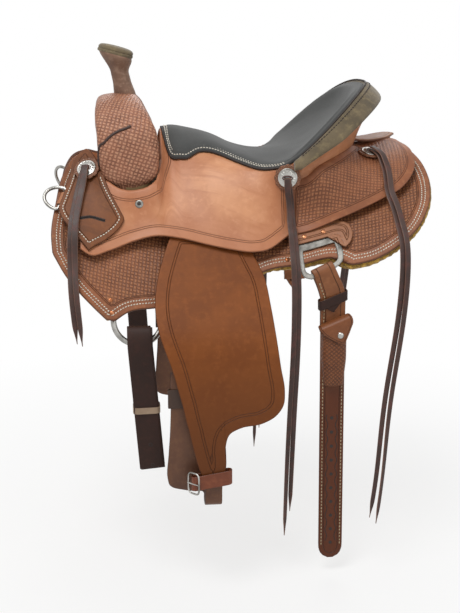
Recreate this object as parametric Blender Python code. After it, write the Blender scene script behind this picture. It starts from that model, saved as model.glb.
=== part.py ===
"""Ranch saddle: a roping tree with its horn, skirts, jockeys, fenders, rigging and strings.

Metres, +Z up. The horn points to -X, the near side (rider's left) is -Y. The origin is on the centre
line over the horse's spine, level with the skirts' upper edges at the middle of the seat.
Shapes are worked out with y pointing outwards from the centre line and then put on a side:
NEAR is the -Y side, OFF the +Y side.
"""
import math

import bmesh
import bpy
import numpy as np

for old in list(bpy.data.objects):
    bpy.data.objects.remove(old, do_unlink=True)

NEAR = -1
OFF = 1
SIDES = ((NEAR, "near"), (OFF, "off"))

# Clearances
LAYER_GAP = 0.0008
TOUCH_GAP = 0.0003

# The horse's back that everything lies on: an arc across, a shallow saddle curve along
SPINE_HALF_GAP = 0.035
SPINE_RISE = 0.045
SPINE_RISE_AT = 0.290
FLANK_DEPTH = 0.330
FLANK_TOP_ANGLE = math.radians(32)
FLANK_TOP_TWIST = math.radians(8)
FLANK_HEM_ANGLE = math.radians(66)
FLANK_HEM_TWIST = math.radians(4)
TWIST_LENGTH = 0.300
CELL_ALONG = 0.058
CELL_DOWN = 0.042

# Leather and padding
SKIRT_THICK = 0.006
FLEECE_THICK = 0.012
FLEECE_SHOWS = 0.007
FLEECE_INSET = 0.001
JOCKEY_THICK = 0.0045
KEEPER_THICK = 0.0045
KEEPER_GAP = 0.0012
FENDER_THICK = 0.0045
STRAP_THICK = 0.0042
SAFE_THICK = 0.0035
BINDING_THICK = 0.0065
BINDING_WIDE = 0.040

# Tree
BAR_THICK = 0.020
BAR_TOP = SKIRT_THICK + LAYER_GAP + BAR_THICK
FORK_WALL = 0.044
FORK_CROWN = 0.052
COVER_THICK = 0.004
GROUND_SEAT_THICK = 0.006
SEAT_LEATHER_THICK = 0.0045
SEAT_PAD_THICK = 0.010

# Horn
HORN_HEIGHT = 0.072
HORN_WRAP_THICK = 0.006
HORN_CAP_LONG = 0.064
HORN_CAP_WIDE = 0.062
HORN_CAP_THICK = 0.011
HORN_CAP_TILT = math.radians(14.5)
HORN_TOP = (-0.2080, 0.0, 0.2290)
HORN_ROOT_X = -0.1915
HORN_NECK_LONG = 0.0330
HORN_NECK_WIDE = 0.0360

# Metal
RING_OUTSIDE = 0.093
RING_WIRE = 0.010
DEE_PLATE_THICK = 0.0034
BREAST_WIRE = 0.006
CONCHO_ACROSS = 0.034
CONCHO_THICK = 0.0032
ROSETTE_ACROSS = 0.046
ROSETTE_THICK = 0.0028

# Straps
LATIGO_WIDE = 0.042
LATIGO_LONG = 0.226
LATIGO_TOP_WIDE = 0.042
LATIGO_BUNDLE = 0.0316
LATIGO_CLEAR = 0.0094
LATIGO_CROWN = 0.026
OFF_BILLET_TOP_WIDE = 0.028
OFF_BILLET_CLEAR = 0.0082
OFF_BILLET_CROWN = 0.0140
BILLET_WIDE = 0.044
BILLET_LONG = 0.540
OFF_REAR_BILLET_LONG = 0.150
OFF_BILLET_LONG = 0.210
OFF_BILLET_WIDE = 0.040
OFF_BILLET_SHIFT = 0.004
HOBBLE_WIDE = 0.026
STRING_WIDE = 0.014
STRING_THICK = 0.0032

# Rims and sections of the seat
RIM_FRONT_X = 0.092
RIM_REACH = 0.152
RIM_HALF_WIDE = 0.160
RIM_SQUARE = 2.3
RIM_FOOT_Z = 0.050
RIM_RISE = 0.128
RIM_FALL = 3.2


# Curves


def spread(points, steps, closed=False):
    """A smooth line through the points; a third or fourth value of 1 marks a corner."""
    rows = [tuple(p) for p in points]
    width = len(min(rows, key=len))
    corner = [len(p) > width and p[width] == 1 for p in rows]
    base = np.array([p[:width] for p in rows], float)
    count = len(base)
    last = count if closed else count - 1
    out = []
    for i in range(last):
        j = (i + 1) % count
        span = base[j] - base[i]
        here = tangent_at(base, i, closed, corner) * np.linalg.norm(span)
        there = tangent_at(base, j, closed, corner) * np.linalg.norm(span)
        if corner[i] or (not closed and i == 0):
            here = span
        if corner[j] or (not closed and j == count - 1):
            there = span
        for k in range(steps):
            t = k / steps
            out.append(hermite(base[i], here, base[j], there, t))
    if not closed:
        out.append(base[-1])
    return np.array(out)


def tangent_at(base, i, closed, corner):
    """The direction of a smooth line at a point, from its two neighbours, nearer one first."""
    count = len(base)
    if not closed and i in (0, count - 1):
        return np.zeros(base.shape[1])
    before = base[i] - base[i - 1]
    after = base[(i + 1) % count] - base[i]
    near, far = np.linalg.norm(before), np.linalg.norm(after)
    return (before / near * far + after / far * near) / (near + far)


def hermite(a, da, b, db, t):
    """A cubic from a to b that leaves with da and arrives with db."""
    u = 1 - t
    return a * u * u * (1 + 2 * t) + b * t * t * (3 - 2 * t) + da * t * u * u - db * t * t * u


def station(table, x, column):
    """One column of a table of sections, read smoothly at x (the first column is x)."""
    rows = np.array(table, float)
    xs, ys = rows[:, 0], rows[:, column]
    slopes = np.gradient(ys, xs)
    x = np.clip(np.asarray(x, float), xs[0], xs[-1])
    i = np.clip(np.searchsorted(xs, x, side="right") - 1, 0, len(xs) - 2)
    span = xs[i + 1] - xs[i]
    t = (x - xs[i]) / span
    return hermite(ys[i], slopes[i] * span, ys[i + 1], slopes[i + 1] * span, t)


def bezier(a, b, c, d, t):
    """A cubic Bezier through arrays of points."""
    t = t[..., None]
    u = 1 - t
    return a * u**3 + 3 * b * u * u * t + 3 * c * u * t * t + d * t**3


# Surfaces


def flank_frame(x):
    """Radius, start angle and centre of the arc across the horse's back at x."""
    x = np.asarray(x, float)
    start = FLANK_TOP_ANGLE - FLANK_TOP_TWIST * x / TWIST_LENGTH
    end = FLANK_HEM_ANGLE - FLANK_HEM_TWIST * x / TWIST_LENGTH
    radius = FLANK_DEPTH / (end - start)
    centre_y = SPINE_HALF_GAP - radius * np.sin(start)
    centre_z = SPINE_RISE * (x / SPINE_RISE_AT) ** 2 - radius * np.cos(start)
    return radius, start, centre_y, centre_z


def flank(x, s, h):
    """The point h above the horse's back, s down its side from the spine, at x."""
    x, s, h = np.broadcast_arrays(np.asarray(x, float), s, h)
    radius, start, centre_y, centre_z = flank_frame(x)
    angle = start + s / radius
    return np.stack([x, centre_y + (radius + h) * np.sin(angle), centre_z + (radius + h) * np.cos(angle)], -1)


def flank_height(x, y, h):
    """The z of the surface h above the horse's back, over the plan point x, y."""
    radius, _, centre_y, centre_z = flank_frame(x)
    return centre_z + np.sqrt((radius + h) ** 2 - (np.abs(y) - centre_y) ** 2)


def flank_slope(x, s):
    """Unit directions down the flank and out of it."""
    radius, start, _, _ = flank_frame(x)
    angle = start + s / radius
    down = np.stack([0 * angle, np.cos(angle), -np.sin(angle)], -1)
    out = np.stack([0 * angle, np.sin(angle), np.cos(angle)], -1)
    return down, out


# The seat's sections: x, centre height, edge y, edge z, arriving angle, leaving angle below level
SEAT_SECTIONS = [
    (-0.276, 0.100, 0.078, 0.034, 40, 42),
    (-0.258, 0.100, 0.082, 0.036, 42, 45),
    (-0.235, 0.100, 0.106, 0.026, 50, 55),
    (-0.205, 0.100, 0.1265, 0.008, 56, 58),
    (-0.175, 0.098, 0.1285, 0.006, 56, 58),
    (-0.1500, 0.097, 0.1265, 0.016, 54, 54),
    (-0.1385, 0.097, 0.1155, 0.028, 50, 50),
    (-0.1335, 0.097, 0.0960, 0.042, 48, 48),
    (-0.1300, 0.096, 0.0760, 0.054, 46, 46),
    (-0.094, 0.089, 0.074, 0.053, 46, 46),
    (-0.040, 0.075, 0.092, 0.049, 34, 36),
    (0.000, 0.056, 0.110, 0.039, 20, 40),
    (0.040, 0.047, 0.132, 0.030, 12, 60),
    (0.092, 0.050, 0.158, 0.044, -14, 84),
    (0.100, 0.052, 0.159, 0.048, -20, 85),
]
# The jockey's hem: x, distance down the flank, height over the horse's back
HEM_SECTIONS = [
    (-0.276, 0.193, 0.0225),
    (-0.260, 0.200, 0.0220),
    (-0.227, 0.186, 0.0220),
    (-0.182, 0.162, 0.0250),
    (-0.149, 0.153, 0.0325),
    (-0.104, 0.155, 0.0350),
    (-0.060, 0.165, 0.0340),
    (-0.017, 0.175, 0.0320),
    (0.020, 0.182, 0.0305),
    (0.048, 0.179, 0.0285),
    (0.075, 0.163, 0.0265),
    (0.092, 0.151, 0.0262),
]
# The dish in front of the cantle: x, centre height
DISH_CENTRE = [
    (0.0920, 0.050),
    (0.1200, 0.057),
    (0.1550, 0.077),
    (0.1900, 0.104),
    (0.2220, 0.138),
    (0.2415, 0.168),
]
RIM_INSET = 0.0080


def rim(angle):
    """The cantle's crest: a squared ellipse in plan that drops away at its two ends."""
    c, s = np.cos(angle), np.sin(angle)
    x = RIM_FRONT_X + RIM_REACH * np.abs(c) ** (2 / RIM_SQUARE)
    y = RIM_HALF_WIDE * np.sign(s) * np.abs(s) ** (2 / RIM_SQUARE)
    z = rim_height(y)
    return np.stack([x, y, z], -1)


def rim_height(y):
    share = np.clip(np.abs(y) / RIM_HALF_WIDE, 0, 1)
    return RIM_FOOT_Z + RIM_RISE * np.sqrt(1 - share**RIM_FALL)


def rim_half_width(x):
    share = np.clip((x - RIM_FRONT_X) / RIM_REACH, 0, 1)
    return RIM_HALF_WIDE * (1 - share**RIM_SQUARE) ** (1 / RIM_SQUARE)


def seat_inner(x, w):
    """The seat's leather between its centre line (w 0) and its edge or the cantle's crest (w 1)."""
    x, w = np.broadcast_arrays(np.asarray(x, float), np.asarray(w, float))
    side, w = np.sign(w), np.abs(w)
    edge_y, edge_z = station(SEAT_SECTIONS, x, 2), station(SEAT_SECTIONS, x, 3)
    angle = np.radians(station(SEAT_SECTIONS, x, 4))
    middle = station(SEAT_SECTIONS, x, 1)
    zero = 0 * x
    a = np.stack([x, zero, middle], -1)
    b = np.stack([x, 0.45 * edge_y, middle], -1)
    pull = 0.38 * edge_y
    c = np.stack([x, edge_y - pull * np.cos(angle), edge_z + pull * np.sin(angle)], -1)
    d = np.stack([x, edge_y, edge_z], -1)
    front = bezier(a, b, c, d, w)
    half = rim_half_width(x) - RIM_INSET
    centre = station(DISH_CENTRE, x, 1)
    top = rim_height(half) - RIM_INSET
    dish = np.stack([x, half * w, centre + (top - centre) * w**2.6], -1)
    mix = smooth_step(x, 0.070, 0.115)[..., None]
    place = front * (1 - mix) + dish * mix
    place[..., 1] *= np.where(side < 0, -1, 1)
    return place


def seat_outer(x, w):
    """The jockey between the seat's edge (w 0) and its hem (w 1), and on past the hem."""
    x, w = np.broadcast_arrays(np.asarray(x, float), np.asarray(w, float))
    at = np.clip(x, SEAT_SECTIONS[0][0], RIM_FRONT_X)
    edge_y, edge_z = station(SEAT_SECTIONS, at, 2), station(SEAT_SECTIONS, at, 3)
    angle = np.radians(station(SEAT_SECTIONS, at, 5))
    hem_s, hem_h = station(HEM_SECTIONS, at, 1), station(HEM_SECTIONS, at, 2)
    hem = flank(at, hem_s, hem_h)
    down, _ = flank_slope(at, hem_s)
    edge = np.stack([at, edge_y, edge_z], -1)
    long = np.linalg.norm(hem - edge, axis=-1)[..., None]
    leave = np.stack([0 * at, np.cos(angle), -np.sin(angle)], -1)
    inside = bezier(edge, edge + 0.36 * long * leave, hem - 0.42 * long * down, hem, np.clip(w, 0, 1))
    beyond = flank(at, hem_s + (w - 1) * long[..., 0], hem_h)
    place = np.where((w > 1)[..., None], beyond, inside)
    place[..., 0] = x
    return place


def smooth_step(x, low, high):
    t = np.clip((np.asarray(x, float) - low) / (high - low), 0, 1)
    return t * t * (3 - 2 * t)


def lifted(surface, a, b, h):
    """A surface of two values, moved h along its own normal (away from the horse)."""
    step = 0.0008
    base = surface(a, b)
    along = surface(a + step, b) - surface(a - step, b)
    across = surface(a, b + step) - surface(a, b - step)
    normal = np.cross(along, across)
    normal /= np.maximum(np.linalg.norm(normal, axis=-1, keepdims=True), 1e-9)
    outward = np.stack([0 * base[..., 0], base[..., 1], base[..., 2] + 0.5], -1)
    normal *= np.sign((normal * outward).sum(-1, keepdims=True) + 1e-12)
    return base + normal * np.asarray(h)[..., None] if np.ndim(h) else base + normal * h


# Bodies


def material(name, colour, roughness, metallic=0.0):
    made = bpy.data.materials.new(name)
    made.use_nodes = True
    shader = made.node_tree.nodes["Principled BSDF"]
    shader.inputs["Base Color"].default_value = (*colour, 1)
    shader.inputs["Roughness"].default_value = roughness
    shader.inputs["Metallic"].default_value = metallic
    return made


TOOLED = ("tooled skirting leather", (0.36, 0.17, 0.085), 0.55)
SMOOTH = ("smooth skirting leather", (0.53, 0.26, 0.13), 0.5)
FENDER = ("fender leather", (0.42, 0.19, 0.08), 0.5)
SUEDE = ("charcoal suede", (0.05, 0.05, 0.052), 0.9)
ROUGHOUT = ("olive roughout leather", (0.25, 0.19, 0.10), 0.85)
WOOL = ("woolskin", (0.62, 0.42, 0.12), 0.95)
LATIGO = ("burgundy latigo leather", (0.06, 0.022, 0.02), 0.45)
HOBBLE = ("red brown strap leather", (0.25, 0.07, 0.03), 0.5)
RAWHIDE = ("rawhide over wood", (0.62, 0.5, 0.33), 0.6)
STEEL = ("stainless steel", (0.72, 0.72, 0.70), 0.3, 1.0)
HORN_WRAP = ("horn wrap leather", (0.27, 0.12, 0.06), 0.6)


def body(name, verts, faces, finish, side=OFF):
    """One closed body; the shape is worked out on the +Y side and put on the side asked for."""
    place = np.array(verts, float).copy()
    place[:, 1] *= side
    mesh = bpy.data.meshes.new(name)
    mesh.from_pydata([tuple(p) for p in place], [], [tuple(int(i) for i in f) for f in faces])
    mesh.validate()
    turned = bmesh.new()
    turned.from_mesh(mesh)
    bmesh.ops.recalc_face_normals(turned, faces=turned.faces)
    if turned.calc_volume(signed=True) < 0:
        bmesh.ops.reverse_faces(turned, faces=turned.faces)
    turned.to_mesh(mesh)
    turned.free()
    mesh.shade_smooth()
    mesh.set_sharp_from_angle(angle=math.radians(40))
    thing = bpy.data.objects.new(name, mesh)
    bpy.context.scene.collection.objects.link(thing)
    mesh.materials.append(material(name + " " + finish[0], *finish[1:]))
    return thing


def sheet(name, outer, inner, faces, finish, side=OFF):
    """A closed body between two matching skins, walled along their open edges."""
    outer, inner = outer.reshape(-1, 3), inner.reshape(-1, 3)
    count = len(outer)
    used = {}
    for face in faces:
        for a, b in zip(face, list(face[1:]) + [face[0]]):
            used[(min(a, b), max(a, b))] = used.get((min(a, b), max(a, b)), 0) + 1
    solid = [tuple(f) for f in faces]
    solid += [tuple(i + count for i in reversed(f)) for f in faces]
    for face in faces:
        for a, b in zip(face, list(face[1:]) + [face[0]]):
            if used[(min(a, b), max(a, b))] == 1:
                solid.append((b, a, a + count, b + count))
    return body(name, np.concatenate([outer, inner]), solid, finish, side)


def grid_faces(rows, columns, keep=None, halves=False):
    """The quads of a grid of points, or their halves, those that keep says where it is given."""
    out = []
    for r in range(rows - 1):
        for c in range(columns - 1):
            if keep is None or keep(r, c):
                a = r * columns + c
                quad = (a, a + 1, a + columns + 1, a + columns)
                out += [quad[:3], (quad[0], quad[2], quad[3])] if halves else [quad]
    return out


def loft(name, rings, finish, side=OFF, closed=False, halves=False):
    """A body through rings of points, capped at both ends or closed on itself."""
    rings = np.array(rings, float)
    count, around = rings.shape[:2]
    faces = []
    for r in range(count if closed else count - 1):
        n = (r + 1) % count
        for k in range(around):
            m = (k + 1) % around
            quad = (r * around + k, r * around + m, n * around + m, n * around + k)
            faces += [quad[:3], (quad[0], quad[2], quad[3])] if halves else [quad]
    last = (count - 1) * around
    if halves:
        faces += [(0, k, k + 1) for k in range(1, around - 1)]
        faces += [(last, last + k + 1, last + k) for k in range(1, around - 1)]
    elif not closed:
        faces.append(tuple(range(around)))
        faces.append(tuple(last + k for k in reversed(range(around))))
    return body(name, rings.reshape(-1, 3), faces, finish, side)


def unit(v):
    v = np.asarray(v, float)
    return v / max(np.linalg.norm(v), 1e-12)


def ribbon(name, centres, widths, thicks, finish, side=OFF, across=(1, 0, 0)):
    """A strap along a line of centres; across is the direction of its width at each centre."""
    centres = np.array(centres, float)
    across = np.array(across, float)
    if across.ndim == 1:
        across = np.tile(across, (len(centres), 1))
    widths = np.broadcast_to(widths, len(centres))
    thicks = np.broadcast_to(thicks, len(centres))
    rings = []
    for i, centre in enumerate(centres):
        along = unit(centres[min(i + 1, len(centres) - 1)] - centres[max(i - 1, 0)])
        w = unit(across[i] - along * (across[i] @ along))
        n = np.cross(w, along)
        half, deep = w * widths[i] / 2, n * thicks[i] / 2
        rings.append([centre - half - deep, centre + half - deep, centre + half + deep, centre - half + deep])
    return loft(name, rings, finish, side)


def wire_rings(line, radius, sides, closed):
    """Round cross-sections along a line, without twist."""
    line = np.array(line, float)
    count = len(line)
    rings, normal = [], None
    for i in range(count):
        before = line[i - 1] if closed or i else line[0]
        after = line[(i + 1) % count] if closed or i < count - 1 else line[-1]
        along = unit(after - before)
        if normal is None:
            seed = np.array([0.0, 0.0, 1.0]) if abs(along[2]) < 0.9 else np.array([1.0, 0.0, 0.0])
            normal = unit(np.cross(along, seed))
        normal = unit(normal - along * (normal @ along))
        other = np.cross(along, normal)
        turn = np.arange(sides) * 2 * math.pi / sides
        rings.append(line[i] + radius * (np.cos(turn)[:, None] * normal + np.sin(turn)[:, None] * other))
    return rings


def cut_pattern(outline, holes=()):
    """A flat pattern piece, cut into cells that bend with the horse's back: points and triangles."""
    flat = bmesh.new()
    edges = []
    for loop in [outline, *holes]:
        ring = [flat.verts.new((p[0], p[1], 0)) for p in loop]
        edges += [flat.edges.new((ring[i - 1], ring[i])) for i in range(len(ring))]
    bmesh.ops.triangle_fill(flat, edges=edges, use_beauty=True, use_dissolve=False)
    low, high = np.min(outline, axis=0), np.max(outline, axis=0)
    for axis, cell in ((0, CELL_ALONG), (1, CELL_DOWN)):
        normal = (1, 0, 0) if axis == 0 else (0, 1, 0)
        for k in range(math.ceil(low[axis] / cell), math.floor(high[axis] / cell) + 1):
            point = tuple(k * cell * n for n in normal)
            everything = flat.verts[:] + flat.edges[:] + flat.faces[:]
            bmesh.ops.bisect_plane(flat, geom=everything, dist=0.0004, plane_co=point, plane_no=normal)
    join_cells(flat, {(round(p[0], 5), round(p[1], 5)) for loop in holes for p in loop})
    bmesh.ops.triangulate(flat, faces=flat.faces[:])
    flat.verts.index_update()
    points = np.array([(v.co.x, v.co.y) for v in flat.verts])
    faces = [tuple(v.index for v in f.verts) for f in flat.faces]
    flat.free()
    return points, faces


def join_cells(flat, kept):
    """Each cell of a cut pattern becomes one face again, except beside a hole."""
    cells = {}
    for face in flat.faces:
        if not any((round(v.co.x, 5), round(v.co.y, 5)) in kept for v in face.verts):
            middle = face.calc_center_median()
            cell = (math.floor(middle.x / CELL_ALONG), math.floor(middle.y / CELL_DOWN))
            cells.setdefault(cell, []).append(face)
    for group in cells.values():
        if len(group) > 1:
            bmesh.ops.dissolve_faces(flat, faces=group, use_verts=False)
    spare = []
    for vert in flat.verts:
        if len(vert.link_edges) == 2:
            a, b = [e.other_vert(vert).co - vert.co for e in vert.link_edges]
            if a.angle(-b) < 0.004:
                spare.append(vert)
    bmesh.ops.dissolve_verts(flat, verts=spare)


def panel(name, outline, top, bottom, finish, side, holes=()):
    """A pattern piece laid on the flank, between two heights or two height functions."""
    points, faces = cut_pattern(outline, holes)
    x, s = points[:, 0], points[:, 1]
    high = top(x, s) if callable(top) else flank(x, s, top)
    low = bottom(x, s) if callable(bottom) else flank(x, s, bottom)
    return sheet(name, high, low, faces, finish, side)


# Skirts, their woolskin, and the rigging let into them

SKIRT_POINTS = [
    (-0.262, -0.029, 1),
    (-0.284, -0.006),
    (-0.307, 0.050),
    (-0.318, 0.110),
    (-0.326, 0.175),
    (-0.324, 0.206, 1),
    (-0.303, 0.240),
    (-0.257, 0.285),
    (-0.235, 0.303, 1),
    (-0.220, 0.303, 1),
    (-0.196, 0.284),
    (-0.150, 0.272),
    (-0.100, 0.262),
    (0.000, 0.228),
    (0.050, 0.206),
    (0.100, 0.206),
    (0.165, 0.208),
    (0.190, 0.228, 1),
    (0.225, 0.231),
    (0.268, 0.222),
    (0.305, 0.203),
    (0.332, 0.165),
    (0.342, 0.120),
    (0.341, 0.075),
    (0.331, 0.025),
    (0.312, -0.029, 1),
    (0.150, -0.029, 1),
    (-0.120, -0.029, 1),
]
RING_X = -0.181
RING_S = 0.294


def grown(points, by):
    """An outline moved outwards by a distance, corner by corner."""
    p = np.array(points, float)
    before, after = np.roll(p, 1, 0), np.roll(p, -1, 0)
    along = after - before
    along /= np.linalg.norm(along, axis=1)[:, None]
    normal = np.stack([along[:, 1], -along[:, 0]], 1)
    area = (p[:, 0] * after[:, 1] - after[:, 0] * p[:, 1]).sum()
    return p + normal * np.reshape(by, (-1, 1)) * (1 if area > 0 else -1)


def ring_notch(outline, centre, radius):
    """The outline with a round bay cut into it for the rigging ring."""
    outline = np.array(outline)
    far = np.linalg.norm(outline - centre, axis=1) > radius
    start = next(i for i in range(len(outline)) if not far[i] and far[i - 1])
    order = [(start + i) % len(outline) for i in range(len(outline))]
    kept = [outline[i] for i in order if far[i]]
    first, last = kept[-1] - centre, kept[0] - centre
    a0, a1 = math.atan2(first[1], first[0]), math.atan2(last[1], last[0])
    while a1 < a0:
        a1 += 2 * math.pi
    if not a0 < math.radians(270) < a1 and not a0 < math.radians(-90) < a1:
        a0, a1 = a0 + 2 * math.pi, a1
    turns = np.linspace(a0, a1, 13)[1:-1]
    bay = [centre + radius * np.array([math.cos(t), math.sin(t)]) for t in turns]
    return np.array(kept + bay)


def make_skirts(side, word):
    outline = spread(SKIRT_POINTS, 3, closed=True)
    panel("skirt_" + word, outline, SKIRT_THICK, 0.0, TOOLED, side)
    rear = smooth_step(outline[:, 0], 0.030, 0.140)
    wool = grown(outline, -FLEECE_INSET + (FLEECE_SHOWS + FLEECE_INSET) * rear)
    wool[:, 1] = np.maximum(wool[:, 1], SKIRT_POINTS[0][1] + FLEECE_INSET)
    wool = ring_notch(wool, np.array([RING_X, RING_S]), RING_OUTSIDE / 2 + 0.004)
    panel("fleece_" + word, wool, -LAYER_GAP, -LAYER_GAP - FLEECE_THICK, WOOL, side)


def ring_frame():
    """Centre, downward direction and outward direction of the rigging ring."""
    radius = float(flank_frame(RING_X)[0])
    sag = (RING_OUTSIDE / 2) ** 2 / (2 * radius)
    height = -(RING_WIRE / 2 + LAYER_GAP + sag)
    centre = flank(RING_X, RING_S, height)
    down, out = flank_slope(RING_X, RING_S)
    return centre, down, out


def make_ring(side, word):
    centre, down, _ = ring_frame()
    middle = (RING_OUTSIDE - RING_WIRE) / 2
    turns = np.arange(28) * 2 * math.pi / 28
    line = [centre + middle * (math.sin(t) * np.array([1, 0, 0]) + math.cos(t) * down) for t in turns]
    loft("rigging_ring_" + word, wire_rings(line, RING_WIRE / 2, 8, True), STEEL, side, closed=True)


# Rear rigging: a flat dee riveted under a leather safe

DEE_OUTLINE = [
    (0.1020, 0.150, 1),
    (0.1660, 0.150, 1),
    (0.1700, 0.170, 1),
    (0.1765, 0.200),
    (0.1745, 0.217),
    (0.1630, 0.2270, 1),
    (0.1190, 0.2392, 1),
    (0.1070, 0.2330),
    (0.1005, 0.213),
    (0.0985, 0.180, 1),
]
DEE_OPENING = [
    (0.1085, 0.184, 1),
    (0.1635, 0.179, 1),
    (0.1662, 0.198),
    (0.1650, 0.2130),
    (0.1600, 0.2170, 1),
    (0.1170, 0.2290, 1),
    (0.1115, 0.2240),
    (0.1090, 0.208),
]
SAFE_OUTLINE = [
    (0.0850, 0.140, 1),
    (0.1700, 0.138),
    (0.1900, 0.150),
    (0.1960, 0.172),
    (0.1890, 0.190),
    (0.1800, 0.196, 1),
    (0.1735, 0.168, 1),
    (0.1680, 0.1665, 1),
    (0.0980, 0.1715, 1),
    (0.0850, 0.173, 1),
]
DEE_BAR = ((0.1180, 0.2340), (0.1615, 0.2220))
SAFE_BOTTOM = SKIRT_THICK + LAYER_GAP + DEE_PLATE_THICK + LAYER_GAP


def make_rear_rigging(side, word):
    low = SKIRT_THICK + LAYER_GAP
    opening = spread(DEE_OPENING, 3, closed=True)
    dee = spread(DEE_OUTLINE, 3, closed=True)
    panel("rear_dee_" + word, dee, low + DEE_PLATE_THICK, low, STEEL, side, holes=[opening])
    safe = spread(SAFE_OUTLINE, 3, closed=True)
    panel("rear_rigging_" + word, safe, SAFE_BOTTOM + SAFE_THICK, SAFE_BOTTOM, SMOOTH, side)


# Tree: two bars, the fork and the cantle

BAR_POINTS = [
    (-0.234, 0.008),
    (-0.240, 0.048),
    (-0.231, 0.086),
    (-0.180, 0.100),
    (-0.100, 0.092),
    (0.000, 0.088),
    (0.100, 0.092),
    (0.200, 0.100),
    (0.258, 0.092),
    (0.268, 0.050),
    (0.256, 0.006),
    (0.150, 0.000),
    (0.000, 0.006),
    (-0.150, 0.000),
]


def make_bar(side, word):
    low = SKIRT_THICK + LAYER_GAP
    outline = spread(BAR_POINTS, 2, closed=True)
    panel("tree_bar_" + word, outline, BAR_TOP, low, RAWHIDE, side)


# The fork's outer line: distance out, height, front x, back x
FORK_SECTIONS = [
    (0.1190, 0.0140, -0.205, -0.152),
    (0.1225, 0.0280, -0.224, -0.140),
    (0.1240, 0.0520, -0.235, -0.136),
    (0.1225, 0.0780, -0.240, -0.136),
    (0.1150, 0.1060, -0.244, -0.140),
    (0.0980, 0.1300, -0.246, -0.150),
    (0.0720, 0.1480, -0.246, -0.158),
    (0.0370, 0.1580, -0.244, -0.165),
    (0.0000, 0.1610, -0.243, -0.168),
]
FORK_TOP_DROP = 0.005
FORK_ROUND = 0.45


def fork_arch(shrink_out, shrink_in, steps=1):
    """Rings over the arch of the fork, each a rounded box across its wall."""
    right = spread(FORK_SECTIONS, steps) if steps > 1 else np.array(FORK_SECTIONS)
    left = right[::-1][1:].copy()
    left[:, 0] *= -1
    line = np.concatenate([right, left])
    rings = []
    for i, (y, z, front, back) in enumerate(line):
        before, after = line[max(i - 1, 0)], line[min(i + 1, len(line) - 1)]
        along = unit([after[0] - before[0], after[1] - before[1]])
        inward = np.array([along[1], -along[0]])
        if inward @ np.array([-y, 0.06 - z]) < 0:
            inward = -inward
        share = abs(y) / FORK_SECTIONS[0][0]
        wall = FORK_CROWN + (FORK_WALL - FORK_CROWN) * min(1.0, share * 1.1)
        drop = FORK_TOP_DROP * (1 - share)
        ring = []
        middle, half = (front + back) / 2, (back - front) / 2 - shrink_out
        for turn in np.arange(12) * math.pi / 6 + math.pi / 12:
            c, s = math.cos(turn), math.sin(turn)
            u = math.copysign(abs(c) ** FORK_ROUND, c)
            v = math.copysign(abs(s) ** FORK_ROUND, s)
            depth = shrink_out + (wall - shrink_out - shrink_in) * (1 - v) / 2
            x = middle + half * u
            slide = drop * max(0.0, -u) * (1 + v) / 2
            ring.append((x, y + inward[0] * depth, z + inward[1] * depth - slide))
        rings.append(ring)
    return np.array(rings)


def on_bars(rings):
    """An arch with its two feet set down on the bars."""
    for ring in (rings[0], rings[-1]):
        ring[:, 2] = flank_height(ring[:, 0], ring[:, 1], BAR_TOP + LAYER_GAP)
    return rings


def make_fork():
    core = COVER_THICK + LAYER_GAP
    rings = on_bars(fork_arch(core, core))
    loft("tree_fork", rings, RAWHIDE, halves=True)
    outer = on_bars(fork_arch(0.0, 0.0))
    inner = on_bars(fork_arch(COVER_THICK, COVER_THICK))
    around = outer.shape[1]
    count = len(outer)
    faces = []
    skin = count * around
    for r in range(count - 1):
        for k in range(around):
            m = (k + 1) % around
            a, b, c, d = r * around + k, r * around + m, (r + 1) * around + m, (r + 1) * around + k
            faces += [(a, b, c), (a, c, d)]
            faces += [(skin + a, skin + c, skin + b), (skin + a, skin + d, skin + c)]
    for r in (0, count - 1):
        for k in range(around):
            m = (k + 1) % around
            faces.append((r * around + k, r * around + m, skin + r * around + m, skin + r * around + k))
    verts = np.concatenate([outer.reshape(-1, 3), inner.reshape(-1, 3)])
    body("fork_cover", verts, faces, TOOLED)


# Horn


HORN_LEVELS = [0.078, 0.25, 0.40, 0.55, 0.70, 0.85, 1.0]
HORN_ROOT_LEVEL = 0.062


def horn_rings(grow, levels):
    """Oval rings up the horn's neck, waisted in the middle and flared under the cap."""
    rings = []
    for t in levels:
        flare = 0.0135 * smooth_step(t, 0.55, 1.0) + 0.003 * (1 - smooth_step(t, 0.0, 0.35))
        x = HORN_ROOT_X + (HORN_TOP[0] - HORN_ROOT_X) * t
        z = HORN_TOP[2] - HORN_HEIGHT * (1 - t)
        tilt = HORN_CAP_TILT * smooth_step(t, 0.2, 1.0)
        long = HORN_NECK_LONG / 2 + flare + grow
        wide = HORN_NECK_WIDE / 2 + flare + grow
        ring = []
        for turn in np.arange(16) * math.pi / 8:
            u, v = long * math.cos(turn), wide * math.sin(turn)
            ring.append((x + u * math.cos(tilt), v, z - u * math.sin(tilt)))
        rings.append(ring)
    return np.array(rings)


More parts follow.
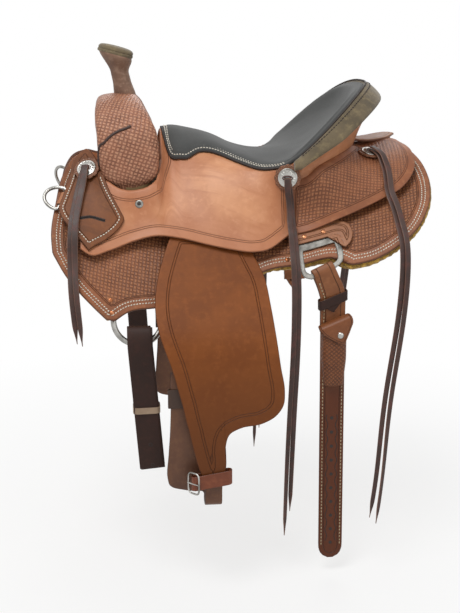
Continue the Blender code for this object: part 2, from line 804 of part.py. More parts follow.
def make_horn():
    core = -HORN_WRAP_THICK - TOUCH_GAP
    loft("horn", horn_rings(core, [HORN_ROOT_LEVEL] + HORN_LEVELS), STEEL)
    outer, inner = horn_rings(0, HORN_LEVELS), horn_rings(-HORN_WRAP_THICK, HORN_LEVELS)
    around, count = 16, len(outer)
    faces = grid_faces(count, around)
    for r in range(count - 1):
        last = r * around + around - 1
        faces.append((last, r * around, last + 1, last + around))
    sheet("horn_wrap", outer, inner, faces, HORN_WRAP)
    tilt = HORN_CAP_TILT
    rings = []
    profile = [(0.90, 0.0), (1.0, 0.0022), (1.0, HORN_CAP_THICK - 0.0030), (0.92, HORN_CAP_THICK)]
    for share, up in profile:
        ring = []
        for turn in np.arange(24) * math.pi / 12:
            u = share * HORN_CAP_LONG / 2 * math.cos(turn)
            v = share * HORN_CAP_WIDE / 2 * math.sin(turn)
            lift = up + TOUCH_GAP
            x = HORN_TOP[0] + u * math.cos(tilt) + lift * math.sin(tilt)
            z = HORN_TOP[2] - u * math.sin(tilt) + lift * math.cos(tilt)
            ring.append((x, v, z))
        rings.append(ring)
    loft("horn_cap", rings, ROUGHOUT)


# Seat

SEAT_ROWS_FRONT = [-0.276, -0.262, -0.240, -0.215, -0.190, -0.168, -0.150, -0.1385, -0.1335]
SEAT_ROWS_MIDDLE = [-0.130, -0.105, -0.075, -0.040, -0.005, 0.030, 0.060, 0.082]
SEAT_ROWS_DISH = [0.103, 0.125, 0.150, 0.175, 0.198, 0.216, 0.228, 0.2365]
INNER_SPLITS = [-1.0, -0.84, -0.62, -0.38, -0.14, 0.14, 0.38, 0.62, 0.84, 1.0]
OUTER_SPLITS = [0.22, 0.44, 0.66, 0.84, 1.0]
JOCKEY_END = 0.095


def seat_skin(depth):
    """The seat and both jockeys as one grid of points, depth below their top face."""
    rows = SEAT_ROWS_FRONT + SEAT_ROWS_MIDDLE + [JOCKEY_END] + SEAT_ROWS_DISH
    out = []
    for x in rows:
        line = []
        across = np.array(OUTER_SPLITS[::-1])
        outer = lifted(seat_outer, np.full(across.shape, x), across, -depth)
        left = outer * np.array([1, -1, 1])
        inner_w = np.array(INNER_SPLITS)
        inner = lifted(seat_inner, np.full(inner_w.shape, x), inner_w, -depth)
        inner[0], inner[-1] = edge_point(x, depth, -1), edge_point(x, depth, 1)
        line = np.concatenate([left, inner, outer[::-1]])
        out.append(line)
    return np.array(out), rows


def edge_point(x, depth, side):
    """The seat's edge, where its inner and outer parts meet, depth below the top face."""
    if x > JOCKEY_END:
        place = lifted(seat_inner, np.array([x]), np.array([0.995]), -depth)[0]
    else:
        place = lifted(seat_outer, np.array([x]), np.array([0.004]), -depth)[0]
    place[1] *= side
    return place


def make_seat():
    top, rows = seat_skin(0.0)
    bottom, _ = seat_skin(SEAT_LEATHER_THICK)
    columns = top.shape[1]
    wing = len(OUTER_SPLITS)
    first_inner = len(SEAT_ROWS_FRONT)
    last_outer = rows.index(JOCKEY_END)

    def keep(r, c):
        inside = wing <= c < columns - 1 - wing
        if inside:
            return r >= first_inner
        return r < last_outer

    faces = grid_faces(len(rows), columns, keep, halves=True)
    sheet("seat_leather", top, bottom, faces, SMOOTH)


PAD_EDGE_THICK = 0.0035
PAD_FLARES_AT = 0.090


def seat_height(x, y):
    """The z of the seat's leather over plan points."""
    x, y = np.asarray(x, float), np.abs(np.asarray(y, float))
    shares = np.linspace(0, 1, 41)
    inner = seat_inner(x[:, None], shares[None, :])
    outer = seat_outer(x[:, None], shares[None, :])
    out = np.empty(len(x))
    for i in range(len(x)):
        line = inner[i]
        if x[i] < RIM_FRONT_X:
            line = np.concatenate([inner[i], outer[i][1:]])
        out[i] = np.interp(y[i], line[:, 1], line[:, 2])
    return out


def make_seat_pad():
    """The padded cover: on the seat's own grid, thin at its edge, out to the edge behind the thighs."""
    rows = SEAT_ROWS_MIDDLE + [JOCKEY_END] + SEAT_ROWS_DISH
    last = len(INNER_SPLITS) - 1
    tops, lows = [], []
    for i, x in enumerate(rows):
        edge = 1 if x > PAD_FLARES_AT else 2
        for skin in (tops, lows):
            line = []
            for c, w in enumerate(INNER_SPLITS):
                thin = i in (0, len(rows) - 1) or c < edge or c > last - edge
                thick = PAD_EDGE_THICK if thin else SEAT_PAD_THICK
                up = LAYER_GAP + (thick if skin is tops else 0.0)
                if c in (0, last):
                    line.append(edge_point(x, -up, -1 if c == 0 else 1))
                else:
                    line.append(lifted(seat_inner, np.array([x]), np.array([w]), up)[0])
            skin.append(line)

    def keep(r, c):
        margin = min(c, last - 1 - c)
        if r == 0:
            return margin > 1
        return margin > 0 or rows[r] > PAD_FLARES_AT

    faces = grid_faces(len(rows), last + 1, keep, halves=True)
    sheet("seat_pad", np.array(tops), np.array(lows), faces, SUEDE)


GROUND_SEAT_END = 0.150


def make_ground_seat():
    depth = SEAT_LEATHER_THICK + LAYER_GAP
    rows = SEAT_ROWS_MIDDLE + [JOCKEY_END] + SEAT_ROWS_DISH
    rows = [x for x in rows if -0.110 < x < GROUND_SEAT_END + 0.001]
    across = [w for w in INNER_SPLITS if abs(w) < 0.9]
    x, w = np.meshgrid(rows, across, indexing="ij")
    top = lifted(seat_inner, x, w, -depth)
    low = lifted(seat_inner, x, w, -depth - GROUND_SEAT_THICK)
    sheet("ground_seat", top, low, grid_faces(len(rows), len(across), halves=True), RAWHIDE)


# The rear jockeys climb from their hem over the bars to the back of the cantle.
# Upper edge: x, out, height. Hem: x, distance down the flank.
REAR_UPPER = [
    (0.0880, 0.1460, 0.0180),
    (0.1100, 0.1570, 0.0300),
    (0.1380, 0.1550, 0.0450),
    (0.1680, 0.1400, 0.0580),
    (0.1940, 0.1080, 0.0660),
    (0.2120, 0.0640, 0.0680),
    (0.2190, 0.0100, 0.0680),
]
REAR_HEM = [
    (0.0880, 0.152),
    (0.1300, 0.148),
    (0.1700, 0.144),
    (0.2160, 0.136),
    (0.2560, 0.128),
    (0.2840, 0.122),
    (0.3060, 0.106),
    (0.3190, 0.084),
    (0.3230, 0.055),
    (0.3190, 0.010),
    (0.3080, -0.022),
]
REAR_JOCKEY_LOW = SAFE_BOTTOM + SAFE_THICK + 5.9 * LAYER_GAP


def rear_surface(k, m):
    """The rear jockey: k runs from the mid string to the centre line, m from the hem up to the cantle."""
    shape = np.broadcast_shapes(np.shape(k), np.shape(m))
    k, m = np.broadcast_to(k, shape).astype(float), np.broadcast_to(m, shape).astype(float)
    upper = along_line(spread(REAR_UPPER, 6), k)
    hem = along_line(spread(REAR_HEM, 6), k)
    high = REAR_JOCKEY_LOW + JOCKEY_THICK
    start = flank(hem[..., 0], hem[..., 1], high)
    reach = np.linalg.norm(upper - start, axis=-1)[..., None]
    down, out = flank_slope(hem[..., 0], hem[..., 1])
    inward = upper - start
    inward = inward - out * (inward * out).sum(-1, keepdims=True)
    inward /= np.maximum(np.linalg.norm(inward, axis=-1, keepdims=True), 1e-9)
    bulge = (0.015 + 0.085 * smooth_step(k, 0.0, 0.25))[..., None]
    first = start + reach * (0.34 * inward + bulge * out)
    toward = np.stack([np.cos(k * math.pi / 2 - 0.4) * 0.25, np.cos(k * math.pi / 2), -0.9 + 0.5 * k], -1)
    toward[..., 0] = 0.9 * np.sin(k * math.pi / 2)
    toward /= np.linalg.norm(toward, axis=-1, keepdims=True)
    second = upper + 0.34 * reach * toward
    free = bezier(start, first, second, upper, m)
    under = SEAT_LEATHER_THICK + 2 * LAYER_GAP
    tucked = lifted(seat_outer, RIM_FRONT_X - 0.004 + 0.24 * k, 1.0 - 0.80 * m, -under)
    mix = smooth_step(k, 0.03, 0.25)[..., None]
    return tucked * (1 - mix) + free * mix


def along_line(line, share):
    """Points at a share of a line's length."""
    steps = np.linalg.norm(np.diff(line, axis=0), axis=1)
    at = np.concatenate([[0], np.cumsum(steps)]) / steps.sum()
    share = np.clip(share, 0, 1)
    return np.stack([np.interp(share, at, line[:, i]) for i in range(line.shape[1])], -1)


def rear_lifted(k, m, h):
    step = 0.004
    base = rear_surface(k, m)
    along = rear_surface(np.clip(k + step, 0, 1), m) - rear_surface(np.clip(k - step, 0, 1), m)
    up = rear_surface(k, np.clip(m + step, 0, 1)) - rear_surface(k, np.clip(m - step, 0, 1))
    normal = np.cross(along, up)
    normal /= np.linalg.norm(normal, axis=-1, keepdims=True)
    normal *= np.sign(normal[..., 1:2] + 2 * normal[..., 2:3] + 1e-12)
    return base + normal * h


def make_rear_jockey(side, word):
    k, m = np.meshgrid(np.linspace(0, 1, 17), np.linspace(0, 1, 7), indexing="ij")
    top = rear_lifted(k, m, 0.0)
    low = rear_lifted(k, m, -JOCKEY_THICK)
    sheet("rear_jockey_" + word, top, low, grid_faces(17, 7), TOOLED, side)


# Cantle: board, back leather and binding

CANTLE_ANGLES = np.radians([-54, -44, -33, -22, -11, 0, 11, 22, 33, 44, 54])
BOARD_ANGLES = np.radians([-32, -24, -16, -8, 0, 8, 16, 24, 32])
BINDING_LEAN = math.radians(42)
CANTLE_FOOT_REACH = 0.098


def rim_out(angle):
    """The plan direction out of the cantle's crest."""
    step = 0.01
    along = rim(angle + step) - rim(angle - step)
    along[..., 2] = 0
    out = np.stack([along[..., 1], -along[..., 0], 0 * along[..., 0]], -1)
    return out / np.linalg.norm(out, axis=-1, keepdims=True)


def cantle_foot(angle):
    """The line where the back of the cantle meets the rear jockeys, as points of REAR_UPPER."""
    line = spread(REAR_UPPER, 6)
    share = 1 - np.abs(angle) / math.radians(76)
    place = along_line(line, share)
    place[..., 1] *= np.sign(angle)
    return place


def held_in(y, way):
    """A distance out that stays within the cantle's foot, on the side that way points to."""
    return math.copysign(min(abs(y), CANTLE_FOOT_REACH), way) if abs(way) > 1e-6 else 0.0


def make_cantle():
    up = np.array([0, 0, 1.0])
    crest, out, foot = rim(BOARD_ANGLES), rim_out(BOARD_ANGLES), cantle_foot(BOARD_ANGLES)
    under = SEAT_LEATHER_THICK + 2 * LAYER_GAP
    rings = []
    for c, o, f in zip(crest, out, foot):
        front = []
        room = min(0.062, (c[0] - GROUND_SEAT_END - 0.012) / o[0])
        for share in (1.0, 0.6, 0.28):
            place = c - o * room * share
            place[2] = float(seat_height(place[:1], place[1:2])[0]) - under / math.cos(0.9)
            front.append(place)
        back_top = c + o * 0.0044 - up * 0.0300
        back_low = f - o * (JOCKEY_THICK + COVER_THICK + 0.0085) - up * 0.002
        back_low[1] = held_in(back_low[1], f[1])
        bottoms = []
        for place in (back_low.copy(), front[0].copy()):
            place[1] = held_in(place[1], f[1])
            over = max(abs(place[1]), SPINE_HALF_GAP)
            place[2] = float(flank_height(place[0], over, BAR_TOP + 3 * LAYER_GAP))
            bottoms.append(place)
        rings.append([bottoms[1], *front, back_top, back_low, bottoms[0]])
    loft("tree_cantle", rings, RAWHIDE, halves=True)

    crest, out, foot = rim(CANTLE_ANGLES), rim_out(CANTLE_ANGLES), cantle_foot(CANTLE_ANGLES)
    top_edge = crest + out * 0.0125 - up * 0.026
    low_edge = foot + up * 0.0045 - out * 0.0052
    skin, under = [], []
    for t, l, o in zip(top_edge, low_edge, out):
        tilt = unit(np.cross(np.cross(t - l, o), t - l))
        skin.append([l, (l * 2 + t) / 3 - o * 0.001, (l + 2 * t) / 3 - o * 0.001, t])
        under.append([p - tilt * COVER_THICK for p in skin[-1]])
    sheet("cantle_back", np.array(skin), np.array(under), grid_faces(len(skin), 4), TOOLED)


def make_binding():
    angles = np.radians(np.linspace(-88, 88, 25))
    up = np.array([0, 0, 1.0])
    rings = []
    for a in angles:
        crest, out = rim(a), rim_out(a)
        fade = 1 - 0.35 * smooth_step(abs(a), math.radians(60), math.radians(88))
        wide = BINDING_WIDE * fade
        lean = unit(out * math.cos(BINDING_LEAN) - up * math.sin(BINDING_LEAN))
        face = unit(out * math.sin(BINDING_LEAN) + up * math.cos(BINDING_LEAN))
        ring = []
        for turn in np.arange(8) * math.pi / 4:
            c, s = math.cos(turn), math.sin(turn)
            ring.append(crest + lean * (wide / 2 + wide / 2 * c) + face * (BINDING_THICK * s - 0.001))
        rings.append(ring)
    loft("cantle_binding", rings, ROUGHOUT)


PLATE_FRONT = 0.2248
PLATE_POINTS = [
    (PLATE_FRONT, 0.030, 1),
    (0.262, 0.033),
    (0.290, 0.026),
    (0.309, 0.0, 1),
    (0.290, -0.026),
    (0.262, -0.033),
    (PLATE_FRONT, -0.030, 1),
]


def make_plate():
    """The small jockey plate that covers the seam behind the cantle."""
    outline = spread(PLATE_POINTS, 3, closed=True)
    points, faces = cut_pattern(outline)

    def over(h):
        y = np.abs(points[:, 1])
        z = flank_height(points[:, 0], np.maximum(y, 0.0), REAR_JOCKEY_LOW + JOCKEY_THICK)
        rise = 0.012 * (1 - smooth_step(points[:, 0], 0.232, 0.280)) + 0.0092
        return np.column_stack([points, z + rise + h])

    sheet("rear_jockey_plate", over(JOCKEY_THICK), over(0.0), faces, SMOOTH)


# Latigo keeper on the near side, and the breast collar dees

KEEPER_POINTS = [
    (-0.262, 0.006),
    (-0.243, 0.020),
    (-0.226, 0.066),
    (-0.199, 0.118, 1),
    (-0.226, 0.168),
    (-0.262, 0.196, 1),
    (-0.290, 0.168),
    (-0.314, 0.130, 1),
    (-0.294, 0.070),
    (-0.279, 0.020),
]
FRONT_LIES_ON = {NEAR: KEEPER_GAP + KEEPER_THICK, OFF: 0.0}
KEEPER_SLIT = [(-0.274, 0.1440), (-0.234, 0.1405), (-0.234, 0.1435), (-0.274, 0.1470)]


def over_jockey(x, s, h):
    """A point h above the jockey, s down the flank from the spine."""
    at = np.clip(x, SEAT_SECTIONS[0][0], RIM_FRONT_X)
    hem = station(HEM_SECTIONS, at, 1)
    edge = 0.050
    return lifted(seat_outer, np.asarray(x, float), (np.asarray(s, float) - edge) / (hem - edge), h)


def make_keeper():
    outline = spread(KEEPER_POINTS, 3, closed=True)
    top = KEEPER_GAP + KEEPER_THICK
    panel(
        "latigo_keeper",
        outline,
        lambda x, s: over_jockey(x, np.maximum(s, 0.052), top) + up_the_edge(s),
        lambda x, s: over_jockey(x, np.maximum(s, 0.052), KEEPER_GAP) + up_the_edge(s),
        TOOLED,
        NEAR,
        holes=[np.array(KEEPER_SLIT)],
    )


def up_the_edge(s):
    """Above the jockey's own edge the leather runs straight on, up and inwards."""
    beyond = np.maximum(0.052 - s, 0)
    return np.stack([0 * beyond, -0.80 * beyond, 0.60 * beyond], -1)


BREAST_BAR_X = -0.306
BREAST_BAR_S = 0.104
BREAST_BAR_LONG = 0.040
BREAST_REACH = 0.028
BREAST_REST = {NEAR: math.radians(0), OFF: math.radians(48)}
CHAPE_LONG = 0.040
CHAPE_WIDE = 0.026
CHAPE_THICK = 0.0026


def breast_frame():
    """Centre, direction and outward direction of the breast dee's straight leg."""
    lift = SKIRT_THICK + LAYER_GAP + CHAPE_THICK + TOUCH_GAP + BREAST_WIRE / 2
    centre = flank(BREAST_BAR_X, BREAST_BAR_S, lift)
    down, out = flank_slope(BREAST_BAR_X, BREAST_BAR_S)
    bar = unit(down * math.cos(math.radians(22)) + np.array([-1, 0, 0]) * math.sin(math.radians(22)))
    reach = unit(np.cross(bar, out))
    if reach[0] > 0:
        reach = -reach
    return centre, bar, reach, out


def make_breast_dee(side, word):
    centre, bar, reach, out = breast_frame()
    rest = BREAST_REST[side]
    reach, out = reach * math.cos(rest) + out * math.sin(rest), out * math.cos(rest) - reach * math.sin(rest)
    half = BREAST_BAR_LONG / 2
    line = [centre - bar * half * t for t in (1, 0.5, 0, -0.5, -1)]
    bow = []
    for turn in np.radians([18, 38, 58, 78, 90, 102, 122, 142, 162]):
        ahead = reach * (0.004 + BREAST_REACH * math.sin(turn))
        bow.append(centre + bar * half * 1.12 * math.cos(turn) + ahead)
    loft("breast_dee_" + word, wire_rings(line + bow, BREAST_WIRE / 2, 8, True), STEEL, side, closed=True)

    centre, bar, reach, out = breast_frame()
    round_bar = BREAST_WIRE / 2 + TOUCH_GAP + CHAPE_THICK / 2
    path = [centre - reach * CHAPE_LONG - out * round_bar, centre - reach * 0.012 - out * round_bar]
    for turn in np.radians([-90, -60, -30, 0, 30, 60, 90]):
        path.append(centre + reach * round_bar * math.cos(turn) + out * round_bar * math.sin(turn))
    path.append(centre - reach * 0.012 + out * round_bar * 0.9)
    path.append(centre - reach * (CHAPE_LONG - 0.004) - out * (round_bar - CHAPE_THICK - TOUCH_GAP))
    ribbon("breast_chape_" + word, path, CHAPE_WIDE, CHAPE_THICK, TOOLED, side, across=bar)


# Fender, stirrup leather and the parts on them

SWING_X = -0.050
FENDER_TANGENT_S = 0.230
FENDER_FLAT_TOP = 0.128
FENDER_SWING_ROOM = 0.0100
FENDER_BEND_START = 0.160
FENDER_BEND_LONG = 0.110
FENDER_HANG_ANGLE = math.radians(87)
FENDER_LOW_Z = -0.537
# Edges of the fender: height z, front x, back x
FENDER_EDGES = [
    (-0.068, -0.118, 0.004),
    (-0.085, -0.126, 0.012),
    (-0.110, -0.136, 0.024),
    (-0.140, -0.146, 0.038),
    (-0.185, -0.152, 0.046),
    (-0.225, -0.146, 0.051),
    (-0.250, -0.138, 0.054),
    (-0.281, -0.127, 0.058),
    (-0.326, -0.115, 0.065),
    (-0.349, -0.109, 0.063),
    (-0.368, -0.105, 0.050),
    (-0.381, -0.102, 0.026),
    (-0.388, -0.100, -0.012),
    (-0.398, -0.098, -0.030),
    (-0.420, -0.093, -0.037),
    (-0.452, -0.085, -0.036),
    (-0.488, -0.072, -0.044),
]


def fender_line():
    """The fender's middle line from the side: flat against the skirt, then bending to hang."""
    tangent_down, tangent_out = flank_slope(SWING_X, FENDER_TANGENT_S)
    touch = flank(SWING_X, FENDER_TANGENT_S, SKIRT_THICK + FENDER_SWING_ROOM + FENDER_THICK)
    slope = math.atan2(-tangent_down[2], tangent_down[1])
    start = touch - tangent_down * (FENDER_TANGENT_S - FENDER_FLAT_TOP)
    line = [start[1:]]
    length = 0.0
    step = 0.010
    while line[-1][1] > FENDER_LOW_Z:
        bend = smooth_step(length, FENDER_BEND_START, FENDER_BEND_START + FENDER_BEND_LONG)
        angle = slope + (FENDER_HANG_ANGLE - slope) * bend
        line.append(line[-1] + step * np.array([math.cos(angle), -math.sin(angle)]))
        length += step
    return np.array(line), slope


def fender_at(z, depth):
    """The y and z of the fender's surface at a height, moved inwards by depth."""
    line, _ = fender_line()
    z = np.asarray(z, float)
    order = line[::-1]
    y = np.interp(z, order[:, 1], order[:, 0])
    slope = np.gradient(line[:, 0], line[:, 1])[::-1]
    lean = np.interp(z, order[:, 1], slope)
    size = np.sqrt(1 + lean**2)
    return y - depth / size, z + depth * lean / size


def make_fender(side, word):
    rows = np.array(FENDER_EDGES)
    z = rows[:, 0]
    columns = 5
    shares = np.linspace(0, 1, columns)
    outer, inner = [], []
    for height, front, back in rows:
        for share in shares:
            x = front + (back - front) * share
            y0, z0 = fender_at(height, 0.0)
            y1, z1 = fender_at(height, FENDER_THICK)
            outer.append((x, y0, z0))
            inner.append((x, y1, z1))
    sheet("fender_" + word, np.array(outer), np.array(inner), grid_faces(len(rows), columns), FENDER, side)


LOOP_RADIUS = 0.0135
TONGUE_WIDE = 0.008
TONGUE_TOP_S = 0.078
TONGUE_LIFT = 0.0017
LEG_TOP_Z = -0.290
LEG_STRAIGHT_Z = -0.440
# Edges of the strap behind the fender and of its inner leg: height z, front x, back x
OUTER_LEG = [
    (-0.078, -0.083, -0.021),
    (-0.110, -0.083, -0.021),
    (-0.140, -0.084, -0.022),
    (-0.185, -0.085, -0.023),
    (-0.225, -0.086, -0.024),
    (-0.250, -0.087, -0.025),
    (-0.281, -0.088, -0.027),
    (-0.326, -0.088, -0.030),
    (-0.381, -0.088, -0.034),
    (-0.452, -0.084, -0.040),
    (-0.500, -0.073, -0.043),
]
LOOP_EDGES = (-0.073, -0.043)
INNER_LEG = [
    (-0.508, -0.104, -0.046),
    (-0.498, -0.132, -0.054),
    (-0.484, -0.136, -0.062),
    (-0.440, -0.134, -0.068),
    (-0.400, -0.131, -0.069),
    (-0.345, -0.129, -0.067),
    (LEG_TOP_Z, -0.129, -0.067),
]


def edged(name, path, lefts, rights, thick, finish, side):
    """A strap along a line seen from the side (y, z), with its own front and back edge at each point."""
    path = np.array(path, float)
    along = np.gradient(path, axis=0)
    along /= np.linalg.norm(along, axis=1)[:, None]
    normal = np.stack([along[:, 1], -along[:, 0]], 1) * thick / 2
    skins = []
    for skin in (path + normal, path - normal):
        left = np.column_stack([lefts, skin])
        right = np.column_stack([rights, skin])
        skins.append(np.stack([left, right], 1))
    sheet(name, skins[0], skins[1], grid_faces(len(path), 2), finish, side)


def tongue_end(share):
    """The tongue at the top of the stirrup leather, up to where it lies on the tree's bar."""
    s = FENDER_FLAT_TOP + (TONGUE_TOP_S - FENDER_FLAT_TOP) * share
    place = flank(SWING_X, s, BAR_TOP + TONGUE_LIFT + STRAP_THICK / 2)
    return float(place[1]), float(place[2])


def outer_leg_y(z):
    y, _ = fender_at(z, FENDER_THICK + TOUCH_GAP + STRAP_THICK / 2)
    return float(y)


def inner_leg_y():
    return outer_leg_y(OUTER_LEG[-1][0]) - 2 * LOOP_RADIUS + 0.006


def make_stirrup_leather(side, word):
    """The strap behind the fender, round the loop for the stirrup and back up as the inner leg."""
    depth = FENDER_THICK + TOUCH_GAP + STRAP_THICK / 2
    path, lefts, rights = [], [], []
    for share in (1.0, 0.85):
        y, z = tongue_end(share)
        path.append((y, z))
        lefts.append(SWING_X - TONGUE_WIDE / 2)
        rights.append(SWING_X + TONGUE_WIDE / 2)
    for z, left, right in OUTER_LEG:
        y, low = fender_at(z, depth)
        path.append((float(y), float(low)))
        lefts.append(left)
        rights.append(right)
    centre = (path[-1][0] - LOOP_RADIUS, path[-1][1] - 0.014)
    for turn in np.radians([0, -35, -70, -110, -145, -180]):
        path.append((centre[0] + LOOP_RADIUS * math.cos(turn), centre[1] + LOOP_RADIUS * math.sin(turn)))
        lefts.append(LOOP_EDGES[0])
        rights.append(LOOP_EDGES[1])
    for z, left, right in INNER_LEG:
        settle = float(smooth_step(-z, -LEG_STRAIGHT_Z, 0.508))
        path.append((inner_leg_y() - 0.006 * settle, z))
        lefts.append(left)
        rights.append(right)
    edged("stirrup_leather_" + word, path, lefts, rights, STRAP_THICK, TOOLED, side)


SLEEVE_LONG = 0.034
SLEEVE_Z = -0.337
SLEEVE_WALL = 0.0016
SLEEVE_FRONT = -0.1320
SLEEVE_BACK = -0.0655


def make_sleeve(side, word):
    """The metal sleeve that locks the stirrup leather's inner leg, and slides along it."""
    y = inner_leg_y()
    deep = STRAP_THICK / 2 + TOUCH_GAP
    outer, inner = [], []
    for z in (SLEEVE_Z + SLEEVE_LONG / 2, SLEEVE_Z - SLEEVE_LONG / 2):
        for u, v in ((-1, -1), (1, -1), (1, 1), (-1, 1)):
            x = SLEEVE_BACK if u > 0 else SLEEVE_FRONT
            outer.append((x + u * SLEEVE_WALL, y + v * (deep + SLEEVE_WALL), z))
            inner.append((x, y + v * deep, z))
    faces = [(k, (k + 1) % 4, 4 + (k + 1) % 4, 4 + k) for k in range(4)]
    sheet("stirrup_sleeve_" + word, np.array(outer), np.array(inner), faces, SMOOTH, side)


HOBBLE_Z = -0.478
BUCKLE_TURN = math.radians(45)
BUCKLE_WIRE = 0.0032
BUCKLE_LONG = 0.024
BUCKLE_TALL = 0.038
BUCKLE_SETS_IN = 0.0085


def make_hobble(side, word):
    """The strap and buckle that hold the fender's tail and the leather's two legs together."""
    out_y, _ = fender_at(HOBBLE_Z, 0.0)
    in_y = outer_leg_y(HOBBLE_Z) - STRAP_THICK / 2
    front, back = -0.092, -0.030
    gap = 0.0012
    thick = 0.0030
    corner = 0.004
    loop = []
    low_y, high_y = in_y - gap, float(out_y) + gap
    box = [(front - gap, low_y), (back + gap, low_y), (back + gap, high_y), (front - gap, high_y)]
    centre = np.mean(box, axis=0)
    for i, (x, y) in enumerate(box):
        before, after = np.array(box[i - 1]), np.array(box[(i + 1) % 4])
        here = np.array([x, y])
        a, b = unit(before - here), unit(after - here)
        loop += [here + a * corner, here + (a + b) * corner * 0.3, here + b * corner]
    loop = np.array(loop)
    away = loop - centre
    away /= np.linalg.norm(away, axis=1)[:, None]
    normals = []
    for i in range(len(loop)):
        t = unit(loop[(i + 1) % len(loop)] - loop[i - 1])
        normals.append(np.array([t[1], -t[0]]))
    normals = np.array(normals)
    normals *= np.sign((normals * away).sum(1))[:, None]
    tilt = 0.16
    outer, inner = [], []
    for z in (HOBBLE_WIDE / 2, 0.0, -HOBBLE_WIDE / 2):
        for p, n in zip(loop, normals):
            q = p + n * thick
            outer.append((q[0], q[1], HOBBLE_Z + z + tilt * (q[0] - centre[0])))
            inner.append((p[0], p[1], HOBBLE_Z + z + tilt * (p[0] - centre[0])))
    count = len(loop)
    faces = []
    for r in range(2):
        for k in range(count):
            m = (k + 1) % count
            faces.append((r * count + k, r * count + m, (r + 1) * count + m, (r + 1) * count + k))
    sheet("hobble_strap_" + word, np.array(outer), np.array(inner), faces, HOBBLE, side)

    facing = np.array([-math.cos(BUCKLE_TURN), math.sin(BUCKLE_TURN), 0.0])
    sideways = np.array([math.sin(BUCKLE_TURN), math.cos(BUCKLE_TURN), 0.0])
    corner_at = np.array([front - gap - thick, high_y + thick, HOBBLE_Z + tilt * (front - centre[0])])
    middle = corner_at + facing * (BUCKLE_WIRE / 2 + TOUCH_GAP - BUCKLE_SETS_IN) - sideways * 0.0015
    corners = np.array([middle + sideways * u * BUCKLE_LONG / 2 + np.array([0, 0, v * BUCKLE_TALL / 2])
                        for u, v in ((-1, -1), (1, -1), (1, 1), (-1, 1))])
    smooth = []
    for i in range(4):
        here, nxt = corners[i], corners[(i + 1) % 4]
        smooth += [here + (nxt - here) * t for t in (0.15, 0.5, 0.85)]
    loft("hobble_buckle_" + word, wire_rings(smooth, BUCKLE_WIRE / 2, 6, True), STEEL, side, closed=True)


# Latigo, off billet and rear billets


def bar_under_ring():
    centre, down, _ = ring_frame()
    return centre + down * (RING_OUTSIDE - RING_WIRE) / 2


def strap_profile(bar, thick, clear, crown, long, short, lean):
    """A folded strap hung over a bar, as two skins: outer line and inner line, in y and z."""
    half = clear + thick
    outer, inner = [], []
    for t in np.linspace(1, 0, 6):
        outer.append((bar[1] + half + lean * t, bar[2] - long * t))
        inner.append((bar[1] + clear + lean * t, bar[2] - long * t))
    for turn in np.radians([25, 50, 75, 105, 130, 155]):
        outer.append((bar[1] + half * math.cos(turn), bar[2] + (crown + thick) * math.sin(turn)))
        inner.append((bar[1] + clear * math.cos(turn), bar[2] + crown * math.sin(turn)))
    for t in np.linspace(0, 1, 6):
        outer.append((bar[1] - half + lean * t, bar[2] - short * t))
        inner.append((bar[1] - clear + lean * t, bar[2] - short * t))
    return np.array(outer), np.array(inner)


def hung_strap(name, bar, profile, top_wide, wide, shift, finish, side):
    outer, inner = profile
    rows_out, rows_in = [], []
    for (oy, oz), (iy, iz) in zip(outer, inner):
        drop = max(0.0, bar[2] - oz)
        half = (top_wide + (wide - top_wide) * float(smooth_step(drop, 0.0, 0.050))) / 2
        x = bar[0] + shift * drop
        rows_out.append([(x - half, oy, oz), (x + half, oy, oz)])
        rows_in.append([(x - half, iy, iz), (x + half, iy, iz)])
    sheet(name, np.array(rows_out), np.array(rows_in), grid_faces(len(rows_out), 2), finish, side)


def make_latigo():
    bar = bar_under_ring()
    bar[0] += 0.002
    thick = LATIGO_BUNDLE / 2 - LATIGO_CLEAR
    profile = strap_profile(bar, thick, LATIGO_CLEAR, LATIGO_CROWN, LATIGO_LONG, LATIGO_LONG - 0.012, -0.006)
    hung_strap("latigo", bar, profile, LATIGO_TOP_WIDE, LATIGO_WIDE, 0.085, LATIGO, NEAR)


def make_off_billet():
    bar = bar_under_ring()
    bar[0] += OFF_BILLET_SHIFT
    short = OFF_BILLET_LONG - 0.020
    fold = (OFF_BILLET_CLEAR, OFF_BILLET_CROWN, OFF_BILLET_LONG, short, 0.006)
    profile = strap_profile(bar, STRAP_THICK, *fold)
    hung_strap("off_billet", bar, profile, OFF_BILLET_TOP_WIDE, OFF_BILLET_WIDE, 0.060, LATIGO, OFF)


def billet_frame():
    """Centre of the dee's lower bar, the way along it, and the ways down and out from it."""
    middle = SKIRT_THICK + LAYER_GAP + DEE_PLATE_THICK / 2
    first, last = [flank(x, s, middle) for x, s in DEE_BAR]
    across = unit(last - first)
    down = np.array([0.0, 0.0, -1.0])
    down = unit(down - across * (down @ across))
    out = np.cross(across, down)
    return (first + last) / 2, across, down, out if out[1] > 0 else -out


BILLET_CLEAR = 0.0082
BILLET_TOP_WIDE = 0.040
PLY_APART = 0.0026
PLIES_MEET = 0.070


